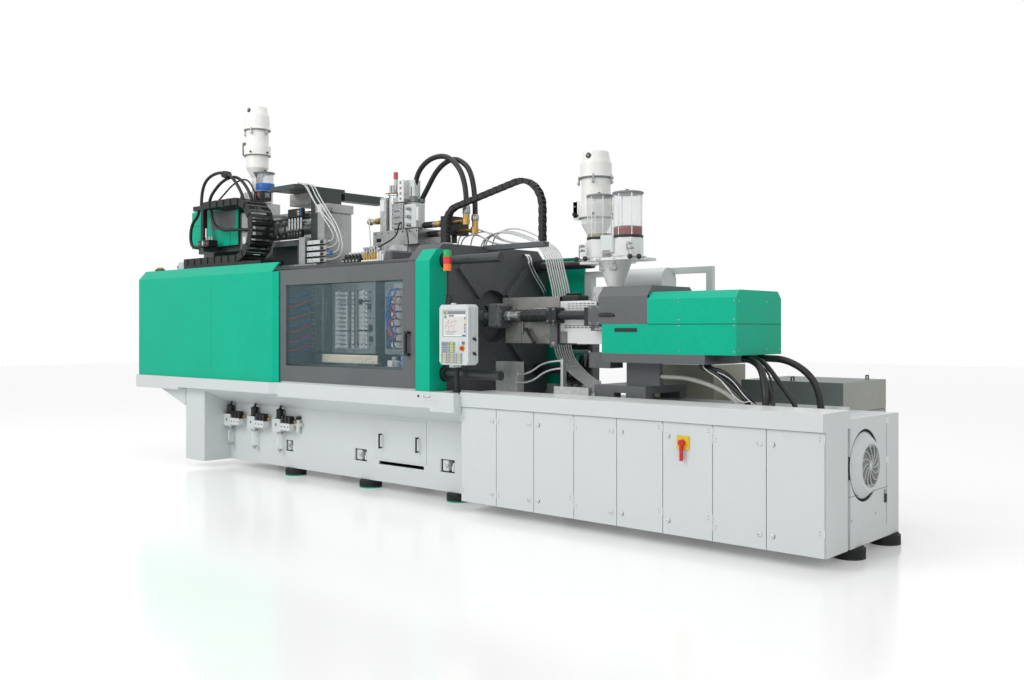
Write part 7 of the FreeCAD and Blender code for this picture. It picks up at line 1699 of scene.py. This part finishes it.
@dataclass
class CabinetEnd(Assembly):
    """The cabinet doors and the end with the motor grille."""

    grille: Point = (4758.0, -140.0, 688.0)
    hub: float = 22.0
    reach: float = 140.0
    spokes: int = 12
    spoke_runs: int = 6
    sweep: float = 0.75
    first_door: int = 1110
    door_pitch: int = 450

    def grille_spokes(self) -> None:
        """Weld the rings and curved spokes of the motor grille.

        A spoke's radius and angle both grow evenly from the hub to the rim.
        """
        grille = Fitting("grille_spokes", "machine_frame")
        centre = np.array(self.grille)
        share = np.linspace(0.0, 1.0, self.spoke_runs + 1)
        radius = self.hub + self.reach * share
        for angle in 2 * math.pi * np.arange(self.spokes) / self.spokes:
            turn = angle + self.sweep * share
            spots = centre + np.stack(
                (0 * turn, radius * np.cos(turn), radius * np.sin(turn)), axis=-1)
            for start, end in zip(spots, spots[1:]):
                grille.rod(PALE, start, end, 3.5, 8)
        for radius in range(38, 165, 14):
            grille.turned(
                PALE, (4755, -140, 688), RIGHT, ((0, radius - 1.6), (2.5, radius - 1.6),
                (2.5, radius + 1.6), (0, radius + 1.6)), 72, hollow=True)
        grille.turned(PALE, (4752, -140, 688), RIGHT, ((0, 24), (6, 24), (8, 20)), 32)
        # A dark ring of painted shade fills the gap between the cowl and its hole.
        grille.turned(INSIDE, (4700, -140, 688), RIGHT, ((0, 254), (3, 254), (3, 273), (0, 273)),
                      72, hollow=True)
        grille.made()

    def end_fittings(self) -> None:
        """Add squares, latch, seams and screws of the cabinet end."""
        end = Fitting("end_fittings", "machine_frame")
        for height in (1000, 690):
            end.block(WHITE, (4709, 4713), (266, 314), (height - 24, height + 24), 2)
        end.block(BLACK, (4709, 4722), (228, 262), (360, 430), 5)
        for y in (236, 254):
            end.rod(STEEL, (4716, y, 430), (4716, y, 462), 5)
        for y in (-380, 60, 270):
            end.screw((4710, y, 300), RIGHT, 6)
        end.block(INSIDE, (4709, 4711), (-430, 300), (476, 479), 1)
        end.block(INSIDE, (4709, 4711), (274, 277), (180, 1040), 1)
        end.made()

    def door_hardware(self) -> None:
        """Give every cabinet door its locks, hinges and rivets."""
        for number in range(1, 9):
            left = self.first_door + self.door_pitch * (number - 1)
            hinge_left = number in (1, 2, 4, 7)
            hinge_x = left if hinge_left else left + self.door_pitch
            lock_x = left + (400 if hinge_left else 50)
            door = Fitting(f"door_{number}_hardware", f"door_{number}")
            for height in (205, 870):
                rise = height + (0 if hinge_left else 66)
                door.turned(
                    WHITE, (lock_x, -834, height), FRONT, ((0, 17), (3, 17), (6, 13), (8, 12)), 24)
                door.block(GREY, (lock_x - 8, lock_x + 8), (-844, -841.5),
                           (height - 2, height + 2), 1)
                door.rod(WHITE, (hinge_x, -833, rise - 28), (hinge_x, -833, rise + 28), 4.5, 16)
                inner = hinge_x + (34 if hinge_left else -34)
                for step in (-12, 12):
                    door.turned(GREY, (inner, -835.5, rise + step), FRONT,
                                ((0, 3.5), (1.5, 3.5), (2, 2)), 10)
            door.made()


@dataclass
class MachineBed(Assembly):
    """The small parts low on the bed."""

    foot_radius: int = 121
    unit_pitch: int = 520

    def foot_rings(self) -> None:
        """Set the rings and nuts on the levelling feet."""
        feet = Fitting("foot_rings", "machine_frame")
        rows = ([(-2003 + 1352 * n, -452) for n in range(3)]
                + [(2040 + 1295 * n, -240) for n in range(3)]
                + [(-3440 + 1345 * n, 440) for n in range(7)])
        foot = self.foot_radius
        for index, (x, y) in enumerate(rows):
            ring = "green_paint" if index < 3 else BLACK
            feet.turned(
                ring, (x, y, 1), UP, ((0, foot), (2, foot + 2), (9, foot + 2), (12, foot)), 48)
            feet.turned(BLACK, (x, y, 74), UP, ((0, foot - 9), (8, foot - 13), (14, 60)), 48)
        feet.made()

    def service_fittings(self) -> None:
        """Add caps, bowls and gauges to the air service units."""
        units = Fitting("service_fittings", "machine_frame")
        for index in range(3):
            x = -3191 + self.unit_pitch * index
            units.turned(
                BLACK, (x, -575, 742), UP, ((0, 42), (4, 46), (20, 46), (26, 30), (34, 20)), 24)
            units.rod("rubber_hose", (x, -575, 770), (x + 70, -560, 905), 13)
            units.turned(BLACK, (x, -575, 655), UP, ((0, 43), (4, 47), (16, 47), (20, 43)), 24)
            units.socket((x, -631, 590), FRONT, 30, WHITE, GREY)
            units.turned(STEEL, (x, -575, 512), DOWN, ((0, 34), (6, 38), (30, 38), (36, 31)), 24)
            units.turned(STEEL, (x, -575, 300), DOWN, ((0, 30), (12, 30), (26, 12), (40, 10)), 20)
            units.block(WHITE, (x - 9, x + 9), (-605, -598), (330, 460), 2)
            for step in range(3):
                left = x + 92 + 64 * step
                units.block(BLACK, (left, left + 46), (-628, -560), (612, 700), 6)
                units.block(WHITE, (left + 2, left + 44), (-636, -560), (540, 612), 5)
                units.socket((left + 23, -636, 575), FRONT, 11)
            units.union((x + 280, -580, 640), RIGHT, 12, BRASS)
        for left, width in ((-2106, 140), (-836, 200), (509, 200)):
            units.block(PALE, (left + 12, left + width / 2), (-505, -430), (288, 402), 8)
            units.turned(WHITE, (left + width * 0.72, -470, 290), UP,
                         ((0, 24), (52, 24), (58, 15), (84, 15), (88, 10)), 20)
            units.turned(
                ZINC, (left + width * 0.4, -504, 345), FRONT, ((0, 22), (8, 22), (12, 16)), 6)
        units.made()

    def ledge_fittings(self) -> None:
        """Add the plug and latch on the front ledge."""
        ledge = Fitting("ledge_fittings", "machine_frame")
        ledge.turned(BLACK, (700, -1000, 1072), FRONT, ((-2, 13), (3, 13), (5, 9)), 20)
        for x in (770, 850):
            ledge.block(STEEL, (x, x + 20), (-1004, -999), (1064, 1082), 3)
        ledge.block(STEEL, (788, 852), (-1006, -1002), (1060, 1068), 2)
        ledge.made()


@dataclass
class ClampChain:
    """The clamp's energy chain, which follows the slide above and stays on the roof below."""

    upper: Point = (-3.3, -0.7, 3.20)
    lower: Point = (-3.3, -0.7, 2.62)

    def build(self) -> None:
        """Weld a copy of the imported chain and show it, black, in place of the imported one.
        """
        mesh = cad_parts["clamp_energy_chain"].data.copy()
        whole = bmesh.new()
        whole.from_mesh(mesh)
        bmesh.ops.remove_doubles(whole, verts=whole.verts, dist=1e-5)
        whole.to_mesh(mesh)
        whole.free()
        chain = put("clamp_chain", mesh)
        mesh.materials.clear()
        mesh.materials.append(PALETTE.material(BLACK))
        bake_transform(chain)
        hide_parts("clamp_energy_chain")
        LOG.info("clamp_chain bends")


# ---------------------------------------------------------------- stage
CAMERA_PLACE = (7.826, -7.785, 1.72)
CAMERA_TURN = math.radians(42.0)
CAMERA_LENS = 35.498
CAMERA_SENSOR = 36.0
CAMERA_SHIFT_Y = -0.01146
SKY_LIGHT = 0.45         # the sky's strength as a light, 1 where it is seen
FLOOR_GLOW = 0.15        # what the seen floor adds to reach white
FLOOR_REACH = 40.0


def set_camera() -> None:
    """Stand the camera where the photograph was taken."""
    data = bpy.data.cameras.new("photo_camera")
    data.sensor_width = CAMERA_SENSOR
    data.lens = CAMERA_LENS
    data.shift_y = CAMERA_SHIFT_Y
    data.clip_end = 200.0
    camera = put("photo_camera", data)
    camera.location = CAMERA_PLACE
    camera.rotation_euler = (math.pi / 2, 0.0, CAMERA_TURN)
    bpy.context.scene.camera = camera


def aim(place: Point, target: Point) -> Euler:
    """Give the turn that points a lamp from its place at a target."""
    return (Vector(target) - Vector(place)).to_track_quat("-Z", "Y").to_euler()


def add_lamp(name: str, place: Point, target: Point, size: float, power: float) -> None:
    """Hang one soft square lamp.

    Args:
        name: The lamp's name.
        place: Where it hangs.
        target: Where it points.
        size: The length of its side in metres.
        power: Its power in watts.
    """
    data = bpy.data.lights.new(name, "AREA")
    data.size = size
    data.energy = power
    lamp = put(name, data)
    lamp.location = place
    lamp.rotation_euler = aim(place, target)


def background_rays(tree: Tree) -> Socket:
    """Tell the rays that show the background from those that light the machine.

    Args:
        tree: The node tree of the floor or of the world.

    Returns:
        1 for a camera, glossy or transmission ray and 0 for any other.
    """
    rays = add_node(tree, "LightPath").outputs
    seen = rays["Is Camera Ray"]
    for kind in ("Is Glossy Ray", "Is Transmission Ray"):
        seen = add_node(tree, "Math", {0: seen, 1: rays[kind]}, operation="MAXIMUM").outputs[0]
    return seen


def set_light() -> None:
    """Light the machine softly, brighter on its long front than on its end."""
    add_lamp("key_lamp", (-3.0, -12.0, 9.0), (0.0, 0.0, 1.6), 8.0, 900.0)
    add_lamp("fill_lamp", (11.0, -6.0, 7.0), (1.5, 0.0, 1.4), 7.0, 260.0)
    add_lamp("top_lamp", (0.0, 1.0, 10.0), (0.0, 0.0, 1.0), 9.0, 300.0)
    world = bpy.data.worlds.new("studio")
    world.use_nodes = True
    tree = world.node_tree
    tree.nodes.clear()
    strength = add_node(
        tree, "MapRange", {"Value": background_rays(tree), "To Min": SKY_LIGHT, "To Max": 1.0})
    sky = add_node(
        tree, "Background", {"Color": linear("#FFFFFF"), "Strength": strength.outputs[0]})
    add_node(tree, "OutputWorld", {"Surface": sky.outputs[0]})
    bpy.context.scene.world = world


def floor_material() -> bpy.types.Material:
    """Give the floor's paint: seen almost white, with the machine's shadow still on it.

    Returns:
        The material.
    """
    made = bpy.data.materials.new("floor_paint")
    made.use_nodes = True
    tree = made.node_tree
    tree.nodes.clear()
    glow = add_node(tree, "Math", {0: background_rays(tree), 1: FLOOR_GLOW}, operation="MULTIPLY")
    surface = add_node(tree, "BsdfPrincipled", {
        "Base Color": linear("#F6F6F5"), "Roughness": 0.16,
        "Emission Color": linear("#FFFFFF"), "Emission Strength": glow.outputs[0]})
    add_node(tree, "OutputMaterial", {"Surface": surface.outputs[0]})
    return made


def set_floor() -> None:
    """Lay the plain pale floor."""
    mesh = bpy.data.meshes.new("floor")
    mesh.from_pydata([(x * FLOOR_REACH, y * FLOOR_REACH, 0)
                      for x, y in ((-1, -1), (1, -1), (1, 1), (-1, 1))], [], [(0, 1, 2, 3)])
    floor = put("floor", mesh)
    mesh.materials.append(floor_material())


def main() -> None:
    """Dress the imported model."""
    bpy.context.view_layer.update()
    bpy.context.scene.view_settings.view_transform = "Standard"
    paint_nodes()
    for group in (Hoses(), ClampChain(), MouldRoom(), TopEquipment(), SecondUnit(),
                  DosingStation(), InjectionUnit(), ControlPanel(), CabinetEnd(), MachineBed()):
        group.build()
    set_floor()
    set_light()
    set_camera()


if __name__ == "__main__":
    main()
